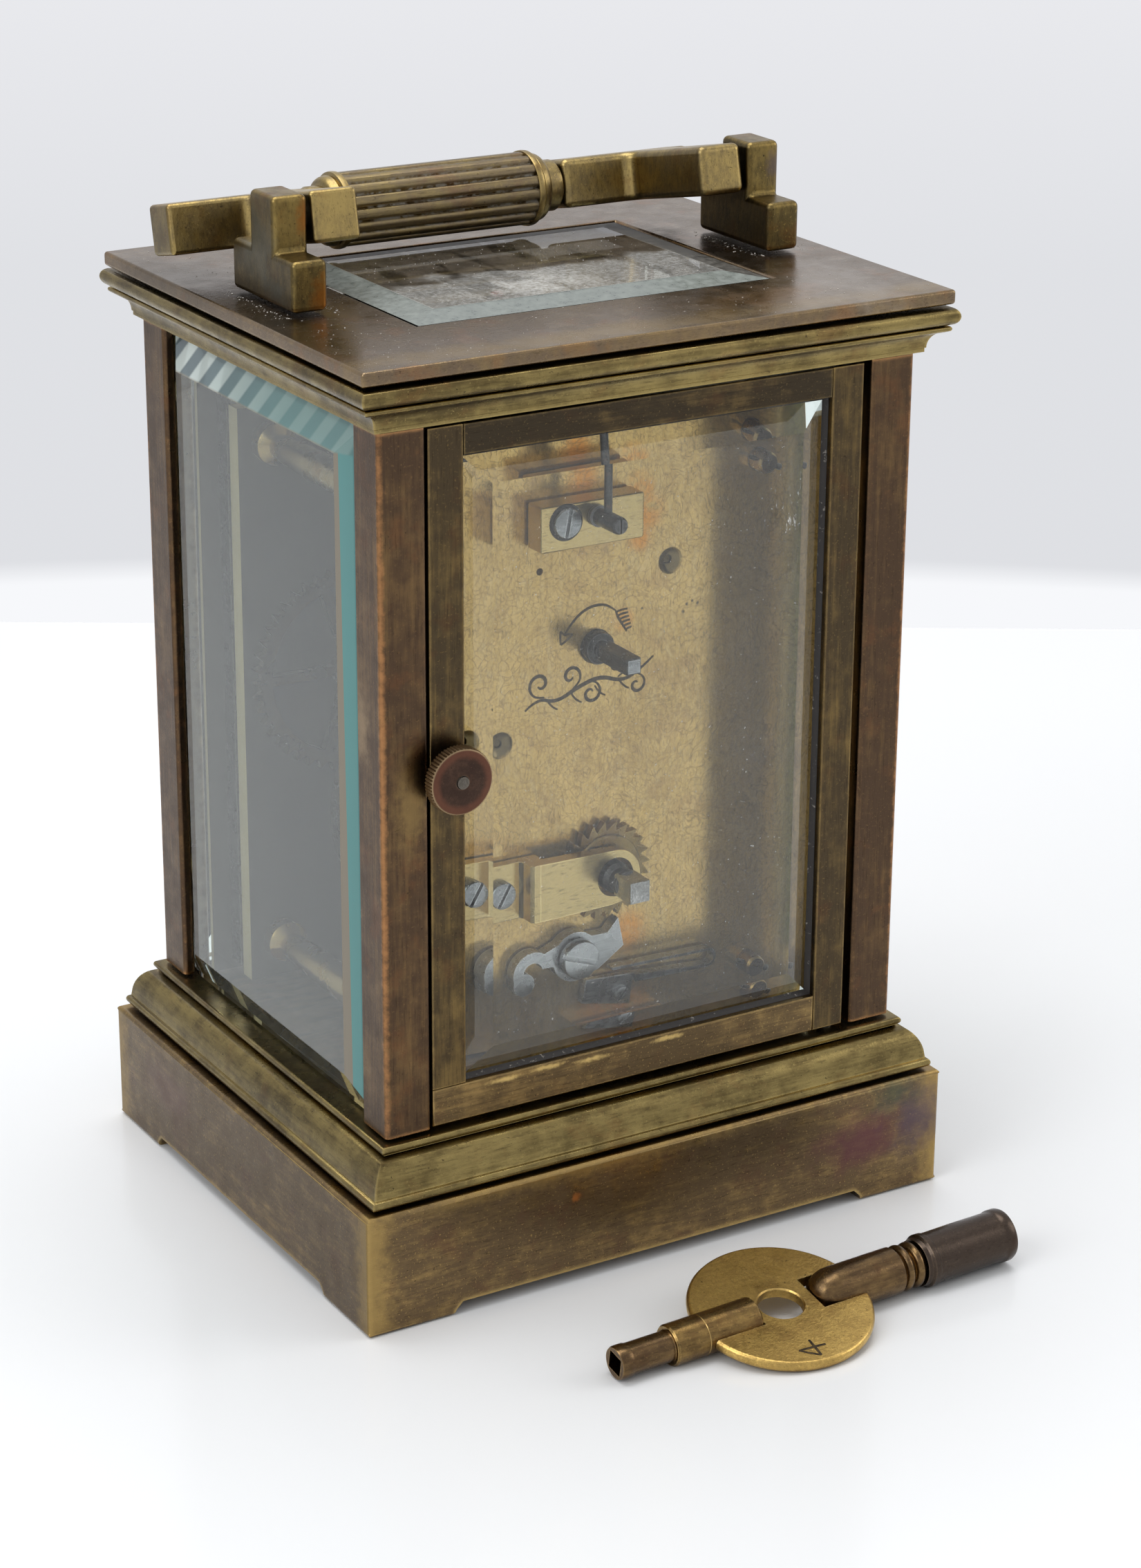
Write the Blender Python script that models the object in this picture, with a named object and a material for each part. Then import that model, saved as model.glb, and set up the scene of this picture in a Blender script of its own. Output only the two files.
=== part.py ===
"""Brass carriage clock in a corniche case, with its winding key lying behind it.

Sizes are millimetres. X runs across the clock, the dial faces -Y, the glazed door faces +Y,
and Z is up from the table. The origin is under the middle of the case.
"""

import math

import bmesh
import bpy
from mathutils import Vector

MM = 0.001
GAP = 0.3               # left between pieces that touch
PLAY = 0.1              # radial play of a pin or arbor in its hole
TAU = 2 * math.pi

# Plinth and base
PLINTH_WIDTH = 84.0
PLINTH_DEPTH = 71.9
PLINTH_HEIGHT = 16.0
PLINTH_WALL = 5.0
PLINTH_EDGE = 0.4
FOOT_LENGTH = 13.0      # length of each corner foot between the notches
NOTCH_HEIGHT = 1.7
COVER_LIFT = 0.8        # height of the base cover's underside
COVER_THICKNESS = 1.2
BASE_HEIGHT = 6.8       # moulding above the plinth
BASE_BAND_HEIGHT = 1.3
BASE_BAND_REACH = 4.1   # how far the band stands out past the pillars
BASE_FILLET_HEIGHT = 1.25
BASE_FILLET_REACH = 1.2
BASE_NECK_REACH = 0.3
BASE_DECK_THICKNESS = 2.6
BASE_RIM_WIDTH = 8.0    # solid rim under the deck's edge

# Pillars and glasses
PILLAR_SIDE = 6.2
PILLAR_SPREAD_X = 73.6  # over the outer faces
PILLAR_SPREAD_Y = 62.5
PILLAR_LENGTH = 87.4
PILLAR_EDGE = 0.35
GLASS_THICKNESS = 3.7
GLASS_RIM = 1.7
GLASS_BEVEL = 4.0
GLASS_PROUD = 0.3       # how far the flat of a side glass stands out past the pillars
GROOVE_DEPTH = 0.9

# Cornice and top
CORNICE_HEIGHT = 5.75
CORNICE_REACH = 3.85    # bead past the pillars
CORNICE_FILLET_REACH = 3.1
CORNICE_COVE_REACH = 2.4
CORNICE_FOOT_REACH = 0.8
COVE_HEIGHT = 2.6
FILLET_HEIGHT = 0.9
LEDGE_THICKNESS = 3.9   # cornice under the top glass
TOP_WIDTH = 80.5
TOP_DEPTH = 69.0
TOP_THICKNESS = 1.8
TOP_EDGE = 0.35
TOP_OPENING_X = 49.2
TOP_OPENING_Y = 36.8
TOP_GLASS_LAP = 1.9     # glass under the top plate's edge

# Rear door
DOOR_THICKNESS = 3.05
DOOR_HINGE_GAP = 1.2
DOOR_LOCK_GAP = 0.3
DOOR_END_GAP = 0.5
DOOR_STILE = 4.5
DOOR_BOTTOM_RAIL = 4.8
DOOR_TOP_RAIL = 3.7
DOOR_LIP = 1.25         # metal in front of the glass rim
DOOR_LAP = 1.2
DOOR_GLASS_BEVEL = 3.6
DOOR_GLASS_THICKNESS = 2.6
DOOR_GLASS_RIM = 1.3
DOOR_EDGE = 0.25
PIVOT_INSET = 1.6       # hinge axis from the door's edge
PIVOT_RADIUS = 0.9
PIVOT_DEPTH = 2.4       # length of pin inside the door, and past it
KNOB_RADIUS = 5.0
KNOB_THICKNESS = 1.8
KNOB_STANDOFF = 1.7
KNOB_HUB_RADIUS = 2.2
KNOB_HEIGHT = 68.8      # above the table
KNOB_REEDS = 30
KNOB_REED_DEPTH = 0.22
SPINDLE_RADIUS = 1.2
CATCH_LENGTH = 5.2
CATCH_WIDTH = 2.6
CATCH_THICKNESS = 1.2
CATCH_GAP = 0.5

# Folding handle
POST_WIDTH = 4.6
POST_FACE_X = 30.67     # inner face of each post
POST_FOOT_DEPTH = 16.1
POST_FOOT_HEIGHT = 6.4
POST_NECK_DEPTH = 6.4
POST_HEIGHT = 13.1
POST_EDGE = 0.5
HANDLE_TILT = 12.0      # degrees below level, folded to the front
PIVOT_HEIGHT = 9.6      # handle axis above the top plate
ARM_SIDE = 6.15
ARM_GAP = 0.65          # between arm and post
ARM_REACH = 16.6        # rear face of the arm to rear face of its cross bar
BAR_DEPTH = 5.6
BAR_LENGTH = 19.2
BAR_SPACE = 35.5        # between the two cross bars
GRIP_OFFSET = 3.9       # the two castings face the same way, so the grip sits off centre
ARM_EDGE = 0.45
ARM_FILLET = 1.2
HANDLE_PIN_RADIUS = 1.5
HANDLE_PIN_LENGTH = 6.0
GRIP_RADIUS = 4.6
GRIP_FLUTED = 26.9
GRIP_REEDS = 16
REED_DEPTH = 0.55
GRIP_COLLAR = 1.0
GRIP_CAP = 1.1
GRIP_NECK_RADIUS = 3.25

# Movement frame
PLATE_WIDTH = 55.0
PLATE_HEIGHT = 77.5
PLATE_THICKNESS = 2.4
PLATE_EDGE = 0.25
PLATE_SPACE = 33.8      # between the plates
BACK_FACE_Y = 17.0      # rear face of the back plate
PILLAR_INSET_X = 4.3
PILLAR_INSET_LOW = 5.4
PILLAR_INSET_HIGH = 4.6
TURNED_RADIUS = 2.7
TURNED_WAIST = 1.6
SPIGOT_RADIUS = 1.4
SPIGOT_LENGTH = 4.9
FOOT_BLOCK_WIDTH = 13.0
FOOT_BLOCK_DEPTH = 4.2
FOOT_BLOCK_HEIGHT = 2.6
FOOT_BLOCK_X = -3.5

# Train, seen from the rear: positions of the arbors
WINDING_X = -0.9
WINDING_Z = 46.4
SECOND_X = 13.5
SECOND_Z = 65.3
CENTRE_X = 0.0
CENTRE_Z = 75.8
THIRD_X = -10.6
THIRD_Z = 85.1
CONTRATE_Z = 94.0
GREAT_TEETH = 70
SECOND_PINION = 10
SECOND_TEETH = 46
CENTRE_PINION = 12
CENTRE_TEETH = 60
THIRD_PINION = 8
THIRD_TEETH = 64
CONTRATE_PINION = 8
CONTRATE_TEETH = 60
ESCAPE_PINION = 6
ESCAPE_TEETH = 15
MOST_LEAVES = 12        # more teeth than this make a wheel, with pointed teeth
CONTRATE_SHARE = 13.5   # distance from the third arbor to the contrate arbor
ARBOR_RADIUS = 1.1
TRAIN_PIVOT_RADIUS = 0.5
TRAIN_PIVOT_LENGTH = 1.8
WHEEL_THICKNESS = 1.2
GREAT_THICKNESS = 1.8
PINION_LENGTH = 2.8
WHEEL_RIM = 1.5
WHEEL_HUB = 2.6
SPOKE_WIDTH = 1.3
SPOKES = 5

# Going barrel and winding work
BARREL_RADIUS = 18.8
BARREL_LENGTH = 24.4
BARREL_REAR_Y = 11.2
WINDING_RADIUS = 2.0
WINDING_NECK_RADIUS = 1.9
WINDING_SQUARE = 2.9
WINDING_TIP_Y = 26.6
SQUARE_LENGTH = 3.2
RATCHET_TEETH = 24
RATCHET_TIP = 6.5
RATCHET_ROOT = 5.35
RATCHET_THICKNESS = 1.1
RATCHET_BOSS_RADIUS = 4.85
RATCHET_BOSS = 0.4
COCK_FACE_Y = 20.8
COCK_THICKNESS = 1.7
COCK_HEIGHT = 7.6
COCK_HUB_RADIUS = 3.6
COCK_STEP_X = 11.2      # where the arm steps down to the foot
COCK_STEP_WIDTH = 2.4
COCK_FOOT_LENGTH = 9.5
COCK_FOOT_THICKNESS = 1.1
COCK_BORE = 2.5
CLICK_X = 3.7
CLICK_Z = 35.9
CLICK_THICKNESS = 1.6
CLICK_HUB_RADIUS = 3.3
CLICK_SCREW_RADIUS = 2.55
CLICK_SCREW_HEAD = 1.3
CLICK_PIVOT_RADIUS = 1.3
BEAK_CLEARANCE = 0.15
SLOT_WIDTH = 0.6
SLOT_DEPTH = 0.5
SPRING_STRIP = 0.4
SPRING_DEPTH = 1.4
SPRING_BEND_RADIUS = 1.1
SPRING_REACH_X = -16.0
SPRING_BEND_Z = 31.5
SPRING_FOOT_THICKNESS = 1.0

# Motion work, dial and hands
SETTING_TIP_Y = 26.5
SETTING_HUB_Y = 18.2
SETTING_HUB_RADIUS = 2.1
SETTING_SQUARE = 2.1
CENTRE_ARBOR_RADIUS = 0.9
CENTRE_PIPE_RADIUS = 1.5
CANNON_TEETH = 12
MINUTE_TEETH = 36
MINUTE_PINION = 10
HOUR_TEETH = 40
MOTION_MODULE = 0.3
MOTION_SPACE = 2.6      # front plate to dial
MOTION_THICKNESS = 0.6
MINUTE_STUD_RADIUS = 0.6
MINUTE_WHEEL_ANGLE = -50.0    # degrees, from the centre arbor to the minute wheel
HOUR_PIPE_RADIUS = 1.7
DIAL_WIDTH = 54.0
DIAL_BOTTOM = 25.5
DIAL_TOP = 108.0
DIAL_THICKNESS = 0.9
DIAL_HOLE_RADIUS = 2.3
DIAL_FOOT_RADIUS = 1.5
HAND_THICKNESS = 0.35
HOUR_HAND_LENGTH = 12.0
MINUTE_HAND_LENGTH = 18.0
HAND_STEP = 0.8         # from dial to hour hand, and from hour hand to minute hand

# Platform escapement
PLATFORM_WIDTH = 32.0
PLATFORM_THICKNESS = 1.5
PLATFORM_EDGE = 0.2
ESCAPE_RADIUS = 4.2
ESCAPE_LIFT = 2.0       # escape wheel above the platform
LEVER_LIFT = 1.9
BALANCE_LIFT = 4.2
BALANCE_RADIUS = 8.0
BALANCE_RIM = 1.1
BALANCE_THICKNESS = 1.0
BALANCE_Y = -7.0
STAFF_RADIUS = 0.5
COCK_CLEARANCE = 1.4    # over the balance
PLATFORM_COCK_HEIGHT = 1.4
PLATFORM_COCK_WIDTH = 5.0
CROWN_RADIUS = 6.0
CROWN_INNER = 5.1
CROWN_HEIGHT = 1.4
CONTRATE_COCK_WIDTH = 15.1
CONTRATE_COCK_HEIGHT = 5.7
CONTRATE_COCK_DEPTH = 3.3
CONTRATE_COCK_X = 2.35
CONTRATE_COCK_Z = 92.85
STUD_X = 2.9
STUD_Z = 94.4
STUD_RADIUS = 1.1
STUD_LENGTH = 5.6
ROD_RADIUS = 0.5
ROD_TOP_Z = 104.5

# Winding key, lying on its bow and both ends
KEY_X = -2.4
KEY_Y = 58.4
KEY_ROLL = 9.8          # degrees that the bow leans towards +Y
KEY_YAW = 181.2         # degrees, direction of the big end
BOW_RADIUS = 11.5
BOW_THICKNESS = 1.46
BOW_HOLE_RADIUS = 2.85
BOW_EDGE = 0.25
BIG_SLEEVE_RADIUS = 3.0
BIG_SLEEVE_START = 4.6
BIG_SLEEVE_END = 17.0
BIG_BARREL_RADIUS = 3.4
BIG_BARREL_START = 20.9
BIG_BARREL_END = 34.0
SMALL_SLEEVE_RADIUS = 2.6
SMALL_SLEEVE_START = 4.1
SMALL_SLEEVE_END = 16.4
SMALL_BARREL_RADIUS = 2.1
SMALL_BARREL_END = 23.8
SMALL_SQUARE = 2.2
KEY_SQUARE_PLAY = 0.1
SOCKET_DEPTH = 6.0
KEY_LIFT = 0.05         # air under the key's lowest points

# Levels and faces that follow from the sizes above
BASE_BOTTOM = PLINTH_HEIGHT + GAP
DECK_Z = BASE_BOTTOM + BASE_HEIGHT
PILLAR_BOTTOM = DECK_Z + GAP
PILLAR_TOP = PILLAR_BOTTOM + PILLAR_LENGTH
CORNICE_BOTTOM = PILLAR_TOP + GAP
CORNICE_TOP = CORNICE_BOTTOM + CORNICE_HEIGHT
TOP_PLATE_BOTTOM = CORNICE_TOP + GAP
TOP_PLATE_TOP = TOP_PLATE_BOTTOM + TOP_THICKNESS
OUTER_X = PILLAR_SPREAD_X / 2
OUTER_Y = PILLAR_SPREAD_Y / 2
INNER_X = OUTER_X - PILLAR_SIDE
INNER_Y = OUTER_Y - PILLAR_SIDE
GLASS_INNER = GLASS_PROUD - GLASS_THICKNESS
DOOR_LEFT = -INNER_X + DOOR_HINGE_GAP
DOOR_RIGHT = INNER_X - DOOR_LOCK_GAP
DOOR_FRONT_Y = OUTER_Y - DOOR_THICKNESS
DOOR_BOTTOM = DECK_Z + DOOR_END_GAP
DOOR_TOP = CORNICE_BOTTOM - DOOR_END_GAP
HINGE_X = DOOR_LEFT + PIVOT_INSET
HINGE_Y = OUTER_Y - DOOR_THICKNESS / 2
KNOB_X = DOOR_RIGHT - DOOR_STILE / 2
HANDLE_Z = TOP_PLATE_TOP + PIVOT_HEIGHT
ARM_FACE_X = POST_FACE_X - ARM_GAP
PLATE_BOTTOM = DECK_Z + GAP
PLATE_TOP = PLATE_BOTTOM + PLATE_HEIGHT
BACK_FRONT_Y = BACK_FACE_Y - PLATE_THICKNESS
FRONT_REAR_Y = BACK_FRONT_Y - PLATE_SPACE
FRONT_FACE_Y = FRONT_REAR_Y - PLATE_THICKNESS
DIAL_REAR_Y = FRONT_FACE_Y - MOTION_SPACE
DIAL_FACE_Y = DIAL_REAR_Y - DIAL_THICKNESS
HOUR_HAND_Y = DIAL_FACE_Y - HAND_STEP
MINUTE_HAND_Y = HOUR_HAND_Y - HAND_STEP
PLATFORM_BOTTOM = PLATE_TOP + GAP
PLATFORM_TOP = PLATFORM_BOTTOM + PLATFORM_THICKNESS
CONTRATE_X = THIRD_X + math.sqrt(CONTRATE_SHARE**2 - (CONTRATE_Z - THIRD_Z) ** 2)

# Stations of the train between the plates
GREAT_Y = BARREL_REAR_Y - GREAT_THICKNESS
BARREL_FRONT_Y = BARREL_REAR_Y - GREAT_THICKNESS - BARREL_LENGTH
SECOND_WHEEL_Y = BARREL_FRONT_Y - 1.4 - WHEEL_THICKNESS
CENTRE_WHEEL_Y = BARREL_REAR_Y + 0.9
THIRD_WHEEL_Y = -4.0
CROWN_DISC_Y = 2.4
CROWN_TEETH_Y = CROWN_DISC_Y + WHEEL_THICKNESS + CROWN_HEIGHT
ESCAPE_Y = CROWN_TEETH_Y + 0.8
LEVER_Y = ESCAPE_Y - ESCAPE_RADIUS - 1.9

# Modules of the wheels, from the distances between their arbors
GREAT_MODULE = 2 * math.hypot(SECOND_X - WINDING_X, SECOND_Z - WINDING_Z) / (GREAT_TEETH + SECOND_PINION)
SECOND_MODULE = 2 * math.hypot(CENTRE_X - SECOND_X, CENTRE_Z - SECOND_Z) / (SECOND_TEETH + CENTRE_PINION)
CENTRE_MODULE = 2 * math.hypot(THIRD_X - CENTRE_X, THIRD_Z - CENTRE_Z) / (CENTRE_TEETH + THIRD_PINION)
THIRD_MODULE = 2 * CONTRATE_SHARE / (THIRD_TEETH + CONTRATE_PINION)
MINUTE_DISTANCE = MOTION_MODULE * (CANNON_TEETH + MINUTE_TEETH) / 2
HOUR_MODULE = 2 * MINUTE_DISTANCE / (MINUTE_PINION + HOUR_TEETH)
MINUTE_ANGLE = math.radians(MINUTE_WHEEL_ANGLE)
MINUTE_WHEEL_X = CENTRE_X + MINUTE_DISTANCE * math.cos(MINUTE_ANGLE)
MINUTE_WHEEL_Z = CENTRE_Z + MINUTE_DISTANCE * math.sin(MINUTE_ANGLE)

FINISHES = {
    "case brass": ((0.20, 0.13, 0.07), 0.42, 1.0),
    "moulding brass": ((0.42, 0.33, 0.15), 0.33, 1.0),
    "top brass": ((0.34, 0.24, 0.17), 0.45, 1.0),
    "handle brass": ((0.36, 0.29, 0.16), 0.38, 1.0),
    "movement brass": ((0.66, 0.50, 0.22), 0.30, 1.0),
    "steel": ((0.45, 0.46, 0.48), 0.28, 1.0),
    "blued steel": ((0.03, 0.04, 0.12), 0.30, 1.0),
    "enamel": ((0.88, 0.87, 0.82), 0.15, 0.0),
    "glass": ((0.78, 0.90, 0.88), 0.03, 0.0),
    "knob copper": ((0.30, 0.17, 0.14), 0.45, 1.0),
    "key brass": ((0.40, 0.29, 0.11), 0.32, 1.0),
    "key dark": ((0.14, 0.11, 0.09), 0.35, 1.0),
}


def clear_scene():
    for obj in list(bpy.data.objects):
        bpy.data.objects.remove(obj, do_unlink=True)


def finish_of(name, finish):
    """The object's own material."""
    colour, roughness, metallic = FINISHES[finish]
    material = bpy.data.materials.new(name + "_" + finish.replace(" ", "_"))
    material.use_nodes = True
    shader = material.node_tree.nodes["Principled BSDF"]
    shader.inputs["Base Color"].default_value = (*colour, 1.0)
    shader.inputs["Roughness"].default_value = roughness
    shader.inputs["Metallic"].default_value = metallic
    if finish == "glass":
        shader.inputs["Transmission Weight"].default_value = 1.0
    return material


def finish_mesh(name, bm, finish, origin=(0, 0, 0), parent=None, smooth=35.0):
    """Turns a bmesh in millimetres round `origin` into a named object in metres."""
    bmesh.ops.recalc_face_normals(bm, faces=bm.faces)
    bmesh.ops.scale(bm, vec=(MM, MM, MM), verts=bm.verts)
    mesh = bpy.data.meshes.new(name)
    bm.to_mesh(mesh)
    bm.free()
    mesh.shade_smooth()
    mesh.set_sharp_from_angle(angle=math.radians(smooth))
    obj = bpy.data.objects.new(name, mesh)
    obj.location = Vector(origin) * MM
    obj.parent = parent
    bpy.context.scene.collection.objects.link(obj)
    if finish:
        mesh.materials.append(finish_of(name, finish))
    return obj


def hide_helper(obj):
    obj.hide_render = True
    obj.display_type = "WIRE"
    return obj


def combine(obj, other, operation):
    """Boolean of a hidden helper with a piece."""
    hide_helper(other)
    modifier = obj.modifiers.new(operation.title() + " " + other.name, "BOOLEAN")
    modifier.operation = operation
    modifier.object = other
    return obj


def soften(obj, width, segments=1, angle=40.0):
    """Small chamfer or round on the sharp edges."""
    modifier = obj.modifiers.new("Edges", "BEVEL")
    modifier.width = width * MM
    modifier.segments = segments
    modifier.limit_method = "ANGLE"
    modifier.angle_limit = math.radians(angle)
    modifier.use_clamp_overlap = True
    return obj


def empty(name, origin, rotation=(0, 0, 0)):
    obj = bpy.data.objects.new(name, None)
    obj.location = Vector(origin) * MM
    obj.rotation_euler = rotation
    bpy.context.scene.collection.objects.link(obj)
    return obj


def along(axis, u, v, h):
    """A point with u and v across the axis and h along it. For Y, u is X and v is Z."""
    if axis == "Y":
        return (u, h, v)
    if axis == "X":
        return (h, u, v)
    return (u, v, h)


def loft(rings, closed=False):
    """A bmesh of rings of points joined in order, capped at both ends, or closed into a loop."""
    bm = bmesh.new()
    levels = [[bm.verts.new(point) for point in ring] for ring in rings]
    pairs = list(zip(levels, levels[1:]))
    if closed:
        pairs.append((levels[-1], levels[0]))
    for low, high in pairs:
        for i in range(len(low)):
            j = (i + 1) % len(low)
            bm.faces.new((low[i], low[j], high[j], high[i]))
    if not closed:
        bm.faces.new(levels[0])
        bm.faces.new(levels[-1])
    return bm


def flat(loops, low, high, axis="Y"):
    """A bmesh of outlines extruded from low to high along the axis. Loops inside the first are holes."""
    bm = bmesh.new()
    edges = []
    for loop in loops:
        verts = [bm.verts.new(along(axis, u, v, low)) for u, v in loop]
        edges += [bm.edges.new((a, b)) for a, b in zip(verts, verts[1:] + verts[:1])]
    filled = bmesh.ops.triangle_fill(bm, use_beauty=True, edges=edges)
    faces = [item for item in filled["geom"] if isinstance(item, bmesh.types.BMFace)]
    raised = bmesh.ops.extrude_face_region(bm, geom=faces, use_keep_orig=True)
    top = [item for item in raised["geom"] if isinstance(item, bmesh.types.BMVert)]
    bmesh.ops.translate(bm, verts=top, vec=along(axis, 0, 0, high - low))
    return bm


def box(x0, x1, y0, y1, z0, z1):
    return flat([rectangle(x0, x1, y0, y1)], z0, z1, axis="Z")


def rectangle(u0, u1, v0, v1):
    return [(u0, v0), (u1, v0), (u1, v1), (u0, v1)]


def circle(u, v, radius, count=16):
    """A loop of points round (u, v)."""
    steps = range(count)
    return [(u + radius * math.cos(TAU * i / count), v + radius * math.sin(TAU * i / count)) for i in steps]


def arc(u, v, radius, start, end, count):
    """Points along an arc, angles in degrees, both ends included."""
    angles = [math.radians(start + (end - start) * i / (count - 1)) for i in range(count)]
    return [(u + radius * math.cos(a), v + radius * math.sin(a)) for a in angles]


def square_ring(side, count=16):
    """As many points as a circle has, laid round a square."""
    points = []
    for i in range(count):
        a = TAU * i / count
        reach = side / 2 / max(abs(math.cos(a)), abs(math.sin(a)))
        points.append((reach * math.cos(a), reach * math.sin(a)))
    return points


def turned(stations, count=16, axis="Y", closed=False):
    """A turned form from (radius, height) stations."""
    rings = [[along(axis, u, v, h) for u, v in circle(0, 0, r, count)] for r, h in stations]
    return loft(rings, closed)


def gear_loop(teeth, module, phase=0.0, addendum=0.6, dedendum=1.2):
    """Outline of a wheel (pointed teeth) or pinion (flat-topped leaves), with a tooth at the angle `phase`."""
    pitch = module * teeth / 2
    root = pitch - dedendum * module
    tip = pitch + addendum * module
    corners = [(root, -0.31), (tip, -0.11), (tip, 0.11), (root, 0.31)]
    if teeth > MOST_LEAVES:
        corners = [(root, -0.31), (tip, 0), (root, 0.31)]
    points = []
    for i in range(teeth):
        for radius, share in corners:
            angle = phase + (i + share) * TAU / teeth
            points.append((radius * math.cos(angle), radius * math.sin(angle)))
    return points


def spoke_windows(hub, rim, arms=SPOKES, width=SPOKE_WIDTH):
    """Openings between the arms of a wheel."""
    windows = []
    for i in range(arms):
        start, end = TAU * i / arms, TAU * (i + 1) / arms
        outer = math.asin(width / 2 / rim)
        inner = math.asin(width / 2 / hub)
        far = arc(0, 0, rim, math.degrees(start + outer), math.degrees(end - outer), 6)
        near = arc(0, 0, hub, math.degrees(end - inner), math.degrees(start + inner), 3)
        windows.append(far + near)
    return windows


def mesh_phase(angle, teeth, phase, other_teeth):
    """Tooth phase of a wheel that meshes at `angle`, seen from the first wheel, with a space there."""
    late = (angle - phase) % (TAU / teeth)
    return angle + math.pi + math.pi / other_teeth + late * teeth / other_teeth


def moulding(half_x, half_y, profile, closed=False):
    """A mitred moulding round a rectangle, from (reach past the rectangle, height) points."""
    rings = []
    for reach, z in profile:
        x, y = half_x + reach, half_y + reach
        rings.append([(-x, -y, z), (x, -y, z), (x, y, z), (-x, y, z)])
    return loft(rings, closed)


def hollow_curve(start, end, count):
    """Points of a cove, a quarter of an ellipse from start to end, hollow on the outside."""
    (r0, z0), (r1, z1) = start, end
    points = []
    for i in range(count + 1):
        a = math.pi / 2 * i / count
        points.append((r0 + (r1 - r0) * (1 - math.cos(a)), z0 + (z1 - z0) * math.sin(a)))
    return points


# Case


def make_plinth():
    half_x, half_y = PLINTH_WIDTH / 2, PLINTH_DEPTH / 2
    profile = [
        (-PLINTH_WALL, 0),
        (-PLINTH_EDGE, 0),
        (0, PLINTH_EDGE),
        (0, PLINTH_HEIGHT - PLINTH_EDGE),
        (-PLINTH_EDGE, PLINTH_HEIGHT),
        (-PLINTH_WALL, PLINTH_HEIGHT),
    ]
    plinth = finish_mesh("plinth", moulding(half_x, half_y, profile, closed=True), "case brass")
    span_x, span_y = half_x - FOOT_LENGTH, half_y - FOOT_LENGTH
    taper = NOTCH_HEIGHT
    for name, span, depth, axis in (("x", span_x, half_y, "Y"), ("y", span_y, half_x, "X")):
        outline = [(-span - taper, -1), (span + taper, -1), (span, NOTCH_HEIGHT), (-span, NOTCH_HEIGHT)]
        cutter = flat([outline], -depth - 1, depth + 1, axis)
        combine(plinth, finish_mesh("notch_cutter_" + name, cutter, None), "DIFFERENCE")


def make_base_cover():
    x = PLINTH_WIDTH / 2 - PLINTH_WALL - GAP
    y = PLINTH_DEPTH / 2 - PLINTH_WALL - GAP
    cover = box(-x, x, -y, y, COVER_LIFT, COVER_LIFT + COVER_THICKNESS)
    finish_mesh("base_cover", cover, "case brass")


def make_base_moulding():
    rim = BASE_BAND_REACH - BASE_RIM_WIDTH
    band_top = BASE_BOTTOM + BASE_BAND_HEIGHT
    fillet = DECK_Z - BASE_FILLET_HEIGHT
    cavetto = hollow_curve((BASE_BAND_REACH - 0.5, band_top), (BASE_NECK_REACH, fillet), 5)
    profile = [(rim, DECK_Z - BASE_DECK_THICKNESS), (rim, BASE_BOTTOM)]
    profile += [(BASE_BAND_REACH - 0.3, BASE_BOTTOM), (BASE_BAND_REACH, BASE_BOTTOM + 0.3)]
    profile += [(BASE_BAND_REACH, band_top - 0.3), (BASE_BAND_REACH - 0.3, band_top)]
    profile += [(r, z) for r, z in cavetto[1:]]
    profile += [(BASE_FILLET_REACH, fillet + 0.1), (BASE_FILLET_REACH, DECK_Z - 0.2)]
    profile += [(BASE_FILLET_REACH - 0.2, DECK_Z)]
    base = finish_mesh("base_moulding", moulding(OUTER_X, OUTER_Y, profile), "moulding brass")
    pivot_hole(base, DECK_Z - PIVOT_DEPTH, DECK_Z + 1, "base_pivot_hole")


def pivot_hole(obj, low, high, name):
    """Hole for a door pivot."""
    hole = turned([(PIVOT_RADIUS + PLAY, low), (PIVOT_RADIUS + PLAY, high)], 12, "Z")
    combine(obj, finish_mesh(name, hole, None, (HINGE_X, HINGE_Y, 0)), "DIFFERENCE")


def make_pillar(name, sx, sy):
    """A square pillar whose grooves hold the side glass and, at the front, the front glass."""
    c = PILLAR_EDGE
    low = OUTER_X - PILLAR_SIDE
    groove_out = OUTER_X + GLASS_INNER + GLASS_RIM + GAP
    groove_in = OUTER_X + GLASS_INNER - GAP
    outline = [(low + c, INNER_Y), (groove_in, INNER_Y), (groove_in, INNER_Y + GROOVE_DEPTH)]
    outline += [(groove_out, INNER_Y + GROOVE_DEPTH), (groove_out, INNER_Y)]
    outline += [(OUTER_X - c, INNER_Y), (OUTER_X, INNER_Y + c)]
    outline += [(OUTER_X, OUTER_Y - c), (OUTER_X - c, OUTER_Y), (low + c, OUTER_Y), (low, OUTER_Y - c)]
    if sy < 0:
        front_out = OUTER_Y + GLASS_INNER + GLASS_RIM + GAP
        front_in = OUTER_Y + GLASS_INNER - GAP
        outline += [(low, front_out), (low + GROOVE_DEPTH, front_out)]
        outline += [(low + GROOVE_DEPTH, front_in), (low, front_in)]
    outline += [(low, INNER_Y + c)]
    loop = [(sx * x, sy * y) for x, y in outline]
    pillar = finish_mesh(name, flat([loop], PILLAR_BOTTOM, PILLAR_TOP, "Z"), "case brass")
    if sx > 0 and sy > 0:
        cut_catch_slot(pillar)


def cut_catch_slot(pillar):
    """Slot in which the door catch turns."""
    rear = DOOR_FRONT_Y - CATCH_GAP + 0.2
    front = rear - CATCH_THICKNESS - 0.4
    reach = KNOB_X + CATCH_LENGTH + 0.4
    half = CATCH_WIDTH / 2 + 0.4
    drop = math.sqrt(CATCH_LENGTH**2 - (INNER_X - KNOB_X) ** 2) + half
    slot = box(INNER_X - 1, reach, front, rear, KNOB_HEIGHT - drop, KNOB_HEIGHT + half)
    combine(pillar, finish_mesh("catch_slot", slot, None), "DIFFERENCE")


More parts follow.
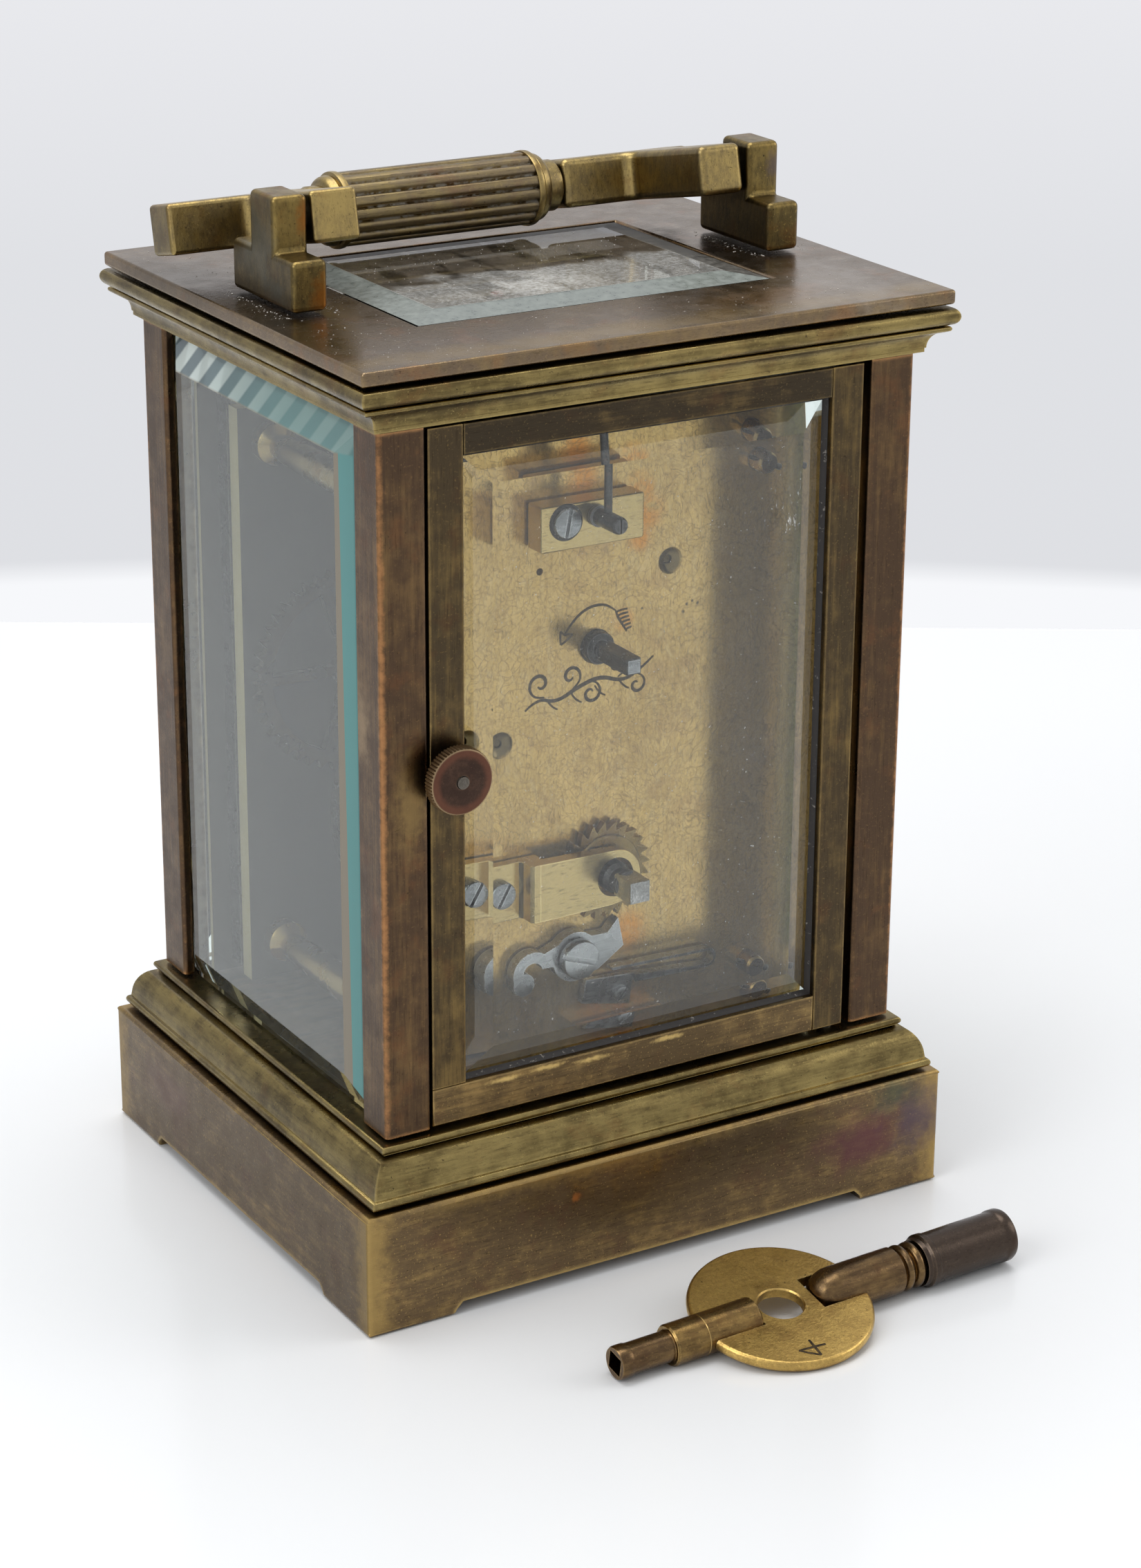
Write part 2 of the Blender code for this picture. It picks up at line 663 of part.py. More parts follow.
def bevelled_glass(half_u, half_v, bevel, lap, rim, thickness):
    """Rings of a glass panel with its flat back at 0, in (u, v, height)."""
    flat_u, flat_v = half_u - lap - bevel, half_v - lap - bevel
    levels = ((half_u, half_v, 0), (half_u, half_v, rim), (half_u - lap, half_v - lap, rim))
    levels += ((flat_u, flat_v, thickness),)
    return [[(su * u, sv * v, h) for su, sv in ((-1, -1), (1, -1), (1, 1), (-1, 1))] for u, v, h in levels]


def make_case_glasses():
    lap = GROOVE_DEPTH - GAP
    half_z = PILLAR_LENGTH / 2
    mid_z = PILLAR_BOTTOM + half_z
    rings = bevelled_glass(INNER_Y + lap, half_z, GLASS_BEVEL, lap, GLASS_RIM, GLASS_THICKNESS)
    for name, side in (("side_glass_left", 1), ("side_glass_right", -1)):
        inner = OUTER_X + GLASS_INNER
        points = [[(side * (inner + h), u, mid_z + v) for u, v, h in ring] for ring in rings]
        finish_mesh(name, loft(points), "glass")
    rings = bevelled_glass(INNER_X + lap, half_z, GLASS_BEVEL, lap, GLASS_RIM, GLASS_THICKNESS)
    inner = OUTER_Y + GLASS_INNER
    points = [[(u, -inner - h, mid_z + v) for u, v, h in ring] for ring in rings]
    finish_mesh("front_glass", loft(points), "glass")


def make_cornice():
    """Top moulding, with a ledge that carries the top glass."""
    cove_top = CORNICE_BOTTOM + COVE_HEIGHT
    fillet_top = cove_top + FILLET_HEIGHT
    bead = (CORNICE_TOP - fillet_top) / 2
    profile = [(CORNICE_FOOT_REACH, CORNICE_BOTTOM), (CORNICE_FOOT_REACH, CORNICE_BOTTOM + 0.4)]
    profile += hollow_curve((CORNICE_FOOT_REACH + 0.1, CORNICE_BOTTOM + 0.5), (CORNICE_COVE_REACH, cove_top), 4)[1:]
    profile += [(CORNICE_FILLET_REACH, cove_top + 0.05), (CORNICE_FILLET_REACH, fillet_top)]
    for angle in (-60, -30, 0, 30, 60):
        a = math.radians(angle)
        profile.append((CORNICE_REACH - bead * (1 - math.cos(a)), fillet_top + bead * (1 + math.sin(a))))
    profile.append((CORNICE_REACH - bead, CORNICE_TOP))
    outer = [[(sx * (OUTER_X + r), sy * (OUTER_Y + r), z) for sx, sy in ((-1, -1), (1, -1), (1, 1), (-1, 1))]
             for r, z in profile]
    hole_x, hole_y = TOP_OPENING_X / 2, TOP_OPENING_Y / 2
    seat_x, seat_y = hole_x + TOP_GLASS_LAP + GAP, hole_y + TOP_GLASS_LAP + GAP
    ledge = CORNICE_BOTTOM + LEDGE_THICKNESS
    inner = ((seat_x, seat_y, CORNICE_TOP), (seat_x, seat_y, ledge))
    inner += ((hole_x, hole_y, ledge), (hole_x, hole_y, CORNICE_BOTTOM))
    outer += [[(sx * x, sy * y, z) for sx, sy in ((-1, -1), (1, -1), (1, 1), (-1, 1))] for x, y, z in inner]
    cornice = finish_mesh("cornice", loft(outer, closed=True), "moulding brass")
    pivot_hole(cornice, CORNICE_BOTTOM - 1, CORNICE_BOTTOM + PIVOT_DEPTH, "cornice_pivot_hole")


def make_top():
    x, y = TOP_OPENING_X / 2, TOP_OPENING_Y / 2
    e = TOP_EDGE
    profile = [(TOP_WIDTH / 2 - e, TOP_DEPTH / 2 - e, TOP_PLATE_BOTTOM)]
    profile += [(TOP_WIDTH / 2, TOP_DEPTH / 2, TOP_PLATE_BOTTOM + e), (TOP_WIDTH / 2, TOP_DEPTH / 2, TOP_PLATE_TOP - e)]
    profile += [(TOP_WIDTH / 2 - e, TOP_DEPTH / 2 - e, TOP_PLATE_TOP), (x, y, TOP_PLATE_TOP), (x, y, TOP_PLATE_BOTTOM)]
    rings = [[(sx * a, sy * b, z) for sx, sy in ((-1, -1), (1, -1), (1, 1), (-1, 1))] for a, b, z in profile]
    finish_mesh("top_plate", loft(rings, closed=True), "top brass")
    lap = TOP_GLASS_LAP
    seat = CORNICE_BOTTOM + LEDGE_THICKNESS + GAP
    rim = CORNICE_TOP - seat
    glass = bevelled_glass(x + lap, y + lap, GLASS_BEVEL, lap + GAP, rim, TOP_PLATE_TOP - 0.2 - seat)
    points = [[(u, v, seat + h) for u, v, h in ring] for ring in glass]
    finish_mesh("top_glass", loft(points), "glass")


# Door


def make_door():
    glass_left, glass_right = DOOR_LEFT + DOOR_STILE, DOOR_RIGHT - DOOR_STILE
    glass_bottom, glass_top = DOOR_BOTTOM + DOOR_BOTTOM_RAIL, DOOR_TOP - DOOR_TOP_RAIL
    lip_y = OUTER_Y - DOOR_LIP
    e = DOOR_EDGE
    levels = [
        (DOOR_LEFT, DOOR_RIGHT, DOOR_BOTTOM, DOOR_TOP, DOOR_FRONT_Y),
        (DOOR_LEFT, DOOR_RIGHT, DOOR_BOTTOM, DOOR_TOP, OUTER_Y - e),
        (DOOR_LEFT + e, DOOR_RIGHT - e, DOOR_BOTTOM + e, DOOR_TOP - e, OUTER_Y),
        (glass_left, glass_right, glass_bottom, glass_top, OUTER_Y),
        (glass_left, glass_right, glass_bottom, glass_top, lip_y),
        (glass_left - DOOR_LAP, glass_right + DOOR_LAP, glass_bottom - DOOR_LAP, glass_top + DOOR_LAP, lip_y),
        (glass_left - DOOR_LAP, glass_right + DOOR_LAP, glass_bottom - DOOR_LAP, glass_top + DOOR_LAP, DOOR_FRONT_Y),
    ]
    rings = [[(x0 - HINGE_X, y - HINGE_Y, z0), (x1 - HINGE_X, y - HINGE_Y, z0),
              (x1 - HINGE_X, y - HINGE_Y, z1), (x0 - HINGE_X, y - HINGE_Y, z1)] for x0, x1, z0, z1, y in levels]
    door = finish_mesh("door_frame", loft(rings, closed=True), "case brass", (HINGE_X, HINGE_Y, 0))
    for name, low, high in (("door_hole_low", DOOR_BOTTOM - 1, DOOR_BOTTOM + PIVOT_DEPTH),
                            ("door_hole_high", DOOR_TOP - PIVOT_DEPTH, DOOR_TOP + 1)):
        pivot_hole(door, low, high, name)
    spindle_hole = turned([(SPINDLE_RADIUS + PLAY, DOOR_FRONT_Y - 1), (SPINDLE_RADIUS + PLAY, OUTER_Y + 1)], 12)
    combine(door, finish_mesh("spindle_hole", spindle_hole, None, (KNOB_X, 0, KNOB_HEIGHT)), "DIFFERENCE")

    half_u = (glass_right - glass_left) / 2 + DOOR_LAP - GAP
    half_v = (glass_top - glass_bottom) / 2 + DOOR_LAP - GAP
    mid_x, mid_z = (glass_left + glass_right) / 2 - HINGE_X, (glass_bottom + glass_top) / 2
    back = lip_y - GAP - DOOR_GLASS_RIM - HINGE_Y
    rings = bevelled_glass(half_u, half_v, DOOR_GLASS_BEVEL, DOOR_LAP, DOOR_GLASS_RIM, DOOR_GLASS_THICKNESS)
    points = [[(mid_x + u, back + h, mid_z + v) for u, v, h in ring] for ring in rings]
    finish_mesh("door_glass", loft(points), "glass", (HINGE_X, HINGE_Y, 0))

    reach = PIVOT_DEPTH - GAP
    for name, low, high in (("door_pivot_bottom", DECK_Z - reach, DOOR_BOTTOM + reach),
                            ("door_pivot_top", DOOR_TOP - reach, CORNICE_BOTTOM + reach)):
        pin = turned([(PIVOT_RADIUS, low), (PIVOT_RADIUS, high)], 12, "Z")
        finish_mesh(name, pin, "steel", (HINGE_X, HINGE_Y, 0))


def make_knob():
    """Reeded disc on a spindle that carries the catch behind the door."""
    face = OUTER_Y + KNOB_STANDOFF
    rear = face + KNOB_THICKNESS
    count = KNOB_REEDS * 2
    rings = []
    bore = SPINDLE_RADIUS + PLAY
    for radius, reed, y in ((bore, 0, OUTER_Y + GAP), (KNOB_HUB_RADIUS, 0, OUTER_Y + GAP),
                            (KNOB_HUB_RADIUS, 0, face - 0.3), (KNOB_RADIUS, KNOB_REED_DEPTH, face),
                            (KNOB_RADIUS, KNOB_REED_DEPTH, rear - 0.3), (KNOB_RADIUS - 0.4, 0, rear), (bore, 0, rear)):
        rings.append([((radius - reed * (i % 2)) * math.cos(TAU * i / count), y,
                       (radius - reed * (i % 2)) * math.sin(TAU * i / count)) for i in range(count)])
    finish_mesh("door_knob", loft(rings, closed=True), "knob copper", (KNOB_X, 0, KNOB_HEIGHT))
    catch_rear = DOOR_FRONT_Y - CATCH_GAP
    stations = [(SPINDLE_RADIUS, catch_rear - CATCH_THICKNESS / 2), (SPINDLE_RADIUS, rear), (SPINDLE_RADIUS - 0.4, rear + 0.3)]
    spindle = finish_mesh("knob_spindle", turned(stations, 12), "steel", (KNOB_X, 0, KNOB_HEIGHT))
    half = CATCH_WIDTH / 2
    outline = arc(0, 0, half, 0, 180, 7) + arc(0, half - CATCH_LENGTH, half, 180, 360, 7)
    catch = flat([outline], catch_rear - CATCH_THICKNESS, catch_rear)
    combine(spindle, finish_mesh("door_catch_shape", catch, None, (KNOB_X, 0, KNOB_HEIGHT)), "UNION")


# Handle


def make_handle_posts():
    foot, neck = POST_FOOT_DEPTH / 2, POST_NECK_DEPTH / 2
    bottom = TOP_PLATE_TOP + GAP
    step = TOP_PLATE_TOP + POST_FOOT_HEIGHT
    top = TOP_PLATE_TOP + POST_HEIGHT
    outline = [(-foot, bottom), (foot, bottom), (foot, step), (neck, step)]
    outline += [(neck, top), (-neck, top), (-neck, step), (-foot, step)]
    hole = circle(0, HANDLE_Z, HANDLE_PIN_RADIUS + PLAY, 12)
    for name, side in (("handle_post_left", 1), ("handle_post_right", -1)):
        inner, outer = side * POST_FACE_X, side * (POST_FACE_X + POST_WIDTH)
        post = finish_mesh(name, flat([outline], inner, outer, "X"), "handle brass")
        soften(post, POST_EDGE, 2)
        length = HANDLE_PIN_LENGTH / 2 + GAP
        drill = flat([hole], side * (POST_FACE_X - 1), side * (POST_FACE_X + length), "X")
        combine(post, finish_mesh(name + "_hole", drill, None), "DIFFERENCE")


def make_handle():
    """Two identical cranked arms, the reeded grip between them, and the pins that carry them."""
    axis = empty("handle_axis", (0, 0, HANDLE_Z), (math.radians(HANDLE_TILT), 0, 0))
    half = ARM_SIDE / 2
    bar_rear = ARM_REACH - half
    bar_front = bar_rear + BAR_DEPTH
    f = ARM_FILLET
    for name, side in (("handle_arm_left", 1), ("handle_arm_right", -1)):
        leg_low = ARM_FACE_X - ARM_SIDE if side > 0 else -ARM_FACE_X
        leg_high = leg_low + ARM_SIDE
        bar_inner = GRIP_OFFSET + side * BAR_SPACE / 2
        bar_low, bar_high = sorted((bar_inner, bar_inner + side * BAR_LENGTH))
        outline = [(leg_low, half), (leg_low, -bar_rear + f), (leg_low - f, -bar_rear), (bar_low, -bar_rear)]
        outline += [(bar_low, -bar_front), (bar_high, -bar_front), (bar_high, -bar_rear)]
        outline += [(leg_high + f, -bar_rear), (leg_high, -bar_rear + f), (leg_high, half)]
        arm = finish_mesh(name, flat([outline], -half, half, "Z"), "handle brass", parent=axis)
        soften(arm, ARM_EDGE, 2)
        hole = circle(0, 0, HANDLE_PIN_RADIUS + PLAY, 12)
        start = side * (ARM_FACE_X + 1)
        end = side * (ARM_FACE_X - HANDLE_PIN_LENGTH / 2 - GAP)
        drill = finish_mesh(name + "_hole", flat([hole], start, end, "X"), None, parent=axis)
        combine(arm, drill, "DIFFERENCE")
        middle = side * (POST_FACE_X + ARM_FACE_X) / 2
        reach = HANDLE_PIN_LENGTH / 2
        pin = turned([(HANDLE_PIN_RADIUS, middle - reach), (HANDLE_PIN_RADIUS, middle + reach)], 12, "X")
        pin_name = "handle_pin_left" if side > 0 else "handle_pin_right"
        finish_mesh(pin_name, pin, "steel", parent=axis)
    make_grip(axis, -(bar_rear + BAR_DEPTH / 2))


def make_grip(axis, y):
    """Reeded grip with stepped caps, turned along X."""
    fluted = GRIP_FLUTED / 2
    collar = fluted + GRIP_COLLAR
    cap = collar + GRIP_CAP
    end = BAR_SPACE / 2 - GAP
    count = GRIP_REEDS * 3
    right = [(GRIP_RADIUS, 1, fluted), (GRIP_RADIUS - 0.25, 0, fluted + 0.15), (GRIP_RADIUS - 0.2, 0, collar)]
    right += [(GRIP_NECK_RADIUS, 0, cap), (GRIP_NECK_RADIUS, 0, end)]
    stations = [(r, k, -h) for r, k, h in reversed(right)] + right
    rings = []
    for radius, reeded, h in stations:
        ring = []
        for i in range(count):
            angle = TAU * (i + (0, 0.35, -0.35)[i % 3]) / count
            depth = reeded * REED_DEPTH * (i % 3 == 0)
            ring.append((GRIP_OFFSET + h, y + (radius - depth) * math.cos(angle), (radius - depth) * math.sin(angle)))
        rings.append(ring)
    finish_mesh("handle_grip", loft(rings), "handle brass", parent=axis, smooth=50.0)


# Movement frame


def pillar_places():
    x = PLATE_WIDTH / 2 - PILLAR_INSET_X
    low, high = PLATE_BOTTOM + PILLAR_INSET_LOW, PLATE_TOP - PILLAR_INSET_HIGH
    return (("low_left", x, low), ("low_right", -x, low), ("high_left", x, high), ("high_right", -x, high))


def make_plates():
    half = PLATE_WIDTH / 2
    outline = rectangle(-half, half, PLATE_BOTTOM, PLATE_TOP)
    spigots = [circle(x, z, SPIGOT_RADIUS + PLAY, 12) for _, x, z in pillar_places()]
    pivot = TRAIN_PIVOT_RADIUS + PLAY
    places = ((SECOND_X, SECOND_Z), (THIRD_X, THIRD_Z), (CONTRATE_X, CONTRATE_Z))
    pivots = [circle(x, z, pivot, 8) for x, z in places]
    back = [outline] + spigots + pivots
    back += [circle(WINDING_X, WINDING_Z, WINDING_RADIUS + PLAY), circle(CENTRE_X, CENTRE_Z, SETTING_HUB_RADIUS + PLAY)]
    back += [circle(CLICK_X, CLICK_Z, CLICK_PIVOT_RADIUS + PLAY, 12)]
    front = [outline] + spigots + pivots
    front += [circle(WINDING_X, WINDING_Z, WINDING_NECK_RADIUS + PLAY, 12)]
    front += [circle(CENTRE_X, CENTRE_Z, CENTRE_ARBOR_RADIUS + PLAY, 12)]
    plate = finish_mesh("back_plate", flat(back, BACK_FRONT_Y, BACK_FACE_Y), "movement brass")
    plate = finish_mesh("front_plate", flat(front, FRONT_FACE_Y, FRONT_REAR_Y), "movement brass")
    stud = turned([(MINUTE_STUD_RADIUS, FRONT_FACE_Y - MOTION_SPACE + 0.6), (MINUTE_STUD_RADIUS, FRONT_REAR_Y - 1)], 12)
    combine(plate, finish_mesh("minute_stud_shape", stud, None, (MINUTE_WHEEL_X, 0, MINUTE_WHEEL_Z)), "UNION")


def make_movement_pillars():
    """Turned distance pillars between the plates, with spigots through both."""
    low, high = FRONT_REAR_Y + GAP, BACK_FRONT_Y - GAP
    length = high - low
    stations = [(SPIGOT_RADIUS, low - PLATE_THICKNESS), (SPIGOT_RADIUS, low), (TURNED_RADIUS, low)]
    stations += [(TURNED_RADIUS, low + 2.2), (TURNED_WAIST, low + 3.2), (TURNED_WAIST + 0.2, low + length * 0.3)]
    stations += [(TURNED_RADIUS - 0.4, low + length * 0.5), (TURNED_WAIST + 0.2, low + length * 0.7)]
    stations += [(TURNED_WAIST, high - 3.2), (TURNED_RADIUS, high - 2.2), (TURNED_RADIUS, high)]
    stations += [(SPIGOT_RADIUS, high), (SPIGOT_RADIUS, high + SPIGOT_LENGTH), (SPIGOT_RADIUS - 0.3, high + SPIGOT_LENGTH + 0.3)]
    for name, x, z in pillar_places():
        finish_mesh("movement_pillar_" + name, turned(stations, 12), "movement brass", (x, 0, z))


def make_movement_foot():
    """Block behind the back plate that holds the movement down on the deck."""
    x0, x1 = FOOT_BLOCK_X - FOOT_BLOCK_WIDTH / 2, FOOT_BLOCK_X + FOOT_BLOCK_WIDTH / 2
    y = BACK_FACE_Y + GAP
    z = DECK_Z + GAP
    block = finish_mesh("movement_foot", box(x0, x1, y, y + FOOT_BLOCK_DEPTH, z, z + FOOT_BLOCK_HEIGHT), "movement brass")
    soften(block, PLATE_EDGE)


# Train


def wheel_loops(teeth, module, phase):
    rim = module * teeth / 2 - 1.2 * module - WHEEL_RIM
    return [gear_loop(teeth, module, phase)] + spoke_windows(WHEEL_HUB, rim)


def direction(x0, z0, x1, z1):
    return math.atan2(z1 - z0, x1 - x0)


def make_arbor(name, x, z, wheel, wheel_y, pinion, pinion_y):
    """Arbor with its wheel and its pinion, all riveted together, turning in both plates."""
    r, p = ARBOR_RADIUS, TRAIN_PIVOT_RADIUS
    low, high = FRONT_REAR_Y + GAP, BACK_FRONT_Y - GAP
    reach = TRAIN_PIVOT_LENGTH
    arbor = turned([(p, low - reach), (p, low), (r, low), (r, high), (p, high), (p, high + reach)], 10)
    obj = finish_mesh(name, arbor, "movement brass", (x, 0, z))
    disc = finish_mesh(name + "_disc", wheel, None, (x, 0, z))
    combine(obj, disc, "UNION")
    leaves = finish_mesh(name + "_leaves", flat([pinion], pinion_y, pinion_y + PINION_LENGTH), None, (x, 0, z))
    combine(obj, leaves, "UNION")
    return obj


def make_train():
    great_phase = 0.0
    angle = direction(WINDING_X, WINDING_Z, SECOND_X, SECOND_Z)
    second_phase = mesh_phase(angle, GREAT_TEETH, great_phase, SECOND_PINION)
    make_barrel(great_phase)

    angle = direction(SECOND_X, SECOND_Z, CENTRE_X, CENTRE_Z)
    wheel = flat(wheel_loops(SECOND_TEETH, SECOND_MODULE, 0.0), SECOND_WHEEL_Y, SECOND_WHEEL_Y + WHEEL_THICKNESS)
    pinion = gear_loop(SECOND_PINION, GREAT_MODULE, second_phase)
    pinion_y = GREAT_Y - (PINION_LENGTH - GREAT_THICKNESS) / 2
    make_arbor("second_wheel", SECOND_X, SECOND_Z, wheel, SECOND_WHEEL_Y, pinion, pinion_y)
    make_centre_wheel(mesh_phase(angle, SECOND_TEETH, 0.0, CENTRE_PINION))

    angle = direction(CENTRE_X, CENTRE_Z, THIRD_X, THIRD_Z)
    wheel = flat(wheel_loops(THIRD_TEETH, THIRD_MODULE, 0.0), THIRD_WHEEL_Y, THIRD_WHEEL_Y + WHEEL_THICKNESS)
    pinion = gear_loop(THIRD_PINION, CENTRE_MODULE, mesh_phase(angle, CENTRE_TEETH, 0.0, THIRD_PINION))
    pinion_y = CENTRE_WHEEL_Y - (PINION_LENGTH - WHEEL_THICKNESS) / 2
    make_arbor("third_wheel", THIRD_X, THIRD_Z, wheel, THIRD_WHEEL_Y, pinion, pinion_y)

    angle = direction(THIRD_X, THIRD_Z, CONTRATE_X, CONTRATE_Z)
    pinion = gear_loop(CONTRATE_PINION, THIRD_MODULE, mesh_phase(angle, THIRD_TEETH, 0.0, CONTRATE_PINION))
    pinion_y = THIRD_WHEEL_Y - (PINION_LENGTH - WHEEL_THICKNESS) / 2
    make_arbor("contrate_wheel", CONTRATE_X, CONTRATE_Z, crown(), CROWN_DISC_Y, pinion, pinion_y)


def crown():
    """Contrate wheel: a cup whose rim is cut into pointed teeth."""
    count = CONTRATE_TEETH * 2
    floor = CROWN_DISC_Y + WHEEL_THICKNESS
    root = CROWN_TEETH_Y - CROWN_HEIGHT * 0.6
    rings = []
    for radius, low, high in ((CROWN_RADIUS, CROWN_DISC_Y, CROWN_DISC_Y), (CROWN_RADIUS, root, CROWN_TEETH_Y),
                              (CROWN_INNER, root, CROWN_TEETH_Y), (CROWN_INNER, floor, floor)):
        ring = []
        for i in range(count):
            a = TAU * (i + 0.5) / count
            ring.append((radius * math.cos(a), high if i % 2 else low, radius * math.sin(a)))
        rings.append(ring)
    return loft(rings)


def make_barrel(phase):
    """Going barrel: drum with the great wheel's teeth round its rear end, bored for the winding arbor."""
    bore = WINDING_RADIUS + PLAY
    low, high = BARREL_FRONT_Y, BARREL_REAR_Y
    stations = [(bore, low), (BARREL_RADIUS - 0.4, low), (BARREL_RADIUS, low + 0.4), (BARREL_RADIUS, GREAT_Y + 0.2)]
    stations += [(BARREL_RADIUS - 1.5, GREAT_Y + 0.2), (BARREL_RADIUS - 1.5, high), (bore, high)]
    place = (WINDING_X, 0, WINDING_Z)
    drum = finish_mesh("mainspring_barrel", turned(stations, 40, closed=True), "movement brass", place)
    teeth = [gear_loop(GREAT_TEETH, GREAT_MODULE, phase), circle(0, 0, BARREL_RADIUS - 3, 40)]
    combine(drum, finish_mesh("great_wheel_shape", flat(teeth, GREAT_Y, high), None, place), "UNION")


def make_centre_wheel(pinion_phase):
    """Centre wheel on a pipe with its pinion. It drives the centre arbor by friction."""
    bore = CENTRE_ARBOR_RADIUS + PLAY
    low, high = SECOND_WHEEL_Y - 0.6, BACK_FRONT_Y - GAP
    stations = [(bore, low), (CENTRE_PIPE_RADIUS, low), (CENTRE_PIPE_RADIUS, high), (bore, high)]
    place = (CENTRE_X, 0, CENTRE_Z)
    pipe = finish_mesh("centre_wheel", turned(stations, 12, closed=True), "movement brass", place)
    inner = circle(0, 0, (bore + CENTRE_PIPE_RADIUS) / 2, 12)
    wheel = wheel_loops(CENTRE_TEETH, CENTRE_MODULE, 0.0) + [inner]
    disc = flat(wheel, CENTRE_WHEEL_Y, CENTRE_WHEEL_Y + WHEEL_THICKNESS)
    combine(pipe, finish_mesh("centre_disc", disc, None, place), "UNION")
    leaves = flat([gear_loop(CENTRE_PINION, SECOND_MODULE, pinion_phase), inner], low, low + PINION_LENGTH)
    combine(pipe, finish_mesh("centre_leaves", leaves, None, place), "UNION")


# Winding work on the back plate


def square_arbor(stations, place, name, finish):
    """Arbor from (half size, y, is square) stations."""
    rings = []
    for size, y, is_square in stations:
        ring = square_ring(2 * size) if is_square else circle(0, 0, size)
        rings.append([(u, y, v) for u, v in ring])
    return finish_mesh(name, loft(rings), finish, place)


def make_winding_arbor():
    half = WINDING_SQUARE / 2
    tip = WINDING_TIP_Y
    front = FRONT_FACE_Y + GAP
    stations = [(WINDING_NECK_RADIUS, front, False), (WINDING_NECK_RADIUS, FRONT_REAR_Y + GAP, False)]
    stations += [(WINDING_RADIUS, FRONT_REAR_Y + GAP, False), (WINDING_RADIUS, COCK_FACE_Y + 0.4, False)]
    stations += [(half * 1.2, COCK_FACE_Y + 1.2, False), (half, tip - SQUARE_LENGTH, True)]
    stations += [(half, tip - 0.3, True), (half - 0.25, tip, True)]
    square_arbor(stations, (WINDING_X, 0, WINDING_Z), "winding_arbor", "steel")


def make_ratchet():
    """Saw-toothed ratchet wheel. Its teeth rise with the angle and drop at their steep side."""
    points = []
    for i in range(RATCHET_TEETH):
        step = TAU / RATCHET_TEETH
        for share, radius in ((0.06, RATCHET_ROOT), (0.88, RATCHET_TIP), (0.96, RATCHET_TIP)):
            angle = (i + share) * step
            points.append((radius * math.cos(angle), radius * math.sin(angle)))
    low = BACK_FACE_Y + GAP
    high = low + RATCHET_THICKNESS
    bore = circle(0, 0, WINDING_RADIUS + PLAY)
    place = (WINDING_X, 0, WINDING_Z)
    wheel = finish_mesh("ratchet_wheel", flat([points, bore], low, high), "movement brass", place)
    boss = flat([circle(0, 0, RATCHET_BOSS_RADIUS, 28), bore], high - 0.2, high + RATCHET_BOSS)
    combine(wheel, finish_mesh("ratchet_boss_shape", boss, None, place), "UNION")


def make_winding_cock():
    """Cock over the ratchet wheel: round bearing end, arm, and a step down to its foot."""
    half = COCK_HEIGHT / 2
    x, z = WINDING_X, WINDING_Z
    arm_rear = COCK_FACE_Y - COCK_THICKNESS
    outline = arc(x, z, COCK_HUB_RADIUS, 90, 270, 12) + [(COCK_STEP_X, z - half), (COCK_STEP_X, z + half)]
    bore = circle(x, z, COCK_BORE)
    cock = finish_mesh("winding_cock", flat([outline, bore], arm_rear, COCK_FACE_Y), "movement brass")
    low = BACK_FACE_Y + GAP
    foot_end = COCK_STEP_X + COCK_FOOT_LENGTH
    profile = [(COCK_STEP_X - COCK_STEP_WIDTH, low), (foot_end, low), (foot_end, low + COCK_FOOT_THICKNESS)]
    profile += [(COCK_STEP_X, low + COCK_FOOT_THICKNESS), (COCK_STEP_X, COCK_FACE_Y)]
    profile += [(COCK_STEP_X - COCK_STEP_WIDTH, COCK_FACE_Y)]
    foot = flat([profile], z - half, z + half, "Z")
    combine(cock, finish_mesh("cock_foot_shape", foot, None), "UNION")


def make_click():
    """Click with a beak under the ratchet wheel, a round hub and a tail curled into a scroll."""
    out = RATCHET_TIP + BEAK_CLEARANCE
    tip_angle = math.radians(256.4)
    tip = (WINDING_X - CLICK_X + out * math.cos(tip_angle), WINDING_Z - CLICK_Z + out * math.sin(tip_angle))
    tail_x, tail_z, tail_out, tail_in = 6.2, -1.0, 2.85, 1.4
    end_x, end_z, end_radius = 7.5, -2.3, 1.5
    outline = [tip, (-4.6, 2.3), (-2.3, 2.35)]
    outline += arc(0, 0, CLICK_HUB_RADIUS, 115, 40, 6)
    outline += arc(tail_x, tail_z, tail_out, 125, -15, 8)
    outline += arc(end_x, end_z, end_radius, 5, -273, 12)
    outline += arc(tail_x, tail_z, tail_in, 8, 165, 6)
    outline += arc(0, 0, CLICK_HUB_RADIUS, -12, -115, 7)
    outline += [(-3.4, -2.3), (-7.0, 0.1)]
    low = BACK_FACE_Y + GAP
    hole = circle(0, 0, CLICK_PIVOT_RADIUS + PLAY, 12)
    place = (CLICK_X, 0, CLICK_Z)
    click = flat([outline, hole], low, low + CLICK_THICKNESS)
    finish_mesh("click", click, "steel", place)
    head = low + CLICK_THICKNESS + GAP
    top = head + CLICK_SCREW_HEAD
    stations = [(CLICK_PIVOT_RADIUS, BACK_FRONT_Y + GAP), (CLICK_PIVOT_RADIUS, head), (CLICK_SCREW_RADIUS, head)]
    stations += [(CLICK_SCREW_RADIUS, top - 0.3), (CLICK_SCREW_RADIUS - 0.4, top)]
    screw = finish_mesh("click_screw", turned(stations, 20), "steel", place)
    reach, half = CLICK_SCREW_RADIUS + 1, SLOT_WIDTH / 2
    slot = rectangle(-reach, reach, -half, half)
    cutter = finish_mesh("click_screw_slot", flat([slot], top - SLOT_DEPTH, top + 1), None, place)
    cutter.rotation_euler = (0, math.radians(-20), 0)
    combine(screw, cutter, "DIFFERENCE")


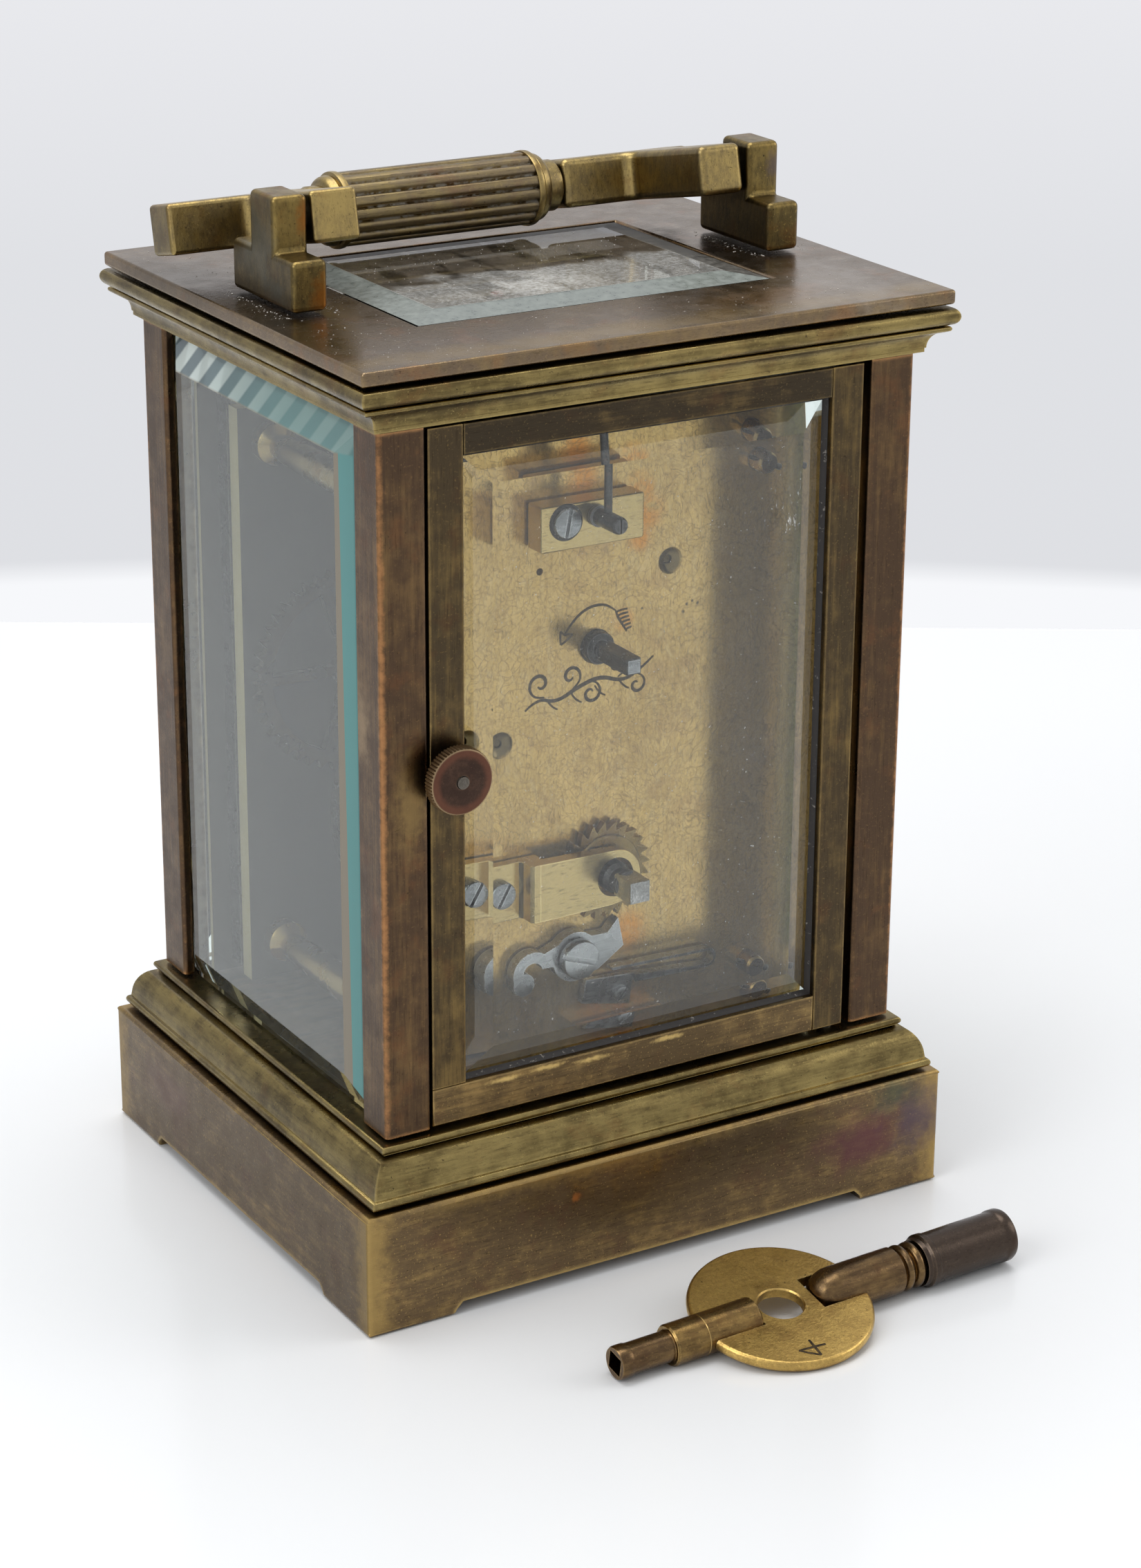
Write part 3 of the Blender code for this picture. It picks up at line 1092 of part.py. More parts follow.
def make_click_spring():
    """Hairpin strip bent back on itself, with a flat foot screwed to the plate."""
    low = BACK_FACE_Y + GAP + 0.2
    t = SPRING_STRIP / 2
    bend = SPRING_BEND_RADIUS
    start = (CLICK_X - 5.4, CLICK_Z - 2.9)
    foot = (CLICK_X - 8.9, CLICK_Z - 4.6)
    outer = [(start[0], start[1] + t)] + arc(SPRING_REACH_X, SPRING_BEND_Z, bend + t, 85, 275, 9)
    outer += [(foot[0], foot[1] - t - 0.6)]
    inner = [(foot[0], foot[1] + t)] + arc(SPRING_REACH_X, SPRING_BEND_Z, bend - t, 275, 85, 9)
    inner += [(start[0], start[1] - t)]
    strip = flat([outer + inner], low, low + SPRING_DEPTH)
    spring = finish_mesh("click_spring", strip, "steel")
    plate = [(foot[0] - 0.2, foot[1] + 0.2), (CLICK_X - 1.9, CLICK_Z - 3.9), (CLICK_X - 1.2, CLICK_Z - 7.0)]
    plate += [(CLICK_X - 8.4, CLICK_Z - 8.6), (foot[0] + 0.2, foot[1] - 1.2)]
    base = flat([plate], BACK_FACE_Y + GAP, BACK_FACE_Y + GAP + SPRING_FOOT_THICKNESS)
    combine(spring, finish_mesh("spring_foot_shape", base, None), "UNION")


# Motion work, dial and hands


def make_centre_arbor():
    """Centre arbor from the setting square at the back, through both plates, to the minute hand's seat."""
    half = SETTING_SQUARE / 2
    a = CENTRE_ARBOR_RADIUS
    stations = [(a * 0.7, MINUTE_HAND_Y - 0.6, False), (a * 0.8, MINUTE_HAND_Y - 0.5, False)]
    stations += [(a * 0.8, MINUTE_HAND_Y + HAND_THICKNESS + GAP, False), (a, MINUTE_HAND_Y + HAND_THICKNESS + GAP, False)]
    stations += [(a, BACK_FRONT_Y, False), (SETTING_HUB_RADIUS, BACK_FRONT_Y, False)]
    stations += [(SETTING_HUB_RADIUS, SETTING_HUB_Y, False), (half * 1.15, SETTING_HUB_Y, False)]
    stations += [(half, SETTING_HUB_Y + 0.8, True), (half, SETTING_TIP_Y - 0.3, True), (half - 0.25, SETTING_TIP_Y, True)]
    place = (CENTRE_X, 0, CENTRE_Z)
    arbor = square_arbor(stations, place, "centre_arbor", "steel")
    cannon_y = FRONT_FACE_Y - GAP - MOTION_THICKNESS
    cannon = flat([gear_loop(CANNON_TEETH, MOTION_MODULE, 0.0)], cannon_y, cannon_y + MOTION_THICKNESS)
    combine(arbor, finish_mesh("cannon_pinion_shape", cannon, None, place), "UNION")


def make_motion_work():
    cannon_y = FRONT_FACE_Y - GAP - MOTION_THICKNESS
    bore = circle(0, 0, MINUTE_STUD_RADIUS + PLAY, 12)
    phase = mesh_phase(MINUTE_ANGLE, CANNON_TEETH, 0.0, MINUTE_TEETH)
    loops = [gear_loop(MINUTE_TEETH, MOTION_MODULE, phase), bore]
    place = (MINUTE_WHEEL_X, 0, MINUTE_WHEEL_Z)
    wheel = finish_mesh("minute_wheel", flat(loops, cannon_y, cannon_y + MOTION_THICKNESS), "movement brass", place)
    pinion_y = cannon_y - GAP - MOTION_THICKNESS
    leaves = [gear_loop(MINUTE_PINION, HOUR_MODULE, 0.0), circle(0, 0, MINUTE_STUD_RADIUS + 2 * PLAY, 12)]
    pinion = finish_mesh("minute_pinion_shape", flat(leaves, pinion_y, cannon_y + 0.1), None, place)
    combine(wheel, pinion, "UNION")

    phase = mesh_phase(MINUTE_ANGLE + math.pi, MINUTE_PINION, 0.0, HOUR_TEETH)
    clear = CENTRE_ARBOR_RADIUS + PLAY
    place = (CENTRE_X, 0, CENTRE_Z)
    front = HOUR_HAND_Y - 0.1
    stations = [(clear, front), (HOUR_PIPE_RADIUS, front), (HOUR_PIPE_RADIUS, pinion_y + 0.3), (clear, pinion_y + 0.3)]
    pipe = finish_mesh("hour_wheel", turned(stations, 12, closed=True), "movement brass", place)
    inner = circle(0, 0, (clear + HOUR_PIPE_RADIUS) / 2, 12)
    disc = flat([gear_loop(HOUR_TEETH, HOUR_MODULE, phase), inner], pinion_y, pinion_y + MOTION_THICKNESS)
    combine(pipe, finish_mesh("hour_wheel_shape", disc, None, place), "UNION")


def hand_outline(length, hub, width):
    """Spade hand: round hub, slim shaft, pierced-looking spade and a fine tip, pointing up."""
    shaft, wide = width / 2, width * 1.9
    neck, belly, waist = length * 0.52, length * 0.66, length * 0.80
    left = [(-shaft, hub), (-shaft * 0.8, neck), (-wide * 0.75, neck + 0.3), (-wide, belly), (-wide * 0.55, waist - 0.8)]
    left += [(-shaft * 0.8, waist), (-shaft * 0.5, length - 0.6)]
    right = [(-u, v) for u, v in reversed(left)]
    side = math.degrees(math.acos(shaft / hub))
    return left + [(0, length)] + right + arc(0, 0, hub, side, -180 - side, 14)


def make_hands():
    place = (CENTRE_X, 0, CENTRE_Z)
    for name, length, y, bore, turn in (
        ("hour_hand", HOUR_HAND_LENGTH, HOUR_HAND_Y, HOUR_PIPE_RADIUS, 305),
        ("minute_hand", MINUTE_HAND_LENGTH, MINUTE_HAND_Y, CENTRE_ARBOR_RADIUS, 60),
    ):
        hub = bore + 1.0
        outline = hand_outline(length, hub, 0.9)
        hand = flat([outline, circle(0, 0, bore + PLAY, 12)], y, y + HAND_THICKNESS)
        hand = finish_mesh(name, hand, "blued steel", place)
        hand.rotation_euler = (0, math.radians(turn), 0)


def make_dial():
    half = DIAL_WIDTH / 2
    outline = rectangle(-half, half, DIAL_BOTTOM, DIAL_TOP)
    hole = circle(CENTRE_X, CENTRE_Z, DIAL_HOLE_RADIUS)
    dial = finish_mesh("dial", flat([outline, hole], DIAL_FACE_Y, DIAL_REAR_Y), "enamel")
    foot_x, foot_low, foot_high = half - 4, DIAL_BOTTOM + 8, PLATE_TOP - 10
    for i, (x, z) in enumerate(((foot_x, foot_low), (-foot_x, foot_low), (foot_x, foot_high), (-foot_x, foot_high))):
        foot = turned([(DIAL_FOOT_RADIUS, DIAL_REAR_Y - 0.4), (DIAL_FOOT_RADIUS, FRONT_FACE_Y - GAP)], 12)
        combine(dial, finish_mesh(f"dial_foot_{i}", foot, None, (x, 0, z)), "UNION")


# Platform escapement


def make_platform():
    half = PLATFORM_WIDTH / 2
    outline = rectangle(CONTRATE_X - half, CONTRATE_X + half, FRONT_FACE_Y, BACK_FACE_Y)
    loops = [outline, circle(CONTRATE_X, ESCAPE_Y, ARBOR_RADIUS + PLAY + 0.3, 12)]
    loops += [circle(CONTRATE_X, BALANCE_Y, STAFF_RADIUS + PLAY, 8)]
    loops += [circle(CONTRATE_X, LEVER_Y, STAFF_RADIUS + PLAY, 8)]
    platform = finish_mesh("platform", flat(loops, PLATFORM_BOTTOM, PLATFORM_TOP, "Z"), "movement brass")
    soften(platform, PLATFORM_EDGE)


def make_escape_wheel():
    """Escape wheel over the platform. Its arbor drops through to the contrate teeth."""
    low = CONTRATE_Z + CROWN_RADIUS - 3.2
    wheel_z = PLATFORM_TOP + ESCAPE_LIFT
    place = (CONTRATE_X, ESCAPE_Y, 0)
    pinion = CROWN_RADIUS / CONTRATE_TEETH * ESCAPE_PINION
    stations = [(0.4, low - 0.8), (0.4, low), (pinion * 0.7, low), (pinion * 0.7, wheel_z + 0.2)]
    stations += [(0.4, wheel_z + 1.0), (0.4, wheel_z + 2.0)]
    arbor = finish_mesh("escape_wheel", turned(stations, 10, "Z"), "movement brass", place)
    leaves = gear_loop(ESCAPE_PINION, 2 * pinion / ESCAPE_PINION, math.pi / ESCAPE_PINION - math.pi / 2, 0.2, 0.7)
    high = CONTRATE_Z + CROWN_RADIUS + 0.5
    combine(arbor, finish_mesh("escape_leaves", flat([leaves], low, high, "Z"), None, place), "UNION")
    points = []
    for i in range(ESCAPE_TEETH):
        for share, radius in ((0.0, 0.72), (0.5, 1.0), (0.62, 0.98), (0.55, 0.75)):
            angle = TAU * (i + share) / ESCAPE_TEETH
            points.append((ESCAPE_RADIUS * radius * math.cos(angle), ESCAPE_RADIUS * radius * math.sin(angle)))
    loops = [points] + spoke_windows(1.1, ESCAPE_RADIUS * 0.55, 4, 0.6)
    disc = flat(loops, wheel_z, wheel_z + 0.5, "Z")
    combine(arbor, finish_mesh("escape_disc", disc, None, place), "UNION")


def make_lever():
    """Pallet lever between the escape wheel and the balance roller."""
    gap = ESCAPE_RADIUS + 0.4
    spread = math.radians(36)
    reach_x, reach_y = gap * math.sin(spread), ESCAPE_Y - gap * math.cos(spread) - LEVER_Y
    fork_y = BALANCE_Y - LEVER_Y + 1.5
    right = [(reach_x - 0.5, reach_y - 0.1), (reach_x, reach_y), (reach_x + 0.4, reach_y - 0.6), (1.0, -0.9)]
    right += [(0.35, -1.4), (0.3, fork_y + 1.2), (0.7, fork_y + 0.6), (0.7, fork_y), (0.35, fork_y), (0.35, fork_y + 0.6)]
    left = [(-u, v) for u, v in reversed(right)]
    outline = [(0, 0.9)] + right + left
    low = PLATFORM_TOP + LEVER_LIFT
    place = (CONTRATE_X, LEVER_Y, 0)
    lever = finish_mesh("pallet_lever", flat([outline], low, low + 0.5, "Z"), "steel", place)
    stations = [(STAFF_RADIUS, PLATFORM_BOTTOM), (STAFF_RADIUS, low + 1.2)]
    combine(lever, finish_mesh("lever_staff", turned(stations, 10, "Z"), None, place), "UNION")


def make_balance():
    low = PLATFORM_TOP + BALANCE_LIFT
    high = low + BALANCE_THICKNESS
    place = (CONTRATE_X, BALANCE_Y, 0)
    cock = high + COCK_CLEARANCE
    stations = [(STAFF_RADIUS, PLATFORM_BOTTOM), (STAFF_RADIUS, cock + 0.6)]
    staff = finish_mesh("balance_wheel", turned(stations, 10, "Z"), "movement brass", place)
    loops = [circle(0, 0, BALANCE_RADIUS, 36)] + spoke_windows(1.3, BALANCE_RADIUS - BALANCE_RIM, 2, 1.1)
    combine(staff, finish_mesh("balance_rim", flat(loops, low, high, "Z"), None, place), "UNION")

    half = PLATFORM_COCK_WIDTH / 2
    foot = CONTRATE_X - PLATFORM_WIDTH / 2 + 1.5
    wide = 3.2
    top = cock + PLATFORM_COCK_HEIGHT
    arm = [(foot, -half), (foot + wide, -half)] + arc(CONTRATE_X, 0, half * 0.8, -70, 70, 9) + [(foot + wide, half), (foot, half)]
    hole = circle(CONTRATE_X, 0, STAFF_RADIUS + PLAY, 8)
    obj = finish_mesh("balance_cock", flat([arm, hole], cock, top, "Z"), "movement brass", (0, BALANCE_Y, 0))
    leg = box(foot, foot + wide, -half, half, PLATFORM_TOP + GAP, top - 0.2)
    combine(obj, finish_mesh("balance_cock_leg", leg, None, (0, BALANCE_Y, 0)), "UNION")


def make_contrate_cock():
    """Block over the contrate arbor's rear pivot, with the stud that clamps the grey rod."""
    half_x, half_z = CONTRATE_COCK_WIDTH / 2, CONTRATE_COCK_HEIGHT / 2
    x, z = CONTRATE_COCK_X, CONTRATE_COCK_Z
    low = BACK_FACE_Y + GAP
    high = low + CONTRATE_COCK_DEPTH
    outline = rectangle(x - half_x, x + half_x, z - half_z, z + half_z)
    block = finish_mesh("contrate_cock", flat([outline], low, high), "movement brass")
    soften(block, PLATE_EDGE)
    stations = [(STUD_RADIUS, high + GAP), (STUD_RADIUS, high + STUD_LENGTH - 0.3), (STUD_RADIUS - 0.3, high + STUD_LENGTH)]
    stud = finish_mesh("regulator_rod", turned(stations, 12), "steel", (STUD_X, 0, STUD_Z))
    rod = turned([(ROD_RADIUS, STUD_Z), (ROD_RADIUS, ROD_TOP_Z)], 8, "Z")
    combine(stud, finish_mesh("rod_shape", rod, None, (STUD_X, high + GAP + STUD_LENGTH * 0.4, 0)), "UNION")


# Key


def make_key():
    """Double-ended winding key: flat bow and two barrels along local X, the big one at +X."""
    roll = math.radians(KEY_ROLL)
    centre_z = BOW_RADIUS * math.sin(roll) + BOW_THICKNESS / 2 * math.cos(roll) + KEY_LIFT
    slope = math.asin((BIG_BARREL_RADIUS + KEY_LIFT - centre_z) / BIG_BARREL_END)
    axis = empty("key_axis", (KEY_X, KEY_Y, centre_z), (roll, -slope, math.radians(KEY_YAW)))

    half = BOW_THICKNESS / 2
    e = BOW_EDGE
    stations = [(BOW_HOLE_RADIUS, -half), (BOW_RADIUS - e, -half), (BOW_RADIUS, e - half), (BOW_RADIUS, half - e)]
    stations += [(BOW_RADIUS - e, half), (BOW_HOLE_RADIUS, half)]
    bow = finish_mesh("key_bow", turned(stations, 40, "Z", closed=True), "key brass", parent=axis)
    slots = ((BIG_SLEEVE_START - GAP, BIG_SLEEVE_END, BIG_SLEEVE_RADIUS),
             (-SMALL_SLEEVE_END, GAP - SMALL_SLEEVE_START, SMALL_SLEEVE_RADIUS))
    for i, (low, high, radius) in enumerate(slots):
        slot = turned([(radius + GAP, low), (radius + GAP, high)], 16, "X")
        combine(bow, finish_mesh(f"key_slot_{i}", slot, None, parent=axis), "DIFFERENCE")

    r, b = BIG_SLEEVE_RADIUS, BIG_BARREL_RADIUS
    start, end = BIG_SLEEVE_START, BIG_SLEEVE_END
    stations = [(r * 0.35, start), (r * 0.75, start + 0.8), (r * 0.95, start + 1.8), (r, start + 2.8), (r, end - 0.2)]
    stations += [(r - 0.2, end), (r - 0.6, end + 0.3), (r - 0.1, end + 0.9), (r - 0.1, end + 1.5), (r - 0.7, end + 2.0)]
    stations += [(r - 0.1, end + 2.5), (r - 0.1, end + 2.9), (r - 0.6, end + 3.2), (b - 0.3, BIG_BARREL_START)]
    stations += [(b, BIG_BARREL_START + 0.4), (b, BIG_BARREL_END - 0.3), (b - 0.3, BIG_BARREL_END)]
    big = finish_mesh("key_big_barrel", turned(stations, 18, "X"), "key dark", parent=axis)
    cut_socket(big, axis, WINDING_SQUARE, BIG_BARREL_END - SOCKET_DEPTH, BIG_BARREL_END + 1)

    r, b = SMALL_SLEEVE_RADIUS, SMALL_BARREL_RADIUS
    start, end = SMALL_SLEEVE_START, SMALL_SLEEVE_END
    stations = [(b - 0.2, SMALL_BARREL_END), (b, SMALL_BARREL_END - 0.2), (b, end), (r - 0.2, end), (r, end - 0.2)]
    stations += [(r, start + 0.2), (r - 0.2, start)]
    stations = [(radius, -h) for radius, h in stations]
    small = finish_mesh("key_small_barrel", turned(stations, 18, "X"), "key brass", parent=axis)
    cut_socket(small, axis, SMALL_SQUARE, -SMALL_BARREL_END - 1, SOCKET_DEPTH - SMALL_BARREL_END)


def cut_socket(barrel, axis, square, low, high):
    half = square / 2 + KEY_SQUARE_PLAY
    socket = flat([rectangle(-half, half, -half, half)], low, high, "X")
    combine(barrel, finish_mesh(barrel.name + "_socket", socket, None, parent=axis), "DIFFERENCE")


def build_clock():
    clear_scene()
    make_plinth()
    make_base_cover()
    make_base_moulding()
    for name, sx, sy in (("front_left", 1, -1), ("front_right", -1, -1), ("rear_left", 1, 1), ("rear_right", -1, 1)):
        make_pillar("pillar_" + name, sx, sy)
    make_case_glasses()
    make_cornice()
    make_top()
    make_door()
    make_knob()
    make_handle_posts()
    make_handle()
    make_plates()
    make_movement_pillars()
    make_movement_foot()
    make_train()
    make_winding_arbor()
    make_ratchet()
    make_winding_cock()
    make_click()
    make_click_spring()
    make_centre_arbor()
    make_motion_work()
    make_hands()
    make_dial()
    make_platform()
    make_escape_wheel()
    make_lever()
    make_balance()
    make_contrate_cock()
    make_key()


build_clock()
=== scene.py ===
"""Brass carriage clock seen from its glazed rear door, with its key lying on the table."""

import math
import random

import bmesh
import bpy
from mathutils import Euler, Matrix, Vector


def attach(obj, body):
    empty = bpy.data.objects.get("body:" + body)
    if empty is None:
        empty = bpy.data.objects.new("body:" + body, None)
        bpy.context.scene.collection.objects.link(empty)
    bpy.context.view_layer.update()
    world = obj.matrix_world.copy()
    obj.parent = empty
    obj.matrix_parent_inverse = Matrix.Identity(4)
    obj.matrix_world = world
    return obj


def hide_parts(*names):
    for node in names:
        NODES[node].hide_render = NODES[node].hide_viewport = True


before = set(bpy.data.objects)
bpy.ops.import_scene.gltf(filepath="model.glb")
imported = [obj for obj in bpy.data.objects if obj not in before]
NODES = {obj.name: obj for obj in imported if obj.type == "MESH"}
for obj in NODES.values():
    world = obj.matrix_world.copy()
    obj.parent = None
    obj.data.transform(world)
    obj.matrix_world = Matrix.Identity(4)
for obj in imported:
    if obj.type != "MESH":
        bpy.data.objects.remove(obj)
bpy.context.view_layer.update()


# ---- Camera -------------------------------------------------------------------------------------
# The photograph looks down on the rear door from its left. The lens is a short telephoto
# on a frame 36 mm high.
AIM = Vector((-0.00735, 0, 0.05031))
AZIMUTH = math.radians(149.03)
ELEVATION = math.radians(20.99)
ROLL = math.radians(0.37)
DISTANCE = 0.47814
back = Vector((math.sin(AZIMUTH) * math.cos(ELEVATION), -math.cos(AZIMUTH) * math.cos(ELEVATION),
    math.sin(ELEVATION)))
level = Vector((0, 0, 1)).cross(back).normalized()
upward = back.cross(level)
right = math.cos(ROLL) * level + math.sin(ROLL) * upward
above = math.cos(ROLL) * upward - math.sin(ROLL) * level
camera_data = bpy.data.cameras.new("photograph_view")
camera_data.sensor_fit = "VERTICAL"
camera_data.sensor_height = 36
camera_data.lens = 84.61
camera_data.clip_start = 0.01
camera = bpy.data.objects.new("photograph_view", camera_data)
camera.matrix_world = Matrix((right, above, back)).transposed().to_4x4()
camera.location = AIM + back * DISTANCE
bpy.context.scene.collection.objects.link(camera)
bpy.context.scene.camera = camera


# ---- Room ---------------------------------------------------------------------------------------
# A white glossy table that ends a hand's length behind the clock, a pale grey wall beyond it,
# and three large soft lamps.
def add_node(tree, kind, inputs=None, **settings):
    """Adds a shader node. Its inputs take values, or sockets to link."""
    made = tree.nodes.new("ShaderNode" + kind)
    for name, value in settings.items():
        setattr(made, name, value)
    for name, value in (inputs or {}).items():
        if isinstance(value, bpy.types.NodeSocket):
            tree.links.new(value, made.inputs[name])
        else:
            made.inputs[name].default_value = value
    return made


def calc(operation, *values):
    """Maths on sockets and numbers."""
    tree = next(value.id_data for value in values if isinstance(value, bpy.types.NodeSocket))
    return add_node(tree, "Math", dict(enumerate(values)), operation=operation).outputs[0]


def empty_material(name):
    material = bpy.data.materials.new(name)
    material.use_nodes = True
    material.node_tree.nodes.clear()
    return material, material.node_tree


MM = 0.001


def coat(tree, colour, rough, relief=None, deep=0.0, **more):
    """Closes a material: colour, dullness, a relief so many millimetres deep, and the rest."""
    if relief:
        bump = add_node(tree, "Bump", {"Height": relief, "Strength": 1.0, "Distance": deep * MM})
        more["Normal"] = bump.outputs[0]
    shader = add_node(tree, "BsdfPrincipled", {"Base Color": colour, "Roughness": rough, **more})
    add_node(tree, "OutputMaterial", {"Surface": shader.outputs[0]})


def finished_object(name, bm, material, smooth=35.0):
    mesh = bpy.data.meshes.new(name)
    bm.to_mesh(mesh)
    bm.free()
    mesh.materials.append(material)
    mesh.shade_smooth()
    mesh.set_sharp_from_angle(angle=math.radians(smooth))
    obj = bpy.data.objects.new(name, mesh)
    bpy.context.scene.collection.objects.link(obj)
    return obj


table_white, tree = empty_material("white_table")
coat(tree, (0.86, 0.865, 0.875, 1), 0.16, IOR=1.38)

TABLE_BEHIND = 0.2185
TABLE_REACH = 1.6
bm = bmesh.new()
bmesh.ops.create_grid(bm, x_segments=1, y_segments=1, size=TABLE_REACH)
flat_back = Vector((back.x, back.y, 0)).normalized()
bmesh.ops.transform(bm, verts=bm.verts, matrix=Matrix.Rotation(math.atan2(flat_back.y, flat_back.x), 3, "Z"))
bmesh.ops.translate(bm, verts=bm.verts, vec=flat_back * (TABLE_REACH - TABLE_BEHIND))
finished_object("table", bm, table_white)

world = bpy.data.worlds.new("pale_room")
bpy.context.scene.world = world
world.use_nodes = True
tree = world.node_tree
tree.nodes.clear()
ray = add_node(tree, "LightPath")
shown = calc("MAXIMUM", ray.outputs["Is Camera Ray"], ray.outputs["Is Glossy Ray"])
shown = calc("MAXIMUM", shown, ray.outputs["Is Transmission Ray"])
rise = add_node(tree, "SeparateXYZ", {0: add_node(tree, "TexCoord").outputs["Generated"]})
height = add_node(tree, "MapRange", {"Value": rise.outputs["Z"], "From Min": -0.312, "From Max": -0.15})
wall = add_node(tree, "ValToRGB", {0: height.outputs[0]})
ramp = wall.color_ramp
ramp.elements[0].position = 0.045
ramp.elements[0].color = (0.93, 0.94, 0.965, 1)
ramp.elements[1].position = 1.0
ramp.elements[1].color = (0.815, 0.82, 0.85, 1)
for position, colour in ((0.08, (0.735, 0.745, 0.775, 1)), (0.55, (0.745, 0.755, 0.785, 1))):
    ramp.elements.new(position).color = colour
wall_light = add_node(tree, "Background", {"Color": wall.outputs[0], "Strength": 1.0})
room_light = add_node(tree, "Background", {"Color": (0.96, 0.98, 1.0, 1), "Strength": 0.50})
room = add_node(tree, "MixShader", {0: shown, 1: room_light.outputs[0], 2: wall_light.outputs[0]})
add_node(tree, "OutputWorld", {"Surface": room.outputs[0]})


def soft_lamp(name, place, target, width, height, power, tint=(1, 1, 1)):
    data = bpy.data.lights.new(name, "AREA")
    data.shape = "RECTANGLE"
    data.size = width
    data.size_y = height
    data.energy = power
    data.color = tint
    lamp = bpy.data.objects.new(name, data)
    lamp.location = place
    lamp.rotation_euler = (Vector(target) - Vector(place)).to_track_quat("-Z", "Y").to_euler()
    bpy.context.scene.collection.objects.link(lamp)


soft_lamp("overhead_lamp", (0.04, -0.16, 0.95), (0, 0, 0.06), 0.9, 0.7, 6.3)
soft_lamp("window_lamp", (0.85, 0.20, 0.60), (0, 0, 0.06), 0.6, 0.6, 3.25, (0.97, 0.99, 1.0))
soft_lamp("fill_lamp", (-0.80, 0.40, 0.50), (0, 0, 0.06), 0.5, 0.5, 1.9, (1.0, 0.98, 0.95))


# ---- Plinth -------------------------------------------------------------------------------------
# Hollow cast base with a shallow notch under each side, so that it stands on its corners.
# The dark patina is rubbed through to gold on every edge.
def node_group(name, inputs, outputs):
    """A shader node group, with its input and output nodes."""
    group = bpy.data.node_groups.new(name, "ShaderNodeTree")
    for label, kind, value in inputs:
        socket = group.interface.new_socket(label, in_out="INPUT", socket_type="NodeSocket" + kind)
        socket.default_value = value
    for label, kind in outputs:
        group.interface.new_socket(label, in_out="OUTPUT", socket_type="NodeSocket" + kind)
    return group, group.nodes.new("NodeGroupInput").outputs, group.nodes.new("NodeGroupOutput")


def millimetres(tree, stretch=(1, 1, 1)):
    """Object coordinates in millimetres, stretched along the grain."""
    coordinates = add_node(tree, "TexCoord")
    scale = tuple(1000 * s for s in stretch)
    return add_node(tree, "Mapping", {"Vector": coordinates.outputs["Object"], "Scale": scale}).outputs[0]


def vector(operation, place, other=(0, 0, 0), output=0):
    """Vector maths on a socket."""
    return add_node(place.id_data, "VectorMath", {0: place, 1: other}, operation=operation).outputs[output]


def noise(place, scale, detail=3.0, rough=0.55, offset=0.0):
    settings = {"Vector": vector("ADD", place, (offset, 2 * offset, 3 * offset)), "Scale": scale,
        "Detail": detail, "Roughness": rough}
    return add_node(place.id_data, "TexNoise", settings).outputs["Fac"]


def ranged(value, low, high, to_low=0.0, to_high=1.0):
    """Eases a value from one range into another."""
    inputs = {"Value": value, "From Min": low, "From Max": high, "To Min": to_low, "To Max": to_high}
    return add_node(value.id_data, "MapRange", inputs, interpolation_type="SMOOTHSTEP").outputs[0]


def blended(mask, first, second):
    """The first colour where the mask is 0 and the second where it is 1."""
    return add_node(mask.id_data, "Mix", {0: mask, 6: first, 7: second}, data_type="RGBA").outputs[2]


def plus(first, second):
    return calc("ADD", first, second)


def minus(first, second):
    return calc("SUBTRACT", first, second)


def times(first, second):
    return calc("MULTIPLY", first, second)


def make_edge_wear():
    """Mask that is 1 on rubbed edges and 0 on open faces."""
    group, given, result = node_group(
        "edge_wear", [("Width", "Float", 0.0008), ("Raggedness", "Float", 0.5)], [("Mask", "Float")]
    )
    rounded = add_node(group, "Bevel", {"Radius": given["Width"]}, samples=6)
    true_normal = add_node(group, "NewGeometry")
    alike = vector("DOT_PRODUCT", rounded.outputs[0], true_normal.outputs["Normal"], "Value")
    ragged = noise(millimetres(group), 0.9, 4)
    ragged = times(minus(ragged, 0.5), given["Raggedness"])
    bend = plus(minus(1.0, alike), times(ragged, 0.25))
    group.links.new(ranged(bend, 0.03, 0.20), result.inputs["Mask"])


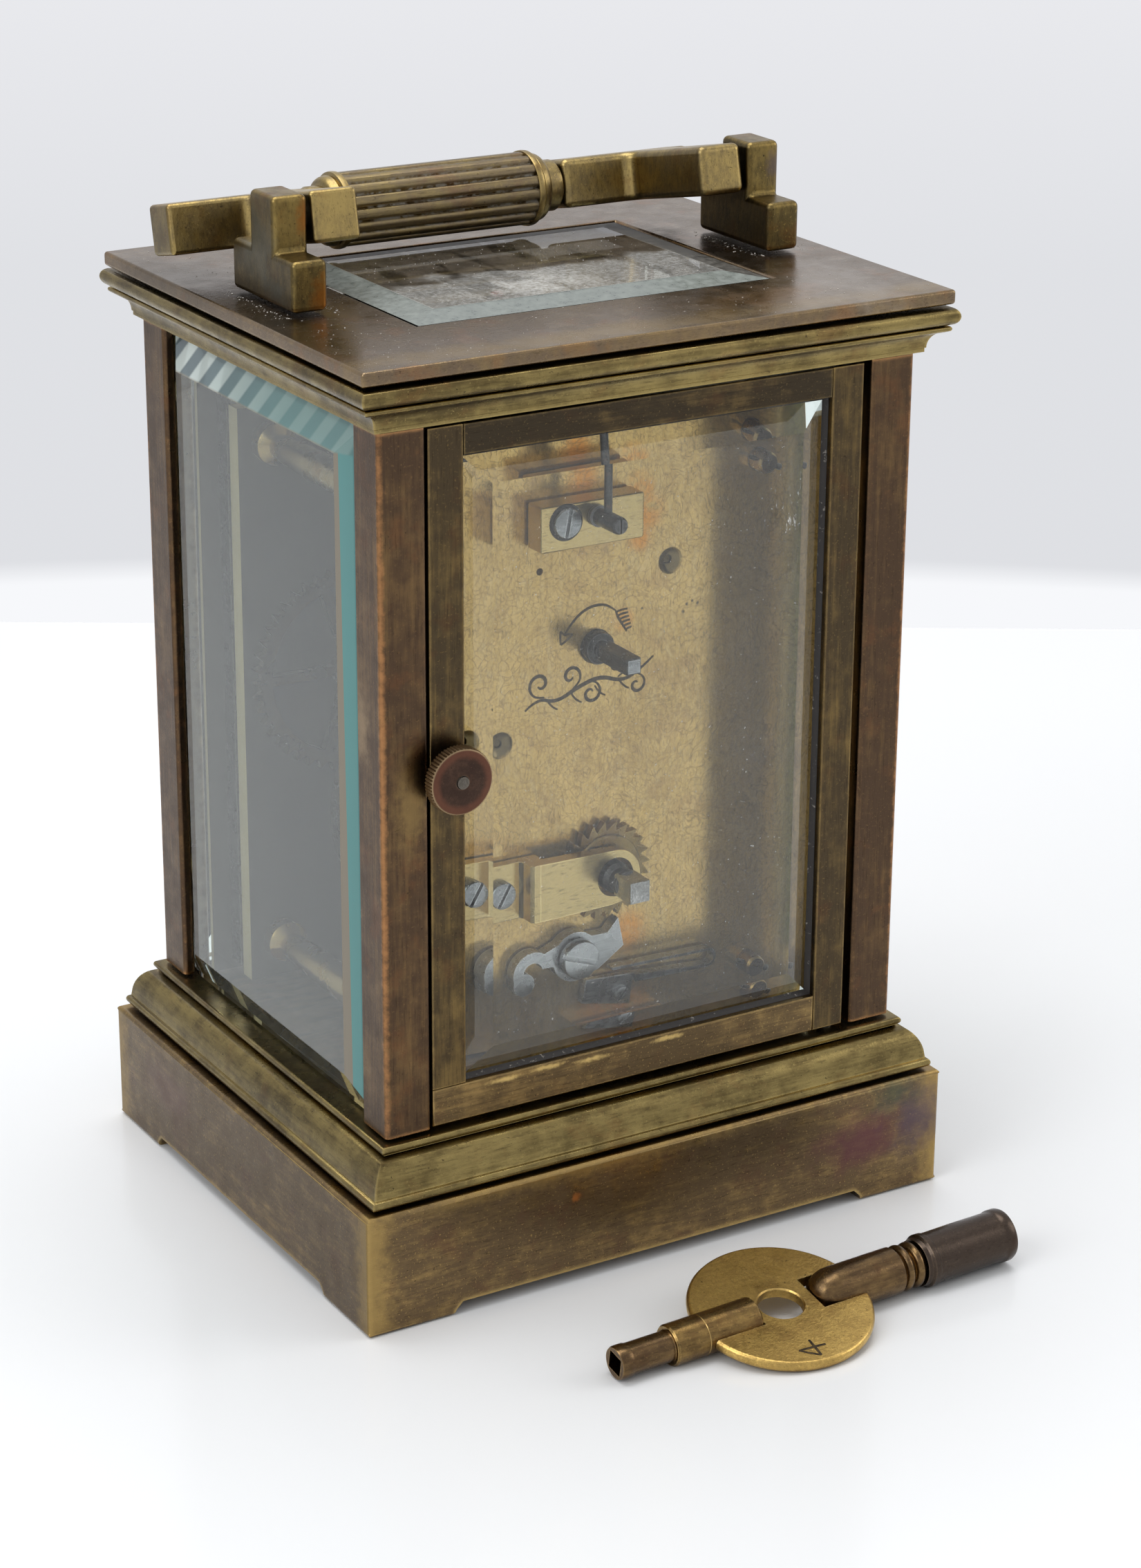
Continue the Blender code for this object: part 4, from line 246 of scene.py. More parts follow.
def make_aged_brass():
    """Patina over brass: clouded, streaked along the grain, specked, and rubbed clean at the edges."""
    colours = [("Clean", "Color", (0.4, 0.3, 0.1, 1)), ("Patina", "Color", (0.1, 0.07, 0.04, 1))]
    colours += [("Stain", "Color", (0.3, 0.12, 0.05, 1)), ("Edge", "Color", (0.5, 0.35, 0.12, 1))]
    values = [("Cover", "Float", 0.6), ("Stain Amount", "Float", 0.3), ("Edge Width", "Float", 0.0008)]
    values += [("Edge Amount", "Float", 0.8), ("Gloss", "Float", 0.35), ("Grain", "Vector", (1, 1, 0.08)),
        ("Speck", "Float", 0.5)]
    group, given, result = node_group("aged_brass", colours + values,
        [("Color", "Color"), ("Roughness", "Float"), ("Height", "Float")])
    place = millimetres(group)
    grain_place = vector("MULTIPLY", place, given["Grain"])
    cloud = noise(place, 0.055, 4, 0.6)
    blotch = noise(place, 0.33, 6, 0.62, 7.1)
    streak = noise(grain_place, 1.6, 4, 0.6, 3.3)
    fine = noise(place, 3.2, 3, 0.6, 1.7)
    mottled = plus(times(cloud, 0.35), times(blotch, 0.35))
    mottled = plus(mottled, times(streak, 0.30))
    threshold = minus(1.0, given["Cover"])
    shade = minus(mottled, threshold)
    cover = ranged(shade, -0.10, 0.13)
    colour = blended(cover, given["Clean"], given["Patina"])
    stain = ranged(noise(place, 0.16, 5, 0.65, 19.0), 0.52, 0.68)
    colour = blended(times(stain, given["Stain Amount"]), colour, given["Stain"])
    hairline = ranged(noise(grain_place, 5.5, 4, 0.65, 23.0), 0.53, 0.68)
    colour = blended(times(hairline, 0.38), colour, (0.022, 0.016, 0.011, 1))
    golden_speck = times(ranged(fine, 0.60, 0.68), given["Speck"])
    colour = blended(golden_speck, colour, given["Clean"])
    pit = times(ranged(noise(place, 1.9, 3, 0.6, 11.0), 0.66, 0.74), given["Speck"])
    colour = blended(pit, colour, (0.03, 0.022, 0.015, 1))
    wear = add_node(group, "Group", node_tree=bpy.data.node_groups["edge_wear"])
    group.links.new(given["Edge Width"], wear.inputs["Width"])
    wear.inputs["Raggedness"].default_value = 1.0
    rubbed = times(wear.outputs["Mask"], given["Edge Amount"])
    colour = blended(rubbed, colour, given["Edge"])
    group.links.new(colour, result.inputs["Color"])
    dull = plus(given["Gloss"], times(minus(blotch, 0.5), 0.35))
    dull = minus(dull, times(rubbed, 0.08))
    group.links.new(dull, result.inputs["Roughness"])
    relief = plus(times(streak, 0.5), times(fine, 0.5))
    group.links.new(relief, result.inputs["Height"])


make_edge_wear()
make_aged_brass()


def facing(tree, axis, low, high, amount=1.0):
    """Mask of the faces that look along an axis."""
    normal = add_node(tree, "SeparateXYZ", {0: add_node(tree, "TexCoord").outputs["Normal"]})
    return ranged(calc("ABSOLUTE", normal.outputs[axis]), low, high, 0.0, amount)


def brass_finish(name, clean, patina, stain, edge, cover=0.6, stains=0.3, width=0.8, edges=0.8, gloss=0.36,
        grain=(1, 1, 0.08), speck=0.5, bump=0.03, touches=(), finer=None, side=0.0, metal=1.0):
    """A brass with its own colours of metal, patina, stain and rubbed edge.

    It may have patches of tint, a function that works the colour further, and painted shade that darkens
    the faces looking along X.
    """
    material, tree = empty_material(name)
    surface = add_node(tree, "Group", node_tree=bpy.data.node_groups["aged_brass"])
    for label, value in (("Clean", clean), ("Patina", patina), ("Stain", stain), ("Edge", edge)):
        surface.inputs[label].default_value = (*value, 1)
    for label, value in (("Cover", cover), ("Stain Amount", stains), ("Edge Width", width * MM),
            ("Edge Amount", edges), ("Gloss", gloss), ("Grain", grain), ("Speck", speck)):
        surface.inputs[label].default_value = value
    colour = surface.outputs["Color"]
    for patch in touches:
        colour = tint_patch(colour, *patch)
    if finer:
        colour = finer(colour)
    # Painted shade: the faces that look along X are darkened by the amount of side, as if less light fell on
    # them.
    if side:
        colour = blended(facing(tree, "X", 0.6, 0.95, side), colour, (0.025, 0.022, 0.018, 1))
    metallic = metal(tree) if callable(metal) else metal
    coat(tree, colour, surface.outputs["Roughness"], surface.outputs["Height"], bump, Metallic=metallic)
    return material


def tint_patch(colour, centre, stretch, reach, tint, amount=1.0, scale=0.6):
    """Tints a ragged patch round a point. A small stretch lets the patch run further along that axis."""
    place = millimetres(colour.id_data)
    away = vector("LENGTH", vector("MULTIPLY", vector("SUBTRACT", place, centre), stretch), output="Value")
    ragged = times(minus(noise(place, scale, 5, 0.65, centre[0]), 0.5), reach * 1.6)
    mask = ranged(plus(away, ragged), reach * 1.1, reach * 0.1, 0.0, amount)
    return blended(mask, colour, (*tint, 1))


def round_edges(bm, width, segments=3, angle=40.0, chosen=lambda edge: True):
    """Rounds the edges that are sharper than the angle."""
    edges = [e for e in bm.edges if len(e.link_faces) == 2 and e.calc_face_angle(0) > math.radians(angle)
        and chosen(e)]
    bmesh.ops.bevel(bm, geom=edges, offset=width, offset_type="OFFSET", segments=segments, profile=0.5,
        affect="EDGES", clamp_overlap=True, material=-1)
    return bm


def part(name, bm, material, body, slot, *replaced, smooth=35.0):
    """A finished piece: what it rides on, its finish, and the CAD nodes it stands for."""
    obj = finished_object(name, bm, material, smooth)
    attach(obj, body)
    if replaced:
        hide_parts(*replaced)
    return obj


def keep_node(material, *names):
    """A CAD node that stays, with its own material."""
    for name in names:
        NODES[name].data.materials.clear()
        NODES[name].data.materials.append(material)


def cut(obj, bm):
    """Cuts a shape out of a piece for good."""
    tool = finished_object("cutting_tool", bm, obj.data.materials[0])
    modifier = obj.modifiers.new("cut", "BOOLEAN")
    modifier.operation = "DIFFERENCE"
    modifier.solver = "EXACT"
    modifier.object = tool
    bpy.context.view_layer.update()
    whole = obj.data
    obj.data = bpy.data.meshes.new_from_object(obj.evaluated_get(bpy.context.evaluated_depsgraph_get()))
    obj.data.name = whole.name
    obj.data.set_sharp_from_angle(angle=math.radians(35))
    obj.modifiers.clear()
    bpy.data.objects.remove(tool, do_unlink=True)
    return obj


def placed(bm, place=(0, 0, 0), frame_of=None):
    """Puts a shape made in millimetres in its place, in metres."""
    bmesh.ops.transform(bm, matrix=(frame_of or Matrix()) @ Matrix.Translation(place), verts=bm.verts)
    bmesh.ops.scale(bm, vec=(MM, MM, MM), verts=bm.verts)
    return bm


def block(low, high, edge=0.2, segments=3):
    """A rounded block between two corners, in millimetres."""
    bm = bmesh.new()
    bmesh.ops.create_cube(bm, size=1)
    bmesh.ops.scale(bm, vec=[b - a for a, b in zip(low, high)], verts=bm.verts)
    bmesh.ops.translate(bm, vec=[(a + b) / 2 for a, b in zip(low, high)], verts=bm.verts)
    if edge:
        round_edges(bm, edge, segments)
    return bm


def spun(bm, degrees, axis, verts=None):
    """Turns a shape, or only some of its vertices, about an axis."""
    turn = Matrix.Rotation(math.radians(degrees), 3, axis)
    bmesh.ops.rotate(bm, cent=(0, 0, 0), matrix=turn, verts=verts or bm.verts)


def only(items, kind):
    """The vertices, edges or faces among an operator's results."""
    return [item for item in items if isinstance(item, kind)]


def grow(bm, edges):
    """Extrudes a loop of edges, and gives the new vertices and edges."""
    grown = bmesh.ops.extrude_edge_only(bm, edges=edges)["geom"]
    verts = only(grown, bmesh.types.BMVert)
    return verts, [edge for edge in only(grown, bmesh.types.BMEdge) if set(edge.verts) <= set(verts)]


def run_round(profile, half_x, half_y):
    """Runs a closed profile of (reach, height) points round a rectangle, mitred at the corners."""
    bm = bmesh.new()
    here = profile[0]
    corners = [bm.verts.new((sx * (half_x + here[0]), sy * (half_y + here[0]), here[1]))
        for sx, sy in ((-1, -1), (1, -1), (1, 1), (-1, 1))]
    edges = first = [bm.edges.new((corners[i], corners[(i + 1) % 4])) for i in range(4)]
    for point in profile[1:]:
        verts, edges = grow(bm, edges)
        out, rise = point[0] - here[0], point[1] - here[1]
        for vert in verts:
            vert.co += Vector((out if vert.co.x > 0 else -out, out if vert.co.y > 0 else -out, rise))
        here = point
    bmesh.ops.bridge_loops(bm, edges=first + edges)
    bmesh.ops.recalc_face_normals(bm, faces=bm.faces)
    return bm


def curve_points(centre, radius, start, end, count, rise=None):
    """Points along an arc, angles in degrees. With a rise of its own it is part of an ellipse."""
    turns = [math.radians(start + (end - start) * i / count) for i in range(count + 1)]
    return [(centre[0] + radius * math.cos(a), centre[1] + (rise or radius) * math.sin(a)) for a in turns]


RUBBED_GOLD = (0.40, 0.27, 0.095)
plinth_touches = [((x, y, 8), (1, 1, 0.08), 4.2, RUBBED_GOLD, 0.75)
    for x, y in ((42, 35.9), (-42, 35.9), (42, -35.9), (-42, -35.9))]
plinth_touches += [
    ((10, 35.9, 16), (0.06, 1, 1), 2.2, RUBBED_GOLD, 0.6),
    ((-30, 35.9, 9), (0.5, 1, 1), 5.0, (0.13, 0.055, 0.06), 0.8, 0.3),
    ((-39, 35.9, 10), (0.8, 1, 0.8), 5.0, (0.10, 0.075, 0.10), 0.7, 0.3),
    ((-35, 35.9, 14), (0.6, 1, 1), 3.0, (0.06, 0.085, 0.06), 0.6, 0.3),
    ((42, -20, 10), (1, 0.5, 1), 5.0, (0.15, 0.08, 0.065), 0.6, 0.3),
    ((13.0, 35.9, 11.7), (1, 1, 1), 0.8, (0.48, 0.19, 0.06), 1.0, 1.5)]
plinth_brass = brass_finish("plinth_brass", (0.37, 0.245, 0.095), (0.150, 0.102, 0.055), (0.13, 0.058, 0.04),
    (0.58, 0.41, 0.155), cover=0.60, stains=0.35, width=1.3, edges=0.9, gloss=0.32, grain=(0.12, 0.12, 1.0),
    speck=0.9, touches=plinth_touches, side=0.3)
PLINTH_HALF_X, PLINTH_HALF_Y, PLINTH_HIGH = 42.0, 35.95, 16.0
PLINTH_WALL, PLINTH_ROUND = 5.0, 0.65
NOTCH_SPAN_X, NOTCH_SPAN_Y, NOTCH_HIGH = 29.0, 22.95, 1.7
profile = [(-PLINTH_WALL, 0)] + curve_points((-PLINTH_ROUND, PLINTH_ROUND), PLINTH_ROUND, -90, 0, 5)
profile += curve_points((-PLINTH_ROUND, PLINTH_HIGH - PLINTH_ROUND), PLINTH_ROUND, 0, 90, 5)
profile += [(-PLINTH_WALL, PLINTH_HIGH)]
bm = run_round(profile, PLINTH_HALF_X, PLINTH_HALF_Y)
round_edges(bm, 0.5, 4, 60, lambda e: abs(e.verts[0].co.z - e.verts[1].co.z) > 5
    and abs(e.verts[0].co.x) > PLINTH_HALF_X - 1)
plinth = part("plinth_casting", placed(bm), plinth_brass, "case", "case_brass", "plinth")


def outline(loops, low, high, axis="Y"):
    """Outlines in millimetres, the first outside and the rest holes, extruded along the axis."""
    turn = {"X": lambda u, v, h: (h, u, v), "Y": lambda u, v, h: (u, h, v),
        "Z": lambda u, v, h: (u, v, h)}[axis]
    bm = bmesh.new()
    edges = []
    for loop in loops:
        verts = [bm.verts.new(turn(u, v, low)) for u, v in loop]
        edges += [bm.edges.new(pair) for pair in zip(verts, verts[1:] + verts[:1])]
    filled = bmesh.ops.triangle_fill(bm, use_beauty=True, edges=edges)["geom"]
    faces = only(filled, bmesh.types.BMFace)
    raised = bmesh.ops.extrude_face_region(bm, geom=faces, use_keep_orig=True)["geom"]
    bmesh.ops.translate(bm, verts=only(raised, bmesh.types.BMVert), vec=turn(0, 0, high - low))
    bmesh.ops.recalc_face_normals(bm, faces=bm.faces)
    bmesh.ops.dissolve_limit(bm, angle_limit=math.radians(0.5), verts=bm.verts, edges=bm.edges)
    return bm


for span, reach, axis in ((NOTCH_SPAN_X, PLINTH_HALF_Y, "Y"), (NOTCH_SPAN_Y, PLINTH_HALF_X, "X")):
    notch = [(-span - 1.7, -1), (span + 1.7, -1), (span + 0.9, 0.8), (span, NOTCH_HIGH), (-span, NOTCH_HIGH),
        (-span - 0.9, 0.8)]
    cut(plinth, placed(outline([notch], -reach - 1, reach + 1, axis)))


# ---- Base cover ---------------------------------------------------------------------------------
# Thin sheet that closes the plinth from below, with the same dark finish. The CAD node
# has its shape.
keep_node(plinth_brass, "base_cover")


# ---- Base moulding ------------------------------------------------------------------------------
# Planed brass moulding, mitred at the corners: a rounded band at the foot, a hollow and a thin
# rounded fillet.
moulding_brass = brass_finish("moulding_brass", (0.27, 0.205, 0.078), (0.105, 0.077, 0.032),
    (0.19, 0.10, 0.038), (0.42, 0.32, 0.125), cover=0.50, stains=0.35, width=0.8, edges=0.85, gloss=0.29,
    grain=(0.1, 0.1, 1.0), speck=0.8, side=0.3)
HALF_X, HALF_Y = 36.8, 31.25
BASE_LOW, DECK, NECK = 16.3, 23.1, 0.3
profile = [(-3.9, DECK - 2.6), (-3.9, BASE_LOW), (3.6, BASE_LOW)]
profile += curve_points((3.45, BASE_LOW + 0.65), 0.65, -70, 80, 7)
profile += curve_points((0.3, BASE_LOW + 1.3), 3.2, 0, 90, 12, rise=4.2)[1:] + [(NECK + 0.5, DECK - 1.24)]
profile += curve_points((0.65, DECK - 0.62), 0.55, -80, 80, 7) + [(-3.9, DECK)]
moulding = part("base_moulding_run", placed(run_round(profile, HALF_X, HALF_Y)), moulding_brass, "case",
    "moulding_brass", "base_moulding")
cut(moulding, placed(outline([[(-2, -2), (2, -2), (2, 2), (-2, 2)]], DECK - 3.5, DECK + 1, "Z"), (0, -12, 0)))


# ---- Deck ---------------------------------------------------------------------------------------
# Flat top of the moulding, on which the pillars and the movement stand. It is one sheet of
# brass, gone brown.
deck_brass = brass_finish("deck_brass", (0.18, 0.13, 0.055), (0.07, 0.048, 0.024), (0.15, 0.06, 0.025),
    (0.25, 0.18, 0.07), cover=0.5, stains=0.5, gloss=0.42, grain=(0.15, 1, 1))
DECK_HALF_X, DECK_HALF_Y = 32.8, 27.25
part("deck_sheet", placed(block((-DECK_HALF_X, -DECK_HALF_Y, DECK - 2.5),
    (DECK_HALF_X, DECK_HALF_Y, DECK - 0.02), 0)), deck_brass, "case", "moulding_brass")


# ---- Pillars ------------------------------------------------------------------------------------
# Square drawn brass pillars, grooved for the glasses. Their outer corners are rubbed bright,
# and the rest has gone dark brown along the grain.
PILLAR_CORNERS = ((36.8, 31.2), (-36.8, 31.2), (36.8, -31.2), (-36.8, -31.2))
COPPER, PAINTED_LIGHT_BEIGE = (0.42, 0.205, 0.085), (0.50, 0.40, 0.27)
# Each pillar gets a copper line rubbed on its outer corner, and a beige band on its inner face beside the
# glass: painted light, where light through the glass falls.
pillar_touches = []
for x, y in PILLAR_CORNERS:
    pillar_touches += [((x, y, 67), (1, 1, 0.01), 0.75, COPPER, 0.85, 0.9),
        ((x * 0.87, math.copysign(25.05, y), 67), (1, 2, 0.01), 1.7, PAINTED_LIGHT_BEIGE, 0.9, 0.3)]
pillar_touches += [((36.8, 26.5, 75.0), (1, 1, 0.35), 2.2, (0.27, 0.19, 0.11), 0.9),
    ((33.0, 31.2, 66.0), (1, 1, 0.3), 2.6, (0.30, 0.20, 0.075), 0.5)]
pillar_brass = brass_finish("pillar_brass", (0.175, 0.108, 0.050), (0.082, 0.052, 0.033), (0.16, 0.075, 0.036),
    (0.46, 0.24, 0.10), cover=0.58, stains=0.45, width=0.9, edges=0.95, gloss=0.32, grain=(1, 1, 0.05),
    speck=0.6, touches=pillar_touches, side=0.1)
for name in ("pillar_front_left", "pillar_front_right", "pillar_rear_left", "pillar_rear_right"):
    bm = bmesh.new()
    bm.from_mesh(NODES[name].data)
    bmesh.ops.remove_doubles(bm, verts=bm.verts, dist=1e-6)
    bmesh.ops.dissolve_limit(bm, angle_limit=math.radians(1), verts=bm.verts, edges=bm.edges)
    round_edges(bm, 0.2 * MM, 3, 40, lambda e: e.calc_length() > 0.05)
    part(name + "_bar", bm, pillar_brass, "case", "case_brass", name)


# ---- Side and front glasses ---------------------------------------------------------------------
# Polished plate glass, faintly green, with a wide ground bevel on the outside. It sits in the
# pillars' grooves.
def glass_finish(name, body, haze=0.0, bend=1.5):
    """Glass that lets the lamps through, faintly smeared. Haze makes its smears dull."""
    material, tree = empty_material(name)
    cloud = noise(millimetres(tree), 0.09, 5, 0.65)
    smear = times(cloud, noise(millimetres(tree, (1, 1, 0.2)), 1.1, 4, 0.7, 5.0))
    tint = blended(ranged(smear, 0.15, 0.45), (*body, 1), (*(0.95 * c for c in body), 1))
    dull = ranged(smear, 0.22, 0.5, 0.0, haze) if haze else 0.0
    shader = add_node(tree, "BsdfPrincipled", {"Base Color": tint, "Roughness": dull, "IOR": bend,
        "Transmission Weight": 1.0})
    through = add_node(tree, "BsdfTransparent", {"Color": (*body, 1)})
    light_path = add_node(tree, "LightPath")
    mixed = add_node(tree, "MixShader", {0: light_path.outputs["Is Shadow Ray"], 1: shader.outputs[0],
        2: through.outputs[0]})
    add_node(tree, "OutputMaterial", {"Surface": mixed.outputs[0]})
    return material


def pane(name, node, half_u, half_v, rim, thick, bevel, lap, lay, flat_finish, near_bevel_finish, step=0.0,
        painted_shade_finish=None):
    """A glass with a flat face, a wide bevel and a seat. The near and upper bevels take the near bevel finish.

    The other bevels take the painted shade finish where one is given, and the flat finish where not.
    """
    bm = bmesh.new()
    bmesh.ops.create_cube(bm, size=1)
    bmesh.ops.scale(bm, vec=(2 * half_u, 2 * half_v, rim), verts=bm.verts)
    bmesh.ops.translate(bm, vec=(0, 0, rim / 2), verts=bm.verts)
    face = max(bm.faces, key=lambda f: f.calc_center_median().z)
    bmesh.ops.inset_region(bm, faces=[face], thickness=lap, use_even_offset=True)
    if step:
        bmesh.ops.inset_region(bm, faces=[face], thickness=0.03, use_even_offset=True)
        bmesh.ops.translate(bm, vec=(0, 0, step), verts=face.verts)
    slopes = bmesh.ops.inset_region(bm, faces=[face], thickness=bevel, use_even_offset=True)["faces"]
    bmesh.ops.translate(bm, vec=(0, 0, thick - rim - step), verts=face.verts)
    for slope in slopes:
        middle = slope.calc_center_median()
        slope.material_index = 1 if middle.x > 1 or middle.y > 1 else 2 if painted_shade_finish else 0
    bmesh.ops.transform(bm, matrix=lay, verts=bm.verts)
    bmesh.ops.recalc_face_normals(bm, faces=bm.faces)
    obj = part(name, placed(bm), flat_finish, "case", "glass", node, smooth=5)
    for finish in (near_bevel_finish, painted_shade_finish):
        if finish:
            obj.data.materials.append(finish)
    return obj


side_glass = glass_finish("side_glass", (0.90, 0.965, 0.94), bend=1.43)
# The side glasses' bevels take painted reflection: pale and deep teal bands slant across the upper bevel, and
# teal and beige strips run down the upright one, standing in for what the bevel reflects and refracts.
side_bevel_painted_reflection, tree = empty_material("side_bevel_painted_reflection")
spot = add_node(tree, "SeparateXYZ", {0: millimetres(tree)})
towards_rear = ranged(spot.outputs["Y"], -20.0, 10.0)
slanted = minus(times(spot.outputs["Y"], 1.17), times(spot.outputs["Z"], 0.64))
band = ranged(calc("SINE", plus(slanted, 72.59)), -0.35, 0.35)
pale_band = blended(towards_rear, (0.56, 0.63, 0.60, 1), (0.20, 0.33, 0.31, 1))
deep_band = blended(towards_rear, (0.11, 0.15, 0.165, 1), (0.11, 0.235, 0.23, 1))
upper = blended(band, pale_band, deep_band)
upright = blended(ranged(spot.outputs["Y"], 23.4, 23.7), (0.12, 0.31, 0.30, 1), (0.055, 0.19, 0.195, 1))
sloping = plus(spot.outputs["Y"], times(spot.outputs["Z"], 0.0075))
upright = blended(ranged(sloping, 22.38, 22.46), (0.27, 0.235, 0.18, 1), upright)
colour = blended(ranged(spot.outputs["Z"], 106.1, 106.5), upright, upper)
cloud = noise(millimetres(tree), 0.7, 4)
coat(tree, colour, ranged(cloud, 0.3, 0.7, 0.04, 0.12), IOR=1.5, **{"Transmission Weight": 0.15})
GLASS_HIGH, GLASS_MIDDLE, SIDE_BACK, FRONT_BACK = 43.7, 67.1, 33.4, 27.85
for name, side in (("left", 1), ("right", -1)):
    lay = Matrix(((0, 0, side, side * SIDE_BACK), (1, 0, 0, 0), (0, 1, 0, GLASS_MIDDLE), (0, 0, 0, 1)))
    pane("side_pane_" + name, "side_glass_" + name, 25.65, GLASS_HIGH, 1.7, 3.7, 4.0, 0.6, lay, side_glass,
        side_bevel_painted_reflection)
lay = Matrix(((1, 0, 0, 0), (0, 0, -1, -FRONT_BACK), (0, 1, 0, GLASS_MIDDLE), (0, 0, 0, 1)))
pane("front_pane", "front_glass", 31.2, GLASS_HIGH, 1.7, 3.7, 4.0, 0.6, lay, side_glass, side_glass)


# ---- Cornice ------------------------------------------------------------------------------------
# Top moulding with a cove, a thin fillet and a bold rounded bead. A ledge inside carries the
# top glass.
CORNICE_LOW, CORNICE_HIGH, LEDGE = 111.1, 116.85, 115.0
OPEN_X, OPEN_Y = 24.6, 18.4
profile = [(0.8, CORNICE_LOW), (0.8, CORNICE_LOW + 0.45), (0.95, CORNICE_LOW + 0.55)]
profile += curve_points((2.45, CORNICE_LOW + 0.55), 1.5, 180, 90, 10, rise=2.0)[1:]
profile += curve_points((2.78, CORNICE_LOW + 3.05), 0.34, -80, 80, 5) + [(2.35, CORNICE_LOW + 3.5)]
profile += curve_points((2.74, CORNICE_LOW + 4.62), 1.11, -88, 88, 12)
bm = run_round(profile + [(2.6, CORNICE_HIGH), (-10.0, CORNICE_HIGH), (-10.0, CORNICE_LOW)], HALF_X, HALF_Y)
part("cornice_run", placed(bm), moulding_brass, "case", "moulding_brass", "cornice")
part("cornice_ledge", placed(run_round([(0, CORNICE_LOW + 0.1), (3.2, CORNICE_LOW + 0.1), (3.2, LEDGE),
    (0, LEDGE)], OPEN_X, OPEN_Y)), moulding_brass, "case", "moulding_brass")


# ---- Top plate ----------------------------------------------------------------------------------
# Flat plate screwed over the cornice, open over the escapement. It is pinkish brown and dusty,
# with a rubbed coppery edge.
top_touches = [
    ((0, 31.5, 119), (0.05, 1, 1), 4.0, (0.30, 0.205, 0.085), 0.75, 0.25),
    ((-18, 26, 119), (0.5, 1, 1), 6.0, (0.36, 0.215, 0.10), 0.6, 0.2),
    ((37.5, 10, 119), (1, 0.12, 1), 3.0, (0.13, 0.095, 0.055), 0.6, 0.3),
    ((33, 3, 119), (1, 0.7, 1), 6.0, (0.40, 0.355, 0.30), 0.55, 0.5),
    ((-33, 3, 119), (1, 0.7, 1), 6.0, (0.40, 0.355, 0.30), 0.55, 0.5),
    # Painted shade: a dark patch under the outer end of the handle's left arm, for its shadow and reflection on
    # the plate.
    ((37, -15, 119), (1, 0.5, 1), 8.5, (0.085, 0.064, 0.042), 0.85, 0.2),
    ((-29, 22, 119), (1, 0.6, 1), 9.0, (0.37, 0.32, 0.265), 0.5, 0.3)]


def rectangle(left, right, low, high):
    return [(left, low), (right, low), (right, high), (left, high)]


top_brass = brass_finish("top_brass", (0.27, 0.195, 0.108), (0.170, 0.124, 0.083), (0.26, 0.13, 0.06),
    (0.50, 0.35, 0.15), cover=0.60, stains=0.5, width=0.8, edges=0.9, gloss=0.26, grain=(0.3, 1, 1), speck=0.6,
    touches=top_touches)
TOP_LOW, TOP_HIGH, TOP_HALF_X, TOP_HALF_Y = 117.15, 118.95, 40.25, 34.5
bm = outline([rectangle(-TOP_HALF_X, TOP_HALF_X, -TOP_HALF_Y, TOP_HALF_Y),
    rectangle(-OPEN_X, OPEN_X, -OPEN_Y, OPEN_Y)], TOP_LOW, TOP_HIGH, "Z")
round_edges(bm, 0.42, 4)
part("top_plate_sheet", placed(bm), top_brass, "case", "top_brass", "top_plate")


# ---- Top glass ----------------------------------------------------------------------------------
# Plate glass with a ground bevel, let into the top plate on the cornice's ledge. Its step stands
# a little proud, and it is the dustiest of the glasses.
top_glass = glass_finish("top_glass", (0.55, 0.54, 0.50), 0.06)


def clouded(name, scale, dark, pale, dull_low, dull_high, detail=4, rough=0.55, **more):
    """A finish that drifts between two colours and between two degrees of dullness."""
    material, tree = empty_material(name)
    cloud = noise(millimetres(tree), scale, detail, rough)
    colour = blended(ranged(cloud, 0.35, 0.65), (*dark, 1), (*pale, 1))
    coat(tree, colour, ranged(cloud, 0.3, 0.7, dull_low, dull_high), **more)
    return material


frosted_bevel = clouded("frosted_bevel", 0.9, (0.19, 0.215, 0.20), (0.30, 0.33, 0.305), 0.25, 0.45, 6, 0.75,
    IOR=1.5, **{"Transmission Weight": 0.25})
# The far bevels of the top glass are a dark opaque sheet, standing in for shade: painted shade.
far_bevel_painted_shade = clouded("far_bevel_painted_shade", 0.9, (0.035, 0.033, 0.028), (0.12, 0.113, 0.10), 0.4, 0.6, 6, 0.75,
    IOR=1.2)
TOP_SEAT, TOP_PANE, TOP_STEP = 115.3, 4.15, 1.95
pane("top_pane", "top_glass", 26.5, 20.3, 1.55, TOP_PANE, 4.3, 2.2, Matrix.Translation((0, 0, TOP_SEAT)),
    top_glass, frosted_bevel, TOP_STEP, far_bevel_painted_shade)

# A film over the top glass: a veil of dust, a thicker patch round one point and wiped streaks. Over the near
# half it is thicker and greyer, which is painted reflection of the wall; over the far half it is browner.
dust_and_reflection_film, tree = empty_material("dust_and_reflection_film")
place = millimetres(tree)
middle = vector("DISTANCE", place, (4.0, 9.0, 118.8), "Value")
patch = times(ranged(middle, 12.0, 3.0), ranged(noise(place, 0.12, 6, 0.7, 3.0), 0.42, 0.62))
veil = ranged(noise(place, 0.35, 6, 0.7), 0.35, 0.75, 0.12, 0.24)
wiped = ranged(noise(millimetres(tree, (1, 0.3, 1)), 0.22, 4, 0.6, 12.0), 0.52, 0.60)
cover = times(plus(veil, times(patch, 0.3)), minus(1.0, times(wiped, 0.7)))
tone = blended(ranged(noise(place, 1.6, 5, 0.7), 0.35, 0.65), (0.36, 0.34, 0.30, 1), (0.66, 0.65, 0.62, 1))
spot = add_node(tree, "SeparateXYZ", {0: place})
